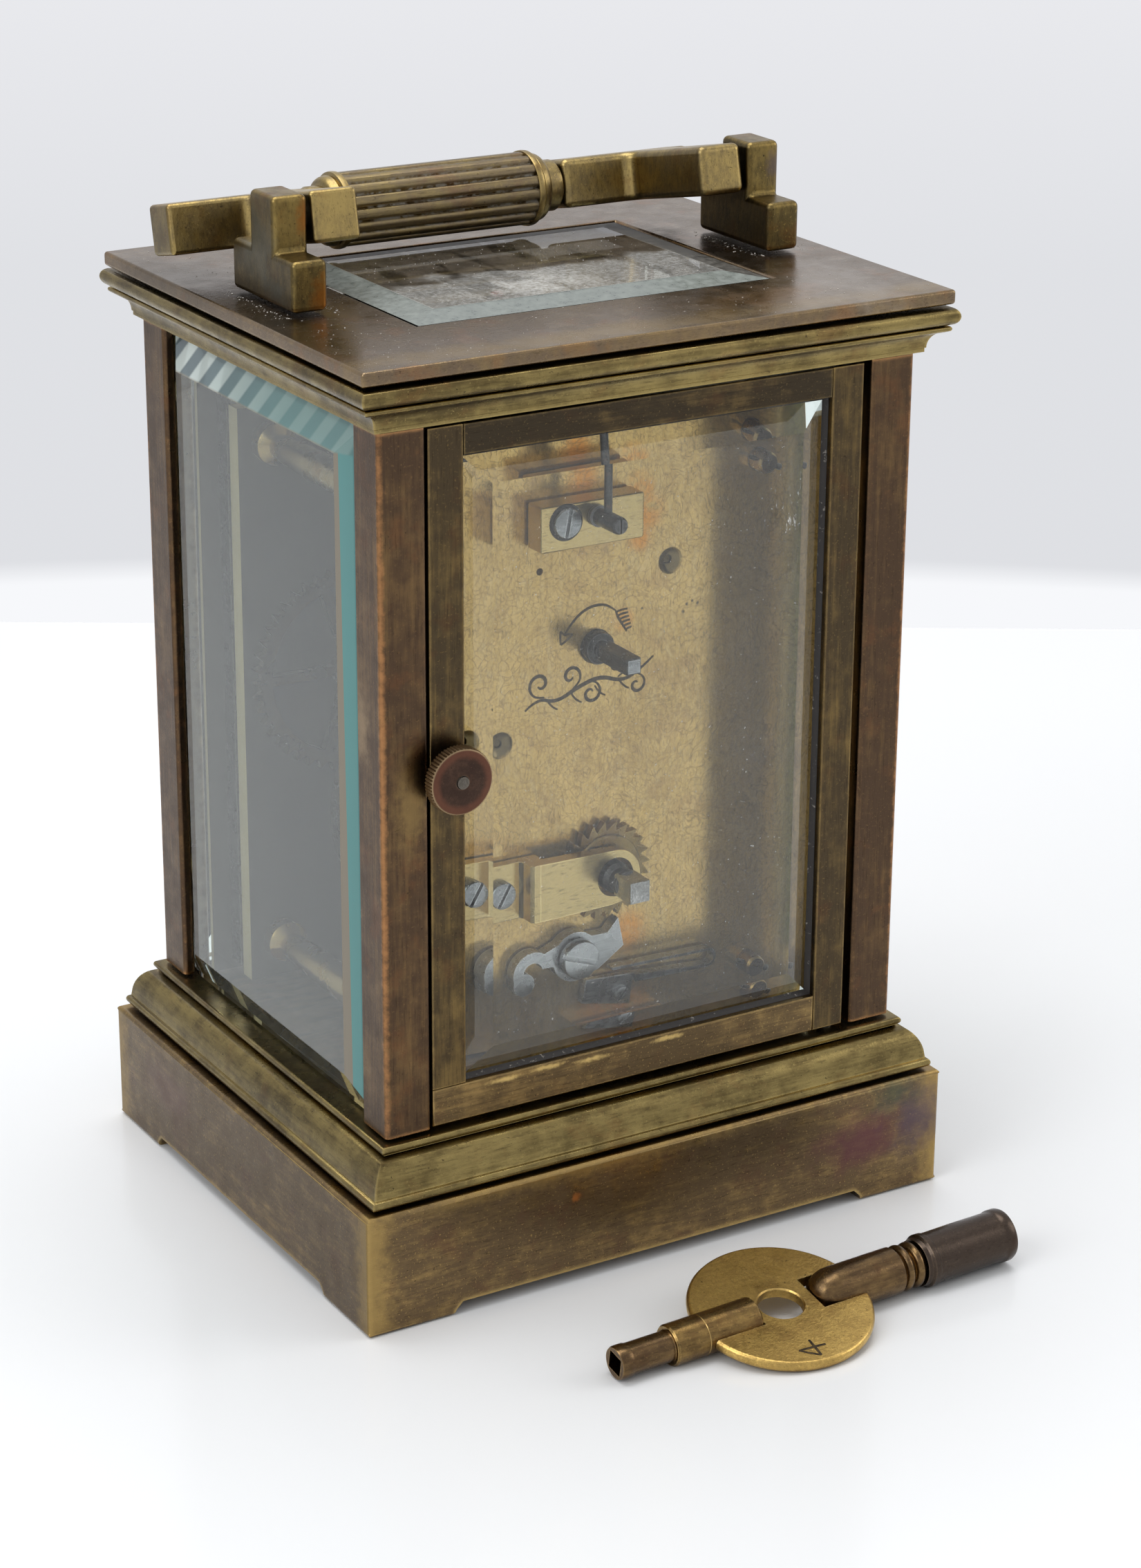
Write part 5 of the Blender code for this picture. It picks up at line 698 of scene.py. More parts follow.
# Painted reflection: past a ragged line across the glass, the near half of the film is thicker and greyer.
reach = plus(spot.outputs["Y"], times(minus(noise(place, 0.10, 3, 0.5, 2.0), 0.5), 14.0))
near_half_reflection = ranged(reach, 1.0, 2.6, 0.0, 0.20)
cover = plus(cover, near_half_reflection)
tone = blended(ranged(reach, 0.5, 3.0), (0.33, 0.27, 0.20, 1), tone)
coat(tree, tone, 0.9, Alpha=cover)


def sheet(half_u, half_v):
    """A flat film with no thickness, in millimetres."""
    film = bmesh.new()
    bmesh.ops.create_grid(film, x_segments=1, y_segments=1, size=1)
    bmesh.ops.scale(film, vec=(half_u, half_v, 1), verts=film.verts)
    return film


FILM_HIGH = TOP_SEAT + TOP_PANE + 0.02
part("top_dust_and_reflection_film", placed(sheet(20.2, 14.0), (0, 0, FILM_HIGH)), dust_and_reflection_film, "case", "glass")


# ---- Dust ---------------------------------------------------------------------------------------
# Loose grey grains, mostly round the feet of the handle posts and along the rear of the top
# plate, with finer ones on the glass. They just lie there.
def two_tone(name, scale, dark, pale, dull):
    """A plain finish that drifts between two colours."""
    material, tree = empty_material(name)
    coat(tree, blended(noise(millimetres(tree), scale), (*dark, 1), (*pale, 1)), dull)
    return material


dust_grey = two_tone("dust_grey", 2.0, (0.42, 0.38, 0.33), (0.78, 0.76, 0.72), 0.9)
ROUND_EACH_POST, ON_PLATE_STRIP, ON_GLASS, GRAIN_FORM = 150, 260, 320, (1.4, 0.9, 0.45)
scatter = random.Random(4)
grains = []
for side in (-1, 1):
    for i in range(ROUND_EACH_POST):
        edge = scatter.choice((-1, 1))
        grains.append((side * (33.0 + edge * (2.9 + abs(scatter.gauss(0, 0.8)))), scatter.uniform(-8.5, 8.5),
            TOP_HIGH, 0.03 + 0.09 * scatter.random() ** 3))
for i in range(ON_PLATE_STRIP):
    grains.append((scatter.uniform(-39, 39), scatter.uniform(18.9, 33.8), TOP_HIGH,
        0.02 + 0.06 * scatter.random() ** 3))
    grains.append((scatter.uniform(25.3, 39), scatter.uniform(-33, 33), TOP_HIGH,
        0.02 + 0.06 * scatter.random() ** 3))
for i in range(ON_GLASS):
    grains.append((scatter.uniform(-19, 19), scatter.uniform(-13, 13), FILM_HIGH,
        0.02 + 0.07 * scatter.random() ** 3))
bm = bmesh.new()
for x, y, z, size in grains:
    grain = bmesh.ops.create_icosphere(bm, subdivisions=1, radius=size)["verts"]
    bmesh.ops.scale(bm, vec=GRAIN_FORM, verts=grain)
    spun(bm, math.degrees(17.0 * x + 31.0 * y), "Z", grain)
    bmesh.ops.translate(bm, vec=(x, y, z + 0.3 * size), verts=grain)
part("dust_on_top", placed(bm), dust_grey, "case", "top_brass")


# ---- Handle posts -------------------------------------------------------------------------------
# Two cast posts with a long foot and a narrow neck, screwed to the top plate. Every edge has
# worn round.
handle_touches = [
    ((31.5, 8, 121), (1, 1, 0.5), 1.9, (0.30, 0.115, 0.02), 0.85, 0.7),
    ((31.3, 3.2, 129.5), (1, 1, 0.4), 1.2, (0.27, 0.10, 0.02), 0.8, 0.7),
    ((-34.5, 3.2, 129), (1, 1, 0.6), 1.5, (0.13, 0.10, 0.09), 0.7, 0.7),
    ((35.3, -2, 126), (1, 0.4, 0.5), 2.5, (0.17, 0.17, 0.125), 0.6, 0.4),
    ((35.3, 3, 121), (1, 0.5, 1), 2.0, (0.14, 0.15, 0.12), 0.6, 0.4),
    ((-14.2, -16.5, 126), (0.5, 1, 1), 2.2, (0.24, 0.105, 0.03), 0.5, 0.5)]
handle_brass = brass_finish("handle_brass", (0.39, 0.285, 0.105), (0.20, 0.15, 0.072), (0.19, 0.08, 0.025),
    (0.46, 0.335, 0.13), cover=0.52, stains=0.35, width=0.9, edges=0.8, gloss=0.34, grain=(1, 1, 0.3),
    speck=0.9, touches=handle_touches, side=0.45)
POST_IN, POST_OUT, HANDLE_Z = 30.67, 35.27, 128.55
post_brass = brass_finish("post_brass", (0.245, 0.172, 0.056), (0.105, 0.078, 0.033), (0.20, 0.08, 0.022),
    (0.44, 0.32, 0.12), cover=0.52, stains=0.4, width=0.9, edges=0.8, gloss=0.34, grain=(1, 1, 0.3), speck=0.9,
    touches=handle_touches, side=0.55)
for name, side in (("left", 1), ("right", -1)):
    shape = [(-8.05, 119.25), (8.05, 119.25), (8.05, 125.35), (3.2, 125.35), (3.2, 132.05), (-3.2, 132.05),
        (-3.2, 125.35), (-8.05, 125.35)]
    bm = outline([shape], *sorted((side * POST_IN, side * POST_OUT)), "X")
    round_edges(bm, 0.75, 5)
    part("handle_post_" + name + "_cast", placed(bm), post_brass, "case", "handle_brass", "handle_post_" + name)


# ---- Handle arms --------------------------------------------------------------------------------
# Two identical cranked castings that hang on steel pins and carry the grip between their
# inner ends. The handle lies folded to the front.
handle_frame = Matrix.Translation((0, 0, HANDLE_Z)) @ Matrix.Rotation(math.radians(12), 4, "X")
ARM_HALF, BAR_REAR, BAR_FRONT, GRIP_X = 3.075, 13.525, 19.125, 3.9
for name, side in (("left", 1), ("right", -1)):
    leg = sorted((side * 23.87, side * 30.02))
    bar = sorted((GRIP_X + side * 17.75, GRIP_X + side * 36.95))
    inside = curve_points((leg[0] - 1.6, -BAR_REAR + 1.6), 1.6, 0, -90, 6)
    outside = curve_points((leg[1] + 1.6, -BAR_REAR + 1.6), 1.6, -90, -180, 6)
    shape = [(leg[0], ARM_HALF)] + inside + [(bar[0], -BAR_REAR), (bar[0], -BAR_FRONT), (bar[1], -BAR_FRONT),
        (bar[1], -BAR_REAR)]
    shape += outside + [(leg[1], ARM_HALF)]
    bm = outline([shape], -ARM_HALF, ARM_HALF, "Z")
    round_edges(bm, 0.9, 5)
    part("handle_arm_" + name + "_cast", placed(bm, frame_of=handle_frame), handle_brass, "handle",
        "handle_brass", "handle_arm_" + name)


# ---- Handle pins --------------------------------------------------------------------------------
# Plain steel pins, pressed through the arms into the posts. Only a ring of each shows in the
# gap.
def steel_finish(name, pale, dark, gloss=0.3, grain=(1, 1, 1), rust=0.15, bump=0.015, ends=(0.72, 0.72, 0.72)):
    """Ground steel with fine lines, dark clouds and a trace of rust."""
    material, tree = empty_material(name)
    place = millimetres(tree)
    lined = noise(millimetres(tree, grain), 4.0, 4, 0.65)
    cloud = noise(place, 0.5, 5, 0.6, 2.0)
    colour = blended(ranged(plus(times(lined, 0.6), times(cloud, 0.5)), 0.40, 0.72), (*dark, 1), (*pale, 1))
    rusty = times(ranged(noise(place, 0.9, 5, 0.7, 8.0), 0.56, 0.70), rust)
    colour = blended(rusty, colour, (0.25, 0.11, 0.05, 1))
    wear = add_node(tree, "Group", {"Width": 0.0004, "Raggedness": 0.6},
        node_tree=bpy.data.node_groups["edge_wear"])
    colour = blended(times(wear.outputs["Mask"], 0.5), colour, (*ends, 1))
    dull = ranged(cloud, 0.3, 0.7, gloss - 0.06, gloss + 0.12)
    coat(tree, colour, dull, lined, bump, Metallic=1.0)
    return material


bright_steel = steel_finish("bright_steel", (0.33, 0.34, 0.35), (0.20, 0.205, 0.21), 0.24, (0.2, 1, 1), 0.05,
    0.006)
dark_steel = steel_finish("dark_steel", (0.10, 0.097, 0.094), (0.032, 0.031, 0.03), 0.32, (1, 0.15, 1), 0.2,
    0.01, (0.30, 0.30, 0.30))
keep_node(dark_steel, "handle_pin_left", "handle_pin_right")


# ---- Grip ---------------------------------------------------------------------------------------
# Turned brass grip with sixteen broad reeds between plain collars. Old polish has dried white
# in the grooves, and the crests have gone pinkish brown.
def dried_polish(tree):
    """Mask of the old polish left in the grooves."""
    groove = add_node(tree, "AmbientOcclusion", {"Distance": 0.9 * MM}, samples=4)
    return times(ranged(groove.outputs["AO"], 0.62, 0.40), ranged(noise(millimetres(tree), 0.8, 5, 0.7), 0.42,
        0.58))


grip_brass = brass_finish("grip_brass", (0.27, 0.205, 0.09), (0.165, 0.128, 0.082), (0.17, 0.095, 0.06),
    (0.34, 0.25, 0.10), cover=0.54, stains=0.5, width=0.6, edges=0.4, gloss=0.34, grain=(0.12, 1, 1), speck=0.6,
    finer=lambda colour: blended(dried_polish(colour.id_data), colour, (0.42, 0.40, 0.36, 1)),
    metal=lambda tree: minus(1.0, dried_polish(tree)))

GRIP_RADIUS, FLUTED, REEDS, REED_DEEP = 4.6, 13.45, 16, 0.6
bm = bmesh.new()
ring = bmesh.ops.create_circle(bm, cap_ends=False, segments=REEDS * 10, radius=GRIP_RADIUS)["verts"]
for vert in ring:
    swell = abs(math.sin(REEDS / 2 * math.atan2(vert.co.y, vert.co.x)))
    vert.co *= 1 - REED_DEEP / GRIP_RADIUS * (1 - swell) ** 2.2
spun(bm, 90, "Y")
bmesh.ops.translate(bm, vec=(-FLUTED, 0, 0), verts=bm.verts)
bmesh.ops.translate(bm, vec=(2 * FLUTED, 0, 0), verts=grow(bm, list(bm.edges))[0])
bmesh.ops.holes_fill(bm, edges=bm.edges, sides=0)
bmesh.ops.recalc_face_normals(bm, faces=bm.faces)
GRIP_PLACE = (GRIP_X, -(BAR_REAR + 2.8), 0)
part("grip_reeds", placed(bm, GRIP_PLACE, handle_frame), grip_brass, "handle", "handle_brass", "handle_grip",
    smooth=50)


def join(bm, other):
    """Adds one shape to another."""
    mesh = bpy.data.meshes.new("joined")
    other.to_mesh(mesh)
    other.free()
    bm.from_mesh(mesh)
    bpy.data.meshes.remove(mesh)


TAU = 2 * math.pi


def turning(stations, steps=48, axis="Y", closed=False):
    """A turned form from (radius, height) stations in millimetres, spun round the axis."""
    turn = {"X": lambda r, h: (h, r, 0), "Y": lambda r, h: (r, h, 0), "Z": lambda r, h: (r, 0, h)}[axis]
    around = {"X": (1, 0, 0), "Y": (0, 1, 0), "Z": (0, 0, 1)}[axis]
    bm = bmesh.new()
    verts = [bm.verts.new(turn(r, h)) for r, h in stations]
    pairs = list(zip(verts, verts[1:])) + ([(verts[-1], verts[0])] if closed else [])
    edges = [bm.edges.new(pair) for pair in pairs]
    bmesh.ops.spin(bm, geom=verts + edges, cent=(0, 0, 0), axis=around, angle=TAU, steps=steps, use_merge=True)
    bmesh.ops.remove_doubles(bm, verts=bm.verts, dist=1e-4)
    bmesh.ops.recalc_face_normals(bm, faces=bm.faces)
    return bm


neck, end = 3.25, 17.45
ending = [(0, FLUTED - 0.4), (4.72, FLUTED - 0.4), (4.78, FLUTED), (4.72, FLUTED + 0.4), (4.2, FLUTED + 0.55),
    (4.35, FLUTED + 0.75), (4.3, FLUTED + 1.0)]
ending += curve_points((3.45, FLUTED + 1.0), 0.85, 15, 75, 4, rise=1.0)
ending += [(neck, FLUTED + 2.05), (neck, end - 0.3), (neck - 0.2, end), (0, end)]
for name, side in (("left", 1), ("right", -1)):
    bm = turning([(r, side * h) for r, h in ending], 64, "X")
    part("grip_end_" + name, placed(bm, GRIP_PLACE, handle_frame), handle_brass, "handle", "handle_brass")


# ---- Rear door ----------------------------------------------------------------------------------
# Four brass rails with close butt joints. The bottom rail runs in under the left stile, and the
# right stile runs the full height.
door_brass = brass_finish("door_brass", (0.185, 0.125, 0.050), (0.070, 0.051, 0.030), (0.10, 0.048, 0.025),
    (0.40, 0.27, 0.10), cover=0.58, stains=0.40, width=0.6, edges=0.9, gloss=0.33, grain=(1, 1, 0.06),
    speck=0.6)
top_rail_brass = brass_finish("top_rail_brass", (0.17, 0.115, 0.05), (0.052, 0.040, 0.026),
    (0.09, 0.045, 0.025), (0.30, 0.21, 0.085), cover=0.62, stains=0.40, width=0.6, edges=0.7, gloss=0.33,
    grain=(0.06, 1, 1), speck=0.5)
rail_touches = [((x, 31, z), (0.35, 0.3, 2.6), 1.1, (0.66, 0.47, 0.18), 0.9, 1.4)
    for x, z in ((20.5, 27.6), (14.5, 27.8), (8.0, 27.4), (-3.0, 27.7))]
rail_brass = brass_finish("rail_brass", (0.33, 0.22, 0.088), (0.125, 0.086, 0.045), (0.12, 0.06, 0.03),
    (0.52, 0.36, 0.14), cover=0.60, stains=0.40, width=0.6, edges=0.9, gloss=0.33, grain=(0.06, 1, 1),
    speck=0.8, touches=rail_touches)
DOOR = (-29.4, 30.42, 23.6, 110.6)
GLASS = (-24.9, 25.8, 28.4, 106.9)
DOOR_REAR, LIP, DOOR_INSIDE, LAP_OVER = 31.25, 30.0, 28.2, 1.2


def door_bar(name, x0, x1, z0, z1, opening, material):
    """One rail with a rebate for the glass, which lies on the side `opening` (0 and 1 across, 2 and 3 up)."""
    low, high = (x0, x1) if opening < 2 else (z0, z1)
    lip_low = low + LAP_OVER if opening in (0, 2) else low
    lip_high = high - LAP_OVER if opening in (1, 3) else high
    section = [(lip_low, DOOR_INSIDE), (lip_high, DOOR_INSIDE), (lip_high, LIP), (high, LIP), (high, DOOR_REAR),
        (low, DOOR_REAR), (low, LIP), (lip_low, LIP)]
    section = [p for i, p in enumerate(section) if p not in section[:i]]
    section.remove((high if opening in (0, 2) else low, LIP))
    if opening < 2:
        bm = outline([section], z0, z1, "Z")
    else:
        bm = outline([[(y, z) for z, y in section]], x0, x1, "X")
    round_edges(bm, 0.16, 3, 50, lambda e: min(v.co.y for v in e.verts) > DOOR_REAR - 0.01)
    return part(name, placed(bm), material, "door", "case_brass", "door_frame")


def hole(place, radius, count=32):
    """A round outline."""
    return curve_points(place, radius, 0, 360, count)[:-1]


JOINT = 0.03
SPINDLE = (28.05, 68.8)
door_bar("door_stile_right", DOOR[0], GLASS[0], DOOR[2], DOOR[3], 1, door_brass)
lock_stile = door_bar("door_stile_left", GLASS[1], DOOR[1], GLASS[2] + JOINT, DOOR[3], 0, door_brass)
cut(lock_stile, placed(outline([hole(SPINDLE, 1.3, 24)], 27, 33)))
door_bar("door_rail_bottom", GLASS[0] + JOINT, DOOR[1], DOOR[2], GLASS[2], 3, rail_brass)
door_bar("door_rail_top", GLASS[0] + JOINT, GLASS[1] - JOINT, GLASS[3], DOOR[3], 2, top_rail_brass)


# ---- Putty --------------------------------------------------------------------------------------
# Black putty, pressed into the rebate to bed the door glass and trimmed off. It shows as a
# narrow crumbling line inside the rails.
# The same black also stands in as painted shade in the contrate cock's countersink.
putty_and_painted_shade_black, tree = empty_material("putty_and_painted_shade_black")
crumbs = noise(millimetres(tree), 1.3, 5, 0.7)
colour = blended(ranged(crumbs, 0.60, 0.72), (0.022, 0.018, 0.016, 1), (0.42, 0.38, 0.33, 1))
coat(tree, colour, 0.6, crumbs, 0.1)
GLASS_MID_X, GLASS_MID_Z = (GLASS[0] + GLASS[1]) / 2, (GLASS[2] + GLASS[3]) / 2
bm = run_round([(-0.55, 0), (0, 0), (0, 0.62), (-0.25, 0.5), (-0.5, 0.12)], (GLASS[1] - GLASS[0]) / 2,
    (GLASS[3] - GLASS[2]) / 2)
lay = Matrix.Translation((GLASS_MID_X, LIP - 0.22, GLASS_MID_Z)) @ Matrix(
    ((1, 0, 0), (0, 0, 1), (0, 1, 0))).to_4x4()
bmesh.ops.transform(bm, matrix=lay, verts=bm.verts)
bmesh.ops.recalc_face_normals(bm, faces=bm.faces)
part("door_putty", placed(bm), putty_and_painted_shade_black, "door", "case_brass")


# ---- Door glass ---------------------------------------------------------------------------------
# Clear plate glass with a wide ground bevel all round, cut in the CAD. Old dust speckles its
# outside, thickest near one upper corner.
door_glass = glass_finish("door_glass", (0.95, 0.985, 0.98))
keep_node(door_glass, "door_glass")
door_dust, tree = empty_material("door_dust")
place = millimetres(tree)
speck = ranged(noise(place, 2.6, 2, 0.5), 0.705, 0.76, 0.0, 0.55)
rubbed = vector("DISTANCE", place, (-21.6, 31.0, 94.0), "Value")
near_rub = times(ranged(rubbed, 9.0, 2.0), ranged(noise(millimetres(tree, (1, 1, 0.35)), 1.6, 5, 0.75, 6.0),
    0.56, 0.70))
cover = calc("MAXIMUM", speck, times(near_rub, 0.9))
film_low = ranged(times(noise(place, 0.06, 4, 0.6, 2.0), noise(place, 0.5, 5, 0.7, 9.0)), 0.15, 0.5, 0.0, 0.06)
cover = calc("MAXIMUM", cover, film_low)
coat(tree, blended(noise(place, 1.0), (0.60, 0.60, 0.57, 1), (0.80, 0.80, 0.78, 1)), 0.9, Alpha=cover)
film = sheet(21.2, 35.2)
spun(film, -90, "X")
part("door_dust_film", placed(film, (GLASS_MID_X, 31.03, GLASS_MID_Z)), door_dust, "door", "glass")


# ---- Door pivots --------------------------------------------------------------------------------
# Two plain steel pins on which the door swings. One is fixed in the moulding and one in the
# cornice.
keep_node(dark_steel, "door_pivot_top", "door_pivot_bottom")


# ---- Knob ---------------------------------------------------------------------------------------
# Small copper-red disc with a finely reeded edge, on a steel spindle that is riveted over
# in the middle.
KNOB = (SPINDLE[0], 0, SPINDLE[1])


def rubbed_rim(colour):
    """Redder towards the rim of the disc, and rubbed pale on its edge."""
    place = millimetres(colour.id_data)
    out = vector("DISTANCE", vector("MULTIPLY", place, (1, 0, 1)), KNOB, "Value")
    ragged = plus(out, times(noise(place, 1.1, 4), 0.6))
    colour = blended(ranged(ragged, 2.9, 3.8, 0.0, 0.7), colour, (0.155, 0.066, 0.042, 1))
    return blended(ranged(out, 3.80, 3.98), colour, (0.30, 0.215, 0.125, 1))


knob_copper = brass_finish("knob_copper", (0.105, 0.06, 0.041), (0.055, 0.034, 0.026), (0.045, 0.026, 0.021),
    (0.2, 0.12, 0.075), cover=0.60, stains=0.4, width=0.35, edges=0.5, gloss=0.44, grain=(1, 1, 1), speck=0.6,
    finer=rubbed_rim)
KNOB_REEDS, KNOB_REED_DEEP, REEDED = 60, 0.3, range(4, 7)
bm = bmesh.new()
bmesh.ops.create_circle(bm, cap_ends=False, segments=4 * KNOB_REEDS, radius=5.0)
spun(bm, 90, "X")
KNOB_PROFILE = ((1.3, 31.55), (2.2, 31.6), (2.2, 32.55), (3.8, 32.8), (4.1, 33.0), (4.15, 33.2), (4.15, 34.35),
    (4.02, 34.62), (3.75, 34.75), (0.85, 34.75), (0.85, 34.2), (1.3, 34.0))
verts, edges = list(bm.verts), list(bm.edges)
inner = edges
for i, (radius, y) in enumerate(KNOB_PROFILE):
    if i:
        verts, edges = grow(bm, edges)
    for vert in verts:
        angle = math.atan2(vert.co.z, vert.co.x)
        reed = KNOB_REED_DEEP * (1 - abs(math.sin(KNOB_REEDS / 2 * angle))) if i in REEDED else 0
        vert.co = ((radius - reed) * math.cos(angle), y, (radius - reed) * math.sin(angle))
bmesh.ops.bridge_loops(bm, edges=inner + edges)
bmesh.ops.recalc_face_normals(bm, faces=bm.faces)
part("knob_disc", placed(bm, KNOB), knob_copper, "knob", "knob_copper", "door_knob", smooth=28)

worn_steel = steel_finish("worn_steel", (0.15, 0.135, 0.115), (0.085, 0.075, 0.062), 0.34, (1, 1, 1), 0.2, 0.01,
    (0.24, 0.215, 0.18))
spindle = [(0, 26.2), (1.2, 26.2), (1.2, 34.6), (0.82, 34.72), (0.75, 34.98), (0, 35.08)]
part("knob_spindle_turned", placed(turning(spindle, 40), KNOB), worn_steel, "knob", "steel", "knob_spindle")
catch = curve_points((0, 0), 1.3, 0, 180, 16) + curve_points((0, -3.9), 1.3, 180, 360, 16)
part("knob_catch", placed(round_edges(outline([catch], 26.5, 27.7), 0.15, 2), KNOB), dark_steel, "knob",
    "steel")


# ---- Movement plates ----------------------------------------------------------------------------
# Two rolled brass plates, finely grained by stoning and lacquered. The back plate has gone
# mottled gold, with orange stains.
def stain_spots(place, spots, amount=1.0):
    """Mask of soft round stains at (x, y, z, radius) in millimetres."""
    total = None
    for x, y, z, radius in spots:
        near = ranged(vector("DISTANCE", place, (x, y, z), "Value"), radius, radius * 0.25)
        total = near if total is None else calc("MAXIMUM", total, near)
    return times(total, amount)


def cell_edges(place, scale):
    """Distance to the edges of random cells, which makes cracks and scratches."""
    cells = add_node(place.id_data, "TexVoronoi", {"Vector": place, "Scale": scale}, feature="DISTANCE_TO_EDGE")
    return cells.outputs["Distance"]


def plate_marks(colour):
    """What the back plate has suffered: stains, hairlines, swirls, flecks, dark dishes and dots."""
    tree = colour.id_data
    place = millimetres(tree)
    orange = stain_spots(place, ((-6.6, 17, 91.9, 3.9), (-6.0, 17, 95.0, 3.0), (-6.2, 17, 88.6, 2.4),
        (-3.9, 17, 78.6, 2.0), (2.0, 17, 97.5, 3.0), (-4.8, 17, 36.8, 4.2), (-3, 17, 28.0, 7.0)))
    broken = times(orange, ranged(noise(place, 0.5, 6, 0.7, 4.0), 0.32, 0.52))
    colour = blended(broken, colour, (0.62, 0.26, 0.035, 1))
    brown = stain_spots(place, ((-2, 17, 62, 9.0), (6, 17, 76, 5.0), (-12, 17, 68, 8.0), (8, 17, 55, 6.0)),
        0.42)
    brown = times(brown, ranged(noise(place, 0.7, 6, 0.75, 9.0), 0.38, 0.66))
    colour = blended(brown, colour, (0.27, 0.155, 0.07, 1))
    hairline = ranged(cell_edges(millimetres(tree, (1, 1, 0.07)), 1.3), 0.06, 0.0, 0.0, 0.3)
    colour = blended(hairline, colour, (0.62, 0.49, 0.27, 1))
    wander = add_node(tree, "TexNoise", {"Vector": place, "Scale": 0.12, "Detail": 2.0}).outputs["Color"]
    swirl = cell_edges(vector("ADD", place, vector("MULTIPLY", wander, (14, 14, 14))), 0.9)
    colour = blended(ranged(swirl, 0.07, 0.0, 0.0, 0.42), colour, (0.17, 0.105, 0.045, 1))
    fleck = ranged(noise(place, 2.1, 5, 0.75, 31.0), 0.50, 0.66, 0.0, 0.42)
    colour = blended(fleck, colour, (0.27, 0.17, 0.07, 1))
    dishes = stain_spots(place, ((13.5, 17, 65.3, 1.95), (-10.6, 17, 85.1, 1.95)), 3.0)
    colour = blended(calc("MINIMUM", dishes, 0.85), colour, (0.085, 0.065, 0.03, 1))
    dots = stain_spots(place, ((-12.6, 17, 78.2, 0.3), (-13.1, 17, 79.1, 0.3), (-13.9, 17, 79.4, 0.26),
        (-14.7, 17, 79.0, 0.3), (-6.6, 17, 79.6, 0.26)))
    return blended(dots, colour, (0.07, 0.045, 0.02, 1))


plate_gold = brass_finish("plate_gold", (0.64, 0.43, 0.152), (0.535, 0.35, 0.115), (0.35, 0.19, 0.075),
    (0.6, 0.46, 0.24), cover=0.5, stains=0.35, width=0.3, edges=0.6, gloss=0.19, grain=(1, 1, 0.25), speck=0.35,
    bump=0.012, finer=plate_marks, metal=0.74)
movement_brass = brass_finish("movement_brass", (0.26, 0.18, 0.07), (0.13, 0.088, 0.035), (0.20, 0.08, 0.03),
    (0.45, 0.33, 0.14), cover=0.45, stains=0.35, width=0.35, edges=0.8, gloss=0.26, grain=(0.3, 1, 1),
    speck=0.15, bump=0.012)
BACK_HALF, PLATE_LOW, PLATE_HIGH = 31.4, 23.4, 100.9
BACK_IN, BACK_OUT, BEHIND = 14.6, 17.0, 17.3
WINDING, CENTRE, SECOND, THIRD = (-0.9, 46.4), (0.0, 75.8), (13.5, 65.3), (-10.6, 85.1)
CONTRATE, CLICK = (-0.449, 94.0), (3.7, 35.9)
PILLARS = ((23.2, 28.8), (-23.2, 28.8), (23.2, 96.3), (-23.2, 96.3))


def at(spot, out=0):
    """A spot on the plate, which is (x, z), as a place."""
    return (spot[0], out, spot[1])


holes = [hole(p, 1.5) for p in PILLARS] + [hole(SECOND, 0.6, 20), hole(THIRD, 0.6, 20), hole(CONTRATE, 0.6, 20)]
holes += [hole(WINDING, 2.1), hole(CENTRE, 2.2), hole(CLICK, 1.4), hole((8.0, 86.6), 0.45, 16),
    hole((15.1, 70.9), 0.4, 16)]
bm = outline([rectangle(-BACK_HALF, BACK_HALF, PLATE_LOW, PLATE_HIGH)] + holes, BACK_IN, BACK_OUT)
round_edges(bm, 0.12, 2, 60)
back_plate = part("back_plate_sheet", placed(bm), plate_gold, "case", "movement_brass", "back_plate")
for x, z in (SECOND, THIRD):
    sink = bmesh.new()
    bmesh.ops.create_uvsphere(sink, u_segments=48, v_segments=24, radius=2.35)
    cut(back_plate, placed(sink, (x, BACK_OUT + 1.6, z)))
# The front plate's broad faces are near black, painted shade for the dark inside of the case; its edges keep a
# pale brass colour.
front_painted_shade, tree = empty_material("front_plate_painted_shade")
cloud = noise(millimetres(tree), 0.3, 5)
painted_shade_tone = blended(cloud, (0.020, 0.020, 0.017, 1), (0.055, 0.052, 0.042, 1))
colour = blended(facing(tree, "Y", 0.5, 0.8), (0.42, 0.34, 0.20, 1), painted_shade_tone)
coat(tree, colour, ranged(cloud, 0.3, 0.7, 0.45, 0.6), Metallic=0.6)
keep_node(front_painted_shade, "front_plate")


# ---- Engraving ----------------------------------------------------------------------------------
# Cut with a graver into the back plate: a curved arrow that shows which way to set the hands,
# and a leafy scroll below the setting square.
engraved_line = clouded("engraved_line", 1.6, (0.028, 0.021, 0.014), (0.085, 0.058, 0.03), 0.35, 0.55,
    rough=0.6, Metallic=0.8)


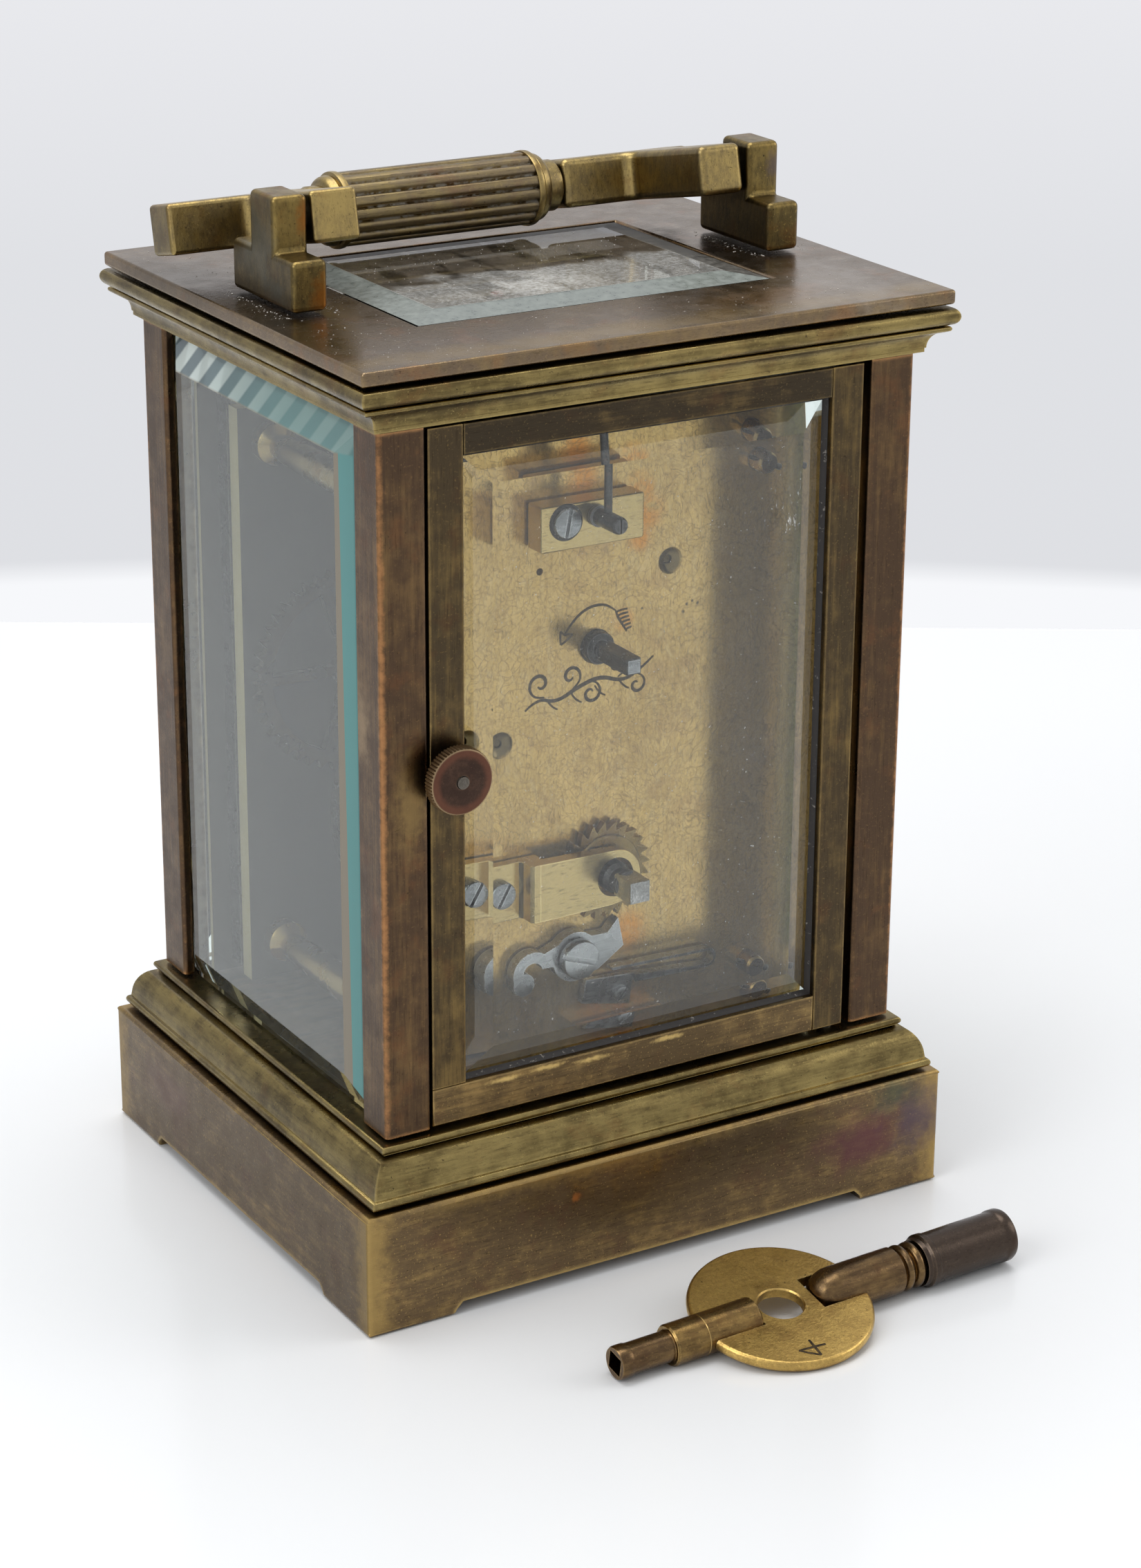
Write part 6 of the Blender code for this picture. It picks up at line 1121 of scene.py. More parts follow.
def strokes(name, lines, level, material, body, slot, frame_of=None, depth=0.02):
    """Tapering graver strokes on a flat face: each is its half width and its (x, z) points.

    The depth is for a half width of 0.1 mm, and grows with it.
    """
    bm = bmesh.new()
    for half, points in lines:
        curve = bpy.data.curves.new("stroke", "CURVE")
        curve.dimensions = "3D"
        curve.bevel_depth = half
        curve.bevel_resolution = 1
        curve.use_fill_caps = True
        spline = curve.splines.new("NURBS")
        spline.points.add(len(points) - 1)
        for i, (x, z) in enumerate(points):
            spline.points[i].co = (x, 0, z, 1)
            spline.points[i].radius = 0.35 + 0.65 * math.sin(math.pi * (i + 0.5) / len(points))
        spline.order_u = 3
        spline.use_endpoint_u = True
        spline.resolution_u = 5
        obj = bpy.data.objects.new("stroke", curve)
        bm.from_mesh(bpy.data.meshes.new_from_object(obj))
        bpy.data.objects.remove(obj)
    bmesh.ops.remove_doubles(bm, verts=bm.verts, dist=1e-4)
    flatten = Matrix.Diagonal((1, depth / 0.1, 1, 1))
    bmesh.ops.transform(bm, matrix=flatten, verts=bm.verts)
    bmesh.ops.recalc_face_normals(bm, faces=bm.faces)
    return part(name, placed(bm, (0, level, 0), frame_of), material, body, slot)


def spiral(centre, start, size, turns, hand=1):
    """Points of a scroll that winds in towards its centre."""
    points = []
    for share in [i / 13 for i in range(14)]:
        a = math.radians(start) + hand * TAU * turns * share
        r = size * (1 - 0.82 * share)
        points.append((centre[0] + r * math.cos(a), centre[1] + r * math.sin(a)))
    return points


arrow = [(0.22, [(4.6, 77.9), (3.85, 78.92), (2.44, 80.31), (0.9, 81.0), (-0.5, 81.1), (-1.8, 80.75),
    (-2.85, 79.9)])]
arrow += [(0.20, [(5.0, 76.8), (5.1, 77.7), (5.05, 78.55)]), (0.20, [(5.0, 76.8), (4.1, 77.2), (3.35, 77.9)])]
arrow += [(0.17, [(5.05, 78.55), (4.5, 77.9), (4.2, 78.1), (3.35, 77.9)])]
arrow += [(0.22, [(-2.8, 79.9), (-3.05, 79.1), (-3.6, 78.3), (-4.4, 77.0)])]
arrow += [(0.20, [(-2.95 - 0.24 * i, 79.75 - 0.50 * i), (-3.6 - 0.22 * i, 79.95 - 0.50 * i),
    (-4.5 - 0.12 * i, 79.9 - 0.48 * i)]) for i in range(6)]
strokes("engraved_arrow", arrow, BACK_OUT, engraved_line, "case", "movement_brass")
scroll = [(0.31, [(9.2, 69.3), (7.6, 70.6), (5.2, 69.6), (2.4, 71.0), (-0.6, 71.8), (-3.2, 70.7), (-5.4, 71.4),
    (-7.5, 73.0)])]
scroll += [(0.27, spiral((7.3, 72.1), 250, 1.7, 1.2)), (0.26, spiral((3.3, 72.4), 260, 1.5, 1.15, hand=-1))]
scroll += [(0.26, spiral((0.7, 70.0), 80, 1.5, 1.2)), (0.26, spiral((-2.7, 72.7), 265, 1.4, 1.2, hand=-1)),
    (0.24, spiral((-5.3, 70.0), 90, 1.3, 1.1))]
scroll += [(0.18, [(6.4 - 3.1 * i, 70.2 + 0.3 * i), (5.9 - 3.1 * i, 69.2 + 0.3 * i),
    (5.0 - 3.1 * i, 68.8 + 0.3 * i)]) for i in range(4)]
MID_X, MID_Z, WIDER = 0.85, 71.3, 1.1
scroll = [(half, [(MID_X + WIDER * (x - MID_X), MID_Z + WIDER * (z - MID_Z)) for x, z in points])
    for half, points in scroll]
strokes("engraved_scroll", scroll, BACK_OUT, engraved_line, "case", "movement_brass")


# ---- Movement pillars ---------------------------------------------------------------------------
# Four turned brass pillars between the plates. Each end passes through its plate and is held
# by a taper pin.
SPIGOT_END, PIN_LEAN = 19.5, 24
low, high = -18.9, 14.3
length = high - low
stations = [(0, low - 2.4), (1.4, low - 2.4), (1.4, low), (2.6, low), (2.7, low + 0.15), (2.7, low + 2.0),
    (2.5, low + 2.25)]
stations += [(1.6 + 0.5 * math.sin(math.pi * t) ** 0.7 if 0 < t < 1 else 1.6, low + 3.0 + (length - 6.0) * t)
    for t in [i / 16 for i in range(17)]]
stations += [(2.5, high - 2.25), (2.7, high - 2.0), (2.7, high - 0.15), (2.6, high), (1.4, high),
    (1.4, SPIGOT_END - 0.3), (1.15, SPIGOT_END), (0, SPIGOT_END)]
for name, place in zip(("low_left", "low_right", "high_left", "high_right"), PILLARS):
    part("turned_pillar_" + name, placed(turning(stations, 40), at(place)), movement_brass, "case",
        "movement_brass", "movement_pillar_" + name)
    pin = turning([(0, -2.6), (0.42, -2.6), (0.30, 2.4), (0, 2.4)], 20, "X")
    spun(pin, math.copysign(PIN_LEAN, place[0]), "Y")
    part("taper_pin_" + name, placed(pin, at(place, 18.3)), dark_steel, "case", "steel")


# ---- Movement foot ------------------------------------------------------------------------------
# Brass block that stands on the deck behind the back plate and holds the movement down. A small
# steel screw goes through its rear face.
part("foot_block", placed(block((-10, BEHIND, 23.4), (3, 21.5, 26.0), 0.3, 3)), movement_brass, "case",
    "movement_brass", "movement_foot")


def screw_head(name, place, radius, high, slot_angle, material, reach=0.35):
    """A slotted cheese head on the face at `place`, in millimetres, turned with a small chamfer."""
    bm = turning([(0, -reach), (radius - 0.05, -reach), (radius, 0), (radius, high - 0.22),
        (radius - 0.1, high - 0.06), (radius - 0.28, high), (0, high)], 56)
    obj = part(name, placed(bm, place), material, "case", "steel")
    across = Matrix.Translation(place) @ Matrix.Rotation(math.radians(slot_angle), 4, "Y")
    floor, half = high * 0.45, radius * 0.13
    cut(obj, placed(block((-radius - 1, floor, -half), (radius + 1, high + 1, half), 0), frame_of=across))
    return obj


screw_head("foot_screw", (-3.5, 21.5, 24.75), 0.95, 0.35, 35, bright_steel)


# ---- Going train --------------------------------------------------------------------------------
# Barrel and four wheels with their pinions, from the mainspring up to the crown wheel. They are
# brass with polished steel-grey arbors, cut in the CAD.
# Their brass is far darker than the rest: painted shade for the dark inside of the case.
train_brass_painted_shade = brass_finish("train_brass_painted_shade", (0.085, 0.06, 0.026), (0.036, 0.027, 0.014), (0.05, 0.024, 0.012),
    (0.13, 0.095, 0.042), cover=0.45, stains=0.3, width=0.25, edges=0.7, gloss=0.30, grain=(1, 0.3, 1),
    speck=0.2, bump=0.01)
keep_node(train_brass_painted_shade, "mainspring_barrel", "centre_wheel", "second_wheel", "third_wheel", "contrate_wheel",
    "escape_wheel")


# ---- Winding arbor and ratchet ------------------------------------------------------------------
# Steel arbor through the barrel with a square for the key, and the brass ratchet wheel that
# keeps the spring wound.
def square_tip(side, start, end, chamfer):
    """The filed square end of an arbor, from start to end, with chamfered corners."""
    half = side / 2
    bm = block((-half, start, -half), (half, end, half), 0)
    round_edges(bm, chamfer, 2, chosen=lambda e: min(v.co.y for v in e.verts) > end - 0.01)
    return round_edges(bm, half * 0.14, 2, chosen=lambda e: abs(e.verts[0].co.y - e.verts[1].co.y) > (
        end - start) * 0.6)


polished_steel = steel_finish("polished_steel", (0.45, 0.44, 0.43), (0.18, 0.175, 0.17), 0.17, (1, 0.2, 1), 0.1,
    0.006)
stations = [(0, -21.3), (1.9, -21.3), (1.9, -18.9), (2.0, -18.9), (2.0, 21.0), (1.85, 21.2), (1.55, 21.6),
    (1.55, 22.6), (1.8, 23.1), (1.7, 23.5), (0, 23.6)]
part("winding_arbor_turned", placed(turning(stations, 40), at(WINDING)), dark_steel, "winding", "steel",
    "winding_arbor")
part("winding_square", placed(square_tip(2.9, 22.8, 26.6, 0.3), at(WINDING)), polished_steel, "winding",
    "steel")
ratchet_brass = brass_finish("ratchet_brass", (0.22, 0.15, 0.055), (0.08, 0.055, 0.024), (0.10, 0.04, 0.015),
    (0.5, 0.36, 0.15), cover=0.45, stains=0.4, width=0.3, edges=0.8, gloss=0.28, grain=(1, 1, 0.3), speck=0.2,
    bump=0.01)
RATCHET_TEETH = 24
TOOTH = ((0.05, 5.32), (0.30, 5.62), (0.60, 6.05), (0.88, 6.48), (0.95, 6.5))
teeth = []
for i in range(RATCHET_TEETH):
    for share, radius in TOOTH:
        angle = TAU * (i + share) / RATCHET_TEETH
        teeth.append((radius * math.cos(angle), radius * math.sin(angle)))
bm = outline([teeth, hole((0, 0), 2.05)], BEHIND, 18.4)
round_edges(bm, 0.07, 2, 50)
part("ratchet_teeth", placed(bm, at(WINDING)), ratchet_brass, "winding", "movement_brass", "ratchet_wheel")
boss = [(2.05, 18.3), (4.85, 18.3), (4.85, 18.62), (4.68, 18.8), (2.05, 18.8)]
part("ratchet_boss", placed(turning(boss, 56, closed=True), at(WINDING)), ratchet_brass, "winding",
    "movement_brass")


# ---- Winding cock -------------------------------------------------------------------------------
# Polished brass bridge over the ratchet: a round bearing, a straight arm, and a step down to a
# foot held by two screws.
cock_brass = brass_finish("cock_brass", (0.52, 0.39, 0.17), (0.33, 0.23, 0.09), (0.28, 0.12, 0.04),
    (0.75, 0.6, 0.3), cover=0.34, stains=0.3, width=0.4, edges=0.9, gloss=0.22, grain=(0.15, 1, 1), speck=0.12,
    bump=0.01)
COCK_FACE, COCK_UNDER, COCK_HALF = 20.8, 19.1, 3.8
STEP_IN, STEP_OUT, FOOT_END, FOOT_FACE = 8.8, 11.2, 20.7, 18.4
arm = curve_points(WINDING, 3.62, 95, 265, 28) + [(STEP_IN + 1.2, WINDING[1] - COCK_HALF),
    (STEP_IN + 1.2, WINDING[1] + COCK_HALF)]
bm = outline([arm, hole(WINDING, 2.5, 40)], COCK_UNDER, COCK_FACE)
round_edges(bm, 0.16, 3, 50, lambda e: max(v.co.x for v in e.verts) < STEP_IN + 1)
part("winding_cock_arm", placed(bm), cock_brass, "case", "movement_brass", "winding_cock")
side = [(STEP_IN, BEHIND), (FOOT_END, BEHIND), (FOOT_END, FOOT_FACE), (STEP_OUT + 0.5, FOOT_FACE),
    (STEP_OUT + 0.1, FOOT_FACE + 0.4), (STEP_OUT, COCK_FACE - 0.4), (STEP_OUT - 0.4, COCK_FACE),
    (STEP_IN, COCK_FACE)]
bm = outline([side], WINDING[1] - COCK_HALF, WINDING[1] + COCK_HALF, "Z")
round_edges(bm, 0.14, 3, 50, lambda e: min(v.co.x for v in e.verts) > STEP_IN + 0.1)
part("winding_cock_foot", placed(bm), cock_brass, "case", "movement_brass")
screw_head("cock_screw_high", (14.3, FOOT_FACE, WINDING[1]), 1.75, 1.0, 60, bright_steel)
screw_head("cock_screw_low", (18.6, FOOT_FACE, WINDING[1] - 1.9), 0.95, 0.45, 15, bright_steel)


# ---- Click --------------------------------------------------------------------------------------
# Steel click that holds the ratchet, turned up in a scroll at its tail. It swings under a big
# slotted screw, and its faces are brushed.
click_steel = steel_finish("click_steel", (0.42, 0.43, 0.435), (0.33, 0.335, 0.34), 0.25, (0.12, 1, 1), 0.03,
    0.005)
tip_angle = math.radians(256.4)
tip = (WINDING[0] - CLICK[0] + 6.65 * math.cos(tip_angle), WINDING[1] - CLICK[1] + 6.65 * math.sin(tip_angle))
shape = [tip, (-4.6, 2.3), (-2.3, 2.35)] + curve_points((0, 0), 3.3, 115, 40, 12)
shape += curve_points((6.2, -1.0), 2.85, 125, -15, 16) + curve_points((7.5, -2.3), 1.5, 5, -273, 26)
shape += curve_points((6.2, -1.0), 1.4, 8, 165, 12) + curve_points((0, 0), 3.3, -12, -115, 14) + [(-3.4, -2.3),
    (-7.0, 0.1)]
bm = outline([shape, hole((0, 0), 1.4)], BEHIND, 18.9)
round_edges(bm, 0.14, 2, 55)
part("click_lever", placed(bm, at(CLICK)), click_steel, "click", "steel", "click")
shank = [(0, 14.9), (1.3, 14.9), (1.3, 19.3), (0, 19.3)]
part("click_screw_shank", placed(turning(shank, 32), at(CLICK)), dark_steel, "case", "steel")
screw = screw_head("click_screw_head", at(CLICK, 19.2), 2.55, 1.3, -20, click_steel, reach=0.0)
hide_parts("click_screw")


# ---- Click spring -------------------------------------------------------------------------------
# Hairpin of thin steel strip that presses on the click's tail. It is bent back to a flat foot,
# which a screw holds to the plate.
START, FOOT_AT = (CLICK[0] - 5.4, CLICK[1] - 2.9), (CLICK[0] - 8.9, CLICK[1] - 4.6)
BEND = (-16.0, 31.5)
outer = [(START[0], START[1] + 0.2)] + curve_points(BEND, 1.3, 85, 275, 20) + [(FOOT_AT[0], FOOT_AT[1] - 0.8)]
inner = [(FOOT_AT[0], FOOT_AT[1] + 0.2)] + curve_points(BEND, 0.9, 275, 85, 20) + [(START[0], START[1] - 0.2)]
part("click_spring_strip", placed(outline([outer + inner], 17.5, 18.9)), bright_steel, "case", "steel",
    "click_spring")
plate = [(FOOT_AT[0] - 0.2, FOOT_AT[1] + 0.2), (CLICK[0] - 1.9, CLICK[1] - 3.9),
    (CLICK[0] - 1.2, CLICK[1] - 7.0)]
plate += [(CLICK[0] - 8.4, CLICK[1] - 8.6), (FOOT_AT[0] + 0.2, FOOT_AT[1] - 1.2)]
part("click_spring_foot", placed(round_edges(outline([plate], BEHIND, 18.3), 0.12, 2)), bright_steel, "case",
    "steel")
screw_head("click_spring_screw", (-3.2, 18.3, 29.2), 1.05, 0.7, 50, bright_steel)


# ---- Centre arbor and motion work ---------------------------------------------------------------
# Steel arbor from the setting square behind to the minute hand in front, with the cannon
# pinion, the minute wheel and the hour wheel under the dial.
hub = [(0, 14.6), (2.1, 14.6), (2.1, 17.95), (1.95, 18.2), (1.5, 18.25), (1.2, 18.4), (1.2, 19.1), (0, 19.1)]
setting_black = steel_finish("setting_black", (0.055, 0.053, 0.05), (0.018, 0.017, 0.016), 0.28, (1, 0.15, 1),
    0.1, 0.008, (0.30, 0.30, 0.29))
part("setting_hub", placed(turning(hub, 40), at(CENTRE)), setting_black, "hands", "steel")
part("setting_square", placed(square_tip(2.1, 18.6, 25.9, 0.25), at(CENTRE)), setting_black, "hands", "steel")
# The square's end face is a thin cap of bright steel: a painted highlight where light falls on the tip.
part("setting_square_painted_highlight", placed(square_tip(1.75, 25.6, 25.96, 0.12), at(CENTRE)), bright_steel, "hands",
    "steel")
front = [(0, -27.3), (0.63, -27.3), (0.72, -27.2), (0.72, -26.0), (0.9, -26.0), (0.9, 14.7), (0, 14.7)]
part("centre_arbor_turned", placed(turning(front, 32), at(CENTRE)), polished_steel, "hands", "steel",
    "centre_arbor")
# The motion wheels take the same darkened brass: painted shade under the dial.
keep_node(train_brass_painted_shade, "minute_wheel", "hour_wheel")


# ---- Dial ---------------------------------------------------------------------------------------
# White enamel plate, slightly crazed, with black numbers and a minute track fired on. A brass
# surround closes the case round it, inside a dark steel bezel.
enamel_white, tree = empty_material("enamel_white")
place = millimetres(tree)
lines = ranged(cell_edges(place, 0.22), 0.006, 0.0, 0.0, 0.22)
tone = blended(noise(place, 0.05), (0.84, 0.82, 0.76, 1), (0.90, 0.885, 0.84, 1))
coat(tree, blended(lines, tone, (0.45, 0.40, 0.33, 1)), ranged(noise(place, 0.4), 0.3, 0.7, 0.10, 0.22))
keep_node(enamel_white, "dial")
SURROUND_X, SURROUND_LOW, SURROUND_HIGH = 30.5, 23.3, 110.9
rim = rectangle(-SURROUND_X, SURROUND_X, SURROUND_LOW, SURROUND_HIGH)
bm = outline([rim, rectangle(-27.1, 27.1, 25.4, 108.1)], -25.0, -24.3)
# The surround's front face is brass; its back is near black as painted shade, and its edges pale brass.
for face in bm.faces:
    face.material_index = 1 if face.normal.y < -0.5 else 0
surround = part("dial_surround", placed(bm), front_painted_shade, "case", "movement_brass")
surround.data.materials.append(movement_brass)
bezel = run_round([(0.08, -25.0), (0.8, -25.0), (0.8, -21.7), (0.08, -21.7)], 27.0, 41.25)
spun(bezel, 90, "X")
part("dial_bezel", placed(bezel, (0, -46.7, 66.75)), setting_black, "case", "movement_brass")
black_enamel = two_tone("black_enamel", 1.5, (0.012, 0.012, 0.014), (0.03, 0.03, 0.032), 0.3)
DIAL_FACE, DIAL_MID, TRACK_OUT, TRACK_IN = -25.1, 75.8, 21.4, 20.2
NUMBER_RING, NUMBER_SIZE, INK_DEEP = 16.6, 6.0, 0.017
bm = bmesh.new()
for radius in (TRACK_OUT, TRACK_IN):
    join(bm, turning(rectangle(radius - 0.07, radius + 0.07, 0.02, -0.015), 180, closed=True))
for i in range(60):
    wide = 0.22 if i % 5 == 0 else 0.07
    verts = bmesh.ops.create_cube(bm, size=1)["verts"]
    bmesh.ops.scale(bm, vec=(2 * wide, 0.035, TRACK_OUT - TRACK_IN), verts=verts)
    bmesh.ops.translate(bm, vec=(0, 0.0025, (TRACK_OUT + TRACK_IN) / 2), verts=verts)
    spun(bm, 6 * i, "Y", verts)
for hour, text in enumerate(("XII", "I", "II", "III", "IIII", "V", "VI", "VII", "VIII", "IX", "X", "XI")):
    letters = bpy.data.curves.new("number", "FONT")
    letters.body = text
    letters.size = NUMBER_SIZE
    letters.extrude = INK_DEEP
    letters.align_x = "CENTER"
    letters.align_y = "CENTER"
    obj = bpy.data.objects.new("number", letters)
    mesh = bpy.data.meshes.new_from_object(obj)
    bpy.data.objects.remove(obj)
    upright = Matrix.Translation((0, 0, NUMBER_RING)) @ Matrix.Rotation(math.pi / 2, 4, "X")
    mesh.transform(Matrix.Rotation(-TAU * hour / 12, 4, Vector((0, -1, 0))) @ upright)
    bm.from_mesh(mesh)
    bpy.data.meshes.remove(mesh)
bmesh.ops.remove_doubles(bm, verts=bm.verts, dist=1e-4)
part("dial_numbers", placed(bm, (0, DIAL_FACE, DIAL_MID)), black_enamel, "case", "enamel")


# ---- Hands --------------------------------------------------------------------------------------
# Spade hands cut from thin steel sheet, filed smooth and blued by heat. They press on to the
# hour wheel's pipe and the centre arbor.
blued_steel = clouded("blued_steel", 0.35, (0.015, 0.022, 0.10), (0.045, 0.05, 0.20), 0.18, 0.3, Metallic=1.0)
keep_node(blued_steel, "hour_hand", "minute_hand")


# ---- Platform escapement ------------------------------------------------------------------------
# Gilt platform on top of the plates, with the lever, the balance under its cock, the
# hairspring, and red jewels in which the staff turns.
platform_gilt = brass_finish("platform_gilt", (0.22, 0.17, 0.085), (0.12, 0.095, 0.05), (0.12, 0.07, 0.03),
    (0.35, 0.27, 0.13), cover=0.4, stains=0.2, width=0.2, edges=0.7, gloss=0.36, grain=(1, 1, 1), speck=0.15,
    bump=0.012)
keep_node(platform_gilt, "platform", "balance_cock")
keep_node(polished_steel, "pallet_lever")
balance_gold = brass_finish("balance_gold", (0.4, 0.31, 0.15), (0.28, 0.21, 0.1), (0.2, 0.12, 0.05),
    (0.5, 0.4, 0.2), cover=0.3, stains=0.1, width=0.2, gloss=0.2, grain=(1, 1, 1), speck=0.1, bump=0.005)
keep_node(balance_gold, "balance_wheel")
BALANCE = (CONTRATE[0], -7.0)
RIM_MID = 107.4
bm = bmesh.new()
RIM_SCREWS, SCREW_RING = 14, 8.25
for i in range(RIM_SCREWS):
    if i % (RIM_SCREWS // 2) == 0:
        continue
    head = bmesh.ops.create_cone(bm, cap_ends=True, segments=14, radius1=0.38, radius2=0.34,
        depth=0.55)["verts"]
    outwards = Matrix.Translation((SCREW_RING, 0, 0)) @ Matrix.Rotation(math.pi / 2, 4, "Y")
    bmesh.ops.transform(bm, matrix=Matrix.Rotation(TAU * i / RIM_SCREWS, 4, "Z") @ outwards, verts=head)
part("balance_screws", placed(bm, (*BALANCE, RIM_MID)), balance_gold, "balance", "movement_brass")
COIL_START, COIL_GROWS, COIL_TURNS, COIL_STEPS = 1.1, 3.4, 7, 180
coil = [(COIL_START + COIL_GROWS * i / COIL_STEPS, TAU * COIL_TURNS * i / COIL_STEPS)
    for i in range(COIL_STEPS + 1)]
hairspring = [(0.05, [(r * math.cos(a), r * math.sin(a)) for r, a in coil])]
lay = Matrix.Translation((*BALANCE, 108.3)) @ Matrix.Rotation(-math.pi / 2, 4, "X")
strokes("hairspring", hairspring, 0, blued_steel, "balance", "blued_steel", lay, depth=0.3)
ruby = two_tone("ruby", 2.5, (0.45, 0.01, 0.04), (0.62, 0.03, 0.08), 0.06)
jewel = [(0.12, -0.3), (0.85, -0.3), (0.85, 0.0), (0.62, 0.12), (0.2, 0.02), (0.12, -0.02)]
bm = bmesh.new()
for x, y, z in ((*BALANCE, 111.3), (BALANCE[0], 5.8, 102.7), (BALANCE[0], -0.3, 102.7)):
    stone = turning(jewel, 32, "Z", closed=True)
    bmesh.ops.translate(stone, vec=(x, y, z), verts=stone.verts)
    join(bm, stone)
part("jewels", placed(bm), ruby, "case", "movement_brass")


# ---- Contrate cock and regulator rod ------------------------------------------------------------
# Brass block over the contrate arbor's rear pivot, held by one screw. A slotted steel stud in it
# clamps the grey rod that reaches up to the regulator.
part("contrate_cock_block", placed(block((-4.5, BEHIND, 90.0), (9.9, 20.6, 95.7), 0.28, 3)), cock_brass, "case",
    "movement_brass", "contrate_cock")
# A thin black disc round the screw head stands in for the shade in its countersink: painted shade.
countersink_shade_disc = turning([(0, 20.5), (2.3, 20.5), (2.3, 20.64), (0, 20.64)], 40)
part("cock_countersink_painted_shade", placed(countersink_shade_disc, (6.5, 0, 93.5)), putty_and_painted_shade_black, "case", "steel")
screw_head("contrate_cock_screw", (6.5, 20.55, 93.5), 1.85, 0.75, 80, bright_steel)
STUD = (2.2, 93.8)
stud = [(0, 20.7), (1.35, 20.7), (1.35, 21.3), (1.1, 21.4), (1.1, 25.7), (1.0, 26.05), (0.85, 26.2), (0, 26.2)]
obj = part("regulator_stud", placed(turning(stud, 40), at(STUD)), dark_steel, "case", "steel", "regulator_rod")
cut(obj, placed(block((-0.13, 25.6, -2), (0.13, 27, 2), 0), at(STUD), Matrix()))
rod = turning([(0, 94.4), (0.5, 94.4), (0.5, 104.2), (0.35, 104.5), (0, 104.5)], 32, "Z")
part("regulator_rod_wire", placed(rod, (STUD[0], 23.14, 0)), dark_steel, "case", "steel")


# ---- Winding key --------------------------------------------------------------------------------
# Cast brass bow with a hole, stamped with its size. A brown-gold sleeve holds the dark winding
# barrel at one end, and a slimmer one holds the tube for setting the hands.
ROLL_DOWN, BOW_RADIUS, BOW_HALF = math.radians(9.8), 11.5, 0.73
key_high = BOW_RADIUS * math.sin(ROLL_DOWN) + BOW_HALF * math.cos(ROLL_DOWN) + 0.05
tilt = math.asin((3.4 + 0.05 - key_high) / 34.0)
key_frame = Matrix.Translation((-2.4, 58.4, key_high)) @ Euler(
    (ROLL_DOWN, -tilt, math.radians(181.2))).to_matrix().to_4x4()
key_gold = brass_finish("key_gold", (0.64, 0.43, 0.13), (0.42, 0.275, 0.085), (0.12, 0.05, 0.02),
    (0.62, 0.45, 0.18), cover=0.52, stains=0.35, width=0.6, edges=0.85, gloss=0.33, grain=(1, 1, 1), speck=0.8,
    bump=0.06)
sleeve_brown = brass_finish("sleeve_brown", (0.23, 0.145, 0.062), (0.095, 0.060, 0.032), (0.07, 0.03, 0.018),
    (0.42, 0.27, 0.11), cover=0.54, stains=0.4, width=0.45, edges=0.8, gloss=0.27, grain=(0.15, 1, 1),
    speck=0.5)
sleeve_gold = brass_finish("sleeve_gold", (0.32, 0.205, 0.07), (0.13, 0.082, 0.034), (0.10, 0.045, 0.02),
    (0.60, 0.42, 0.16), cover=0.54, stains=0.4, width=0.5, edges=0.9, gloss=0.27, grain=(0.15, 1, 1), speck=0.6)
barrel_dark = brass_finish("barrel_dark", (0.13, 0.095, 0.066), (0.064, 0.048, 0.038), (0.05, 0.027, 0.018),
    (0.24, 0.17, 0.11), cover=0.62, stains=0.4, width=0.4, edges=0.7, gloss=0.29, grain=(0.25, 1, 1), speck=0.4,
    bump=0.03)
bow = [(2.85, -BOW_HALF + 0.18), (3.0, -BOW_HALF), (BOW_RADIUS - 0.5, -BOW_HALF)]
bow += curve_points((BOW_RADIUS - 0.5, 0), 0.5, -60, 60, 4, rise=BOW_HALF)
bow += [(BOW_RADIUS - 0.5, BOW_HALF), (3.0, BOW_HALF), (2.85, BOW_HALF - 0.18)]
bm = placed(turning(bow, 96, "Z", closed=True), frame_of=key_frame)
bow_piece = part("key_bow_cast", bm, key_gold, "case", "key_brass", "key_bow", smooth=50)
for radius, start, end in ((3.05, 4.45, 20), (2.65, -20, -3.95)):
    rod = turning([(0, start), (radius, start), (radius, end), (0, end)], 40, "X")
    cut(bow_piece, placed(rod, frame_of=key_frame))

big = [(0, 4.6), (1.2, 4.7), (2.1, 5.25), (2.7, 6.2), (2.95, 7.1), (3.0, 7.8), (3.0, 16.75), (2.85, 17.0),
    (2.45, 17.2), (2.4, 17.4)]
big += curve_points((2.4, 17.95), 0.55, -60, 90, 5) + [(2.3, 18.9)]
big += curve_points((2.3, 19.55), 0.62, -60, 90, 5, rise=0.65) + [(2.3, 20.4), (0, 20.4)]
part("key_big_sleeve", placed(turning(big, 64, "X"), frame_of=key_frame), sleeve_brown, "case", "key_brass",
    "key_big_barrel")
barrel = [(0, 20.3), (3.0, 20.3), (3.1, 20.9), (3.4, 21.2), (3.4, 21.9), (3.25, 22.1), (3.28, 27.0),
    (3.25, 32.3), (3.4, 32.6), (3.4, 33.6), (3.25, 33.95), (2.9, 34.0), (0, 34.0)]
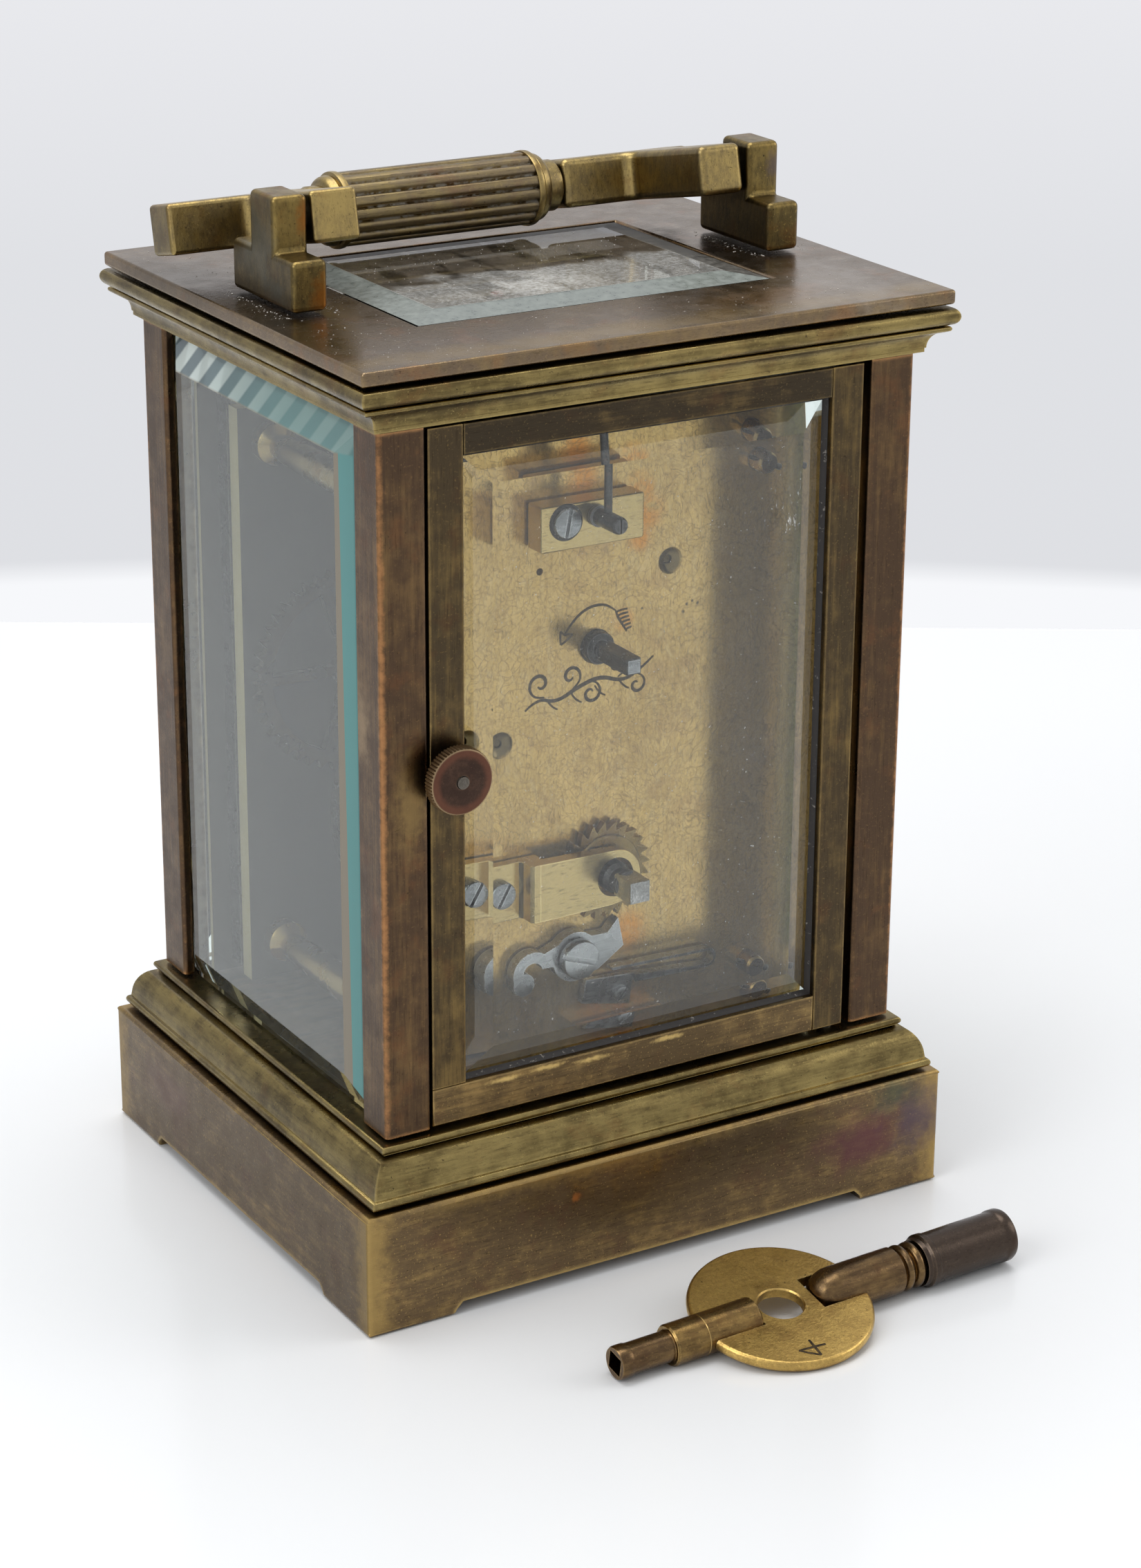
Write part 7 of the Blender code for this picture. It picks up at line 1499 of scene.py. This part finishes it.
obj = part("key_big_tube", placed(turning(barrel, 64, "X"), frame_of=key_frame), barrel_dark, "case",
    "key_dark")
cut(obj, placed(block((28.0, -1.55, -1.55), (35, 1.55, 1.55), 0.1, 1), frame_of=key_frame))
small = [(0, -4.1), (2.4, -4.1), (2.6, -4.35), (2.6, -11.75), (2.55, -11.82), (2.55, -11.86), (2.6, -11.93),
    (2.6, -16.15), (2.4, -16.4), (0, -16.4)]
part("key_small_sleeve", placed(turning(small, 56, "X"), frame_of=key_frame), sleeve_gold, "case", "key_brass",
    "key_small_barrel")
tube = [(0, -16.3), (2.1, -16.3), (1.95, -16.6), (1.98, -22.0), (2.1, -22.3), (2.1, -23.5), (1.95, -23.8),
    (0, -23.8)]
obj = part("key_small_tube", placed(turning(tube, 56, "X"), frame_of=key_frame), sleeve_brown, "case",
    "key_dark")
cut(obj, placed(block((-25, -1.2, -1.2), (-17.8, 1.2, 1.2), 0.1, 1), frame_of=key_frame))
four = [(0.24, [(-3.22, -8.47), (-1.4, -8.62), (0.43, -8.81)]),
    (0.22, [(-3.22, -8.47), (-2.2, -9.5), (-1.21, -10.3)])]
four += [(0.24, [(-1.21, -10.3), (-1.1, -8.8), (-0.96, -7.3)])]
lay = key_frame @ Matrix.Translation((0, 0, BOW_HALF)) @ Matrix.Rotation(-math.pi / 2, 4, "X")
strokes("key_size_four", four, 0, engraved_line, "case", "key_brass", lay, depth=0.03)


# ---- Even shading -------------------------------------------------------------------------------
# Each made piece takes normals weighted by the area of its faces, so that a flat face stays
# flat up to its rounded edge.
kept = set(NODES.values())
made = [obj for obj in bpy.context.scene.objects if obj.type == "MESH" and obj not in kept]
for obj in made:
    even = obj.modifiers.new("even_shading", "WEIGHTED_NORMAL")
    even.keep_sharp = True
    even.weight = 60
bpy.context.view_layer.update()
shown = bpy.context.evaluated_depsgraph_get()
for obj in made:
    rough = obj.data
    obj.data = bpy.data.meshes.new_from_object(obj.evaluated_get(shown))
    obj.data.name = rough.name
for obj in made:
    obj.modifiers.clear()

bpy.context.scene.view_settings.view_transform = "Standard"
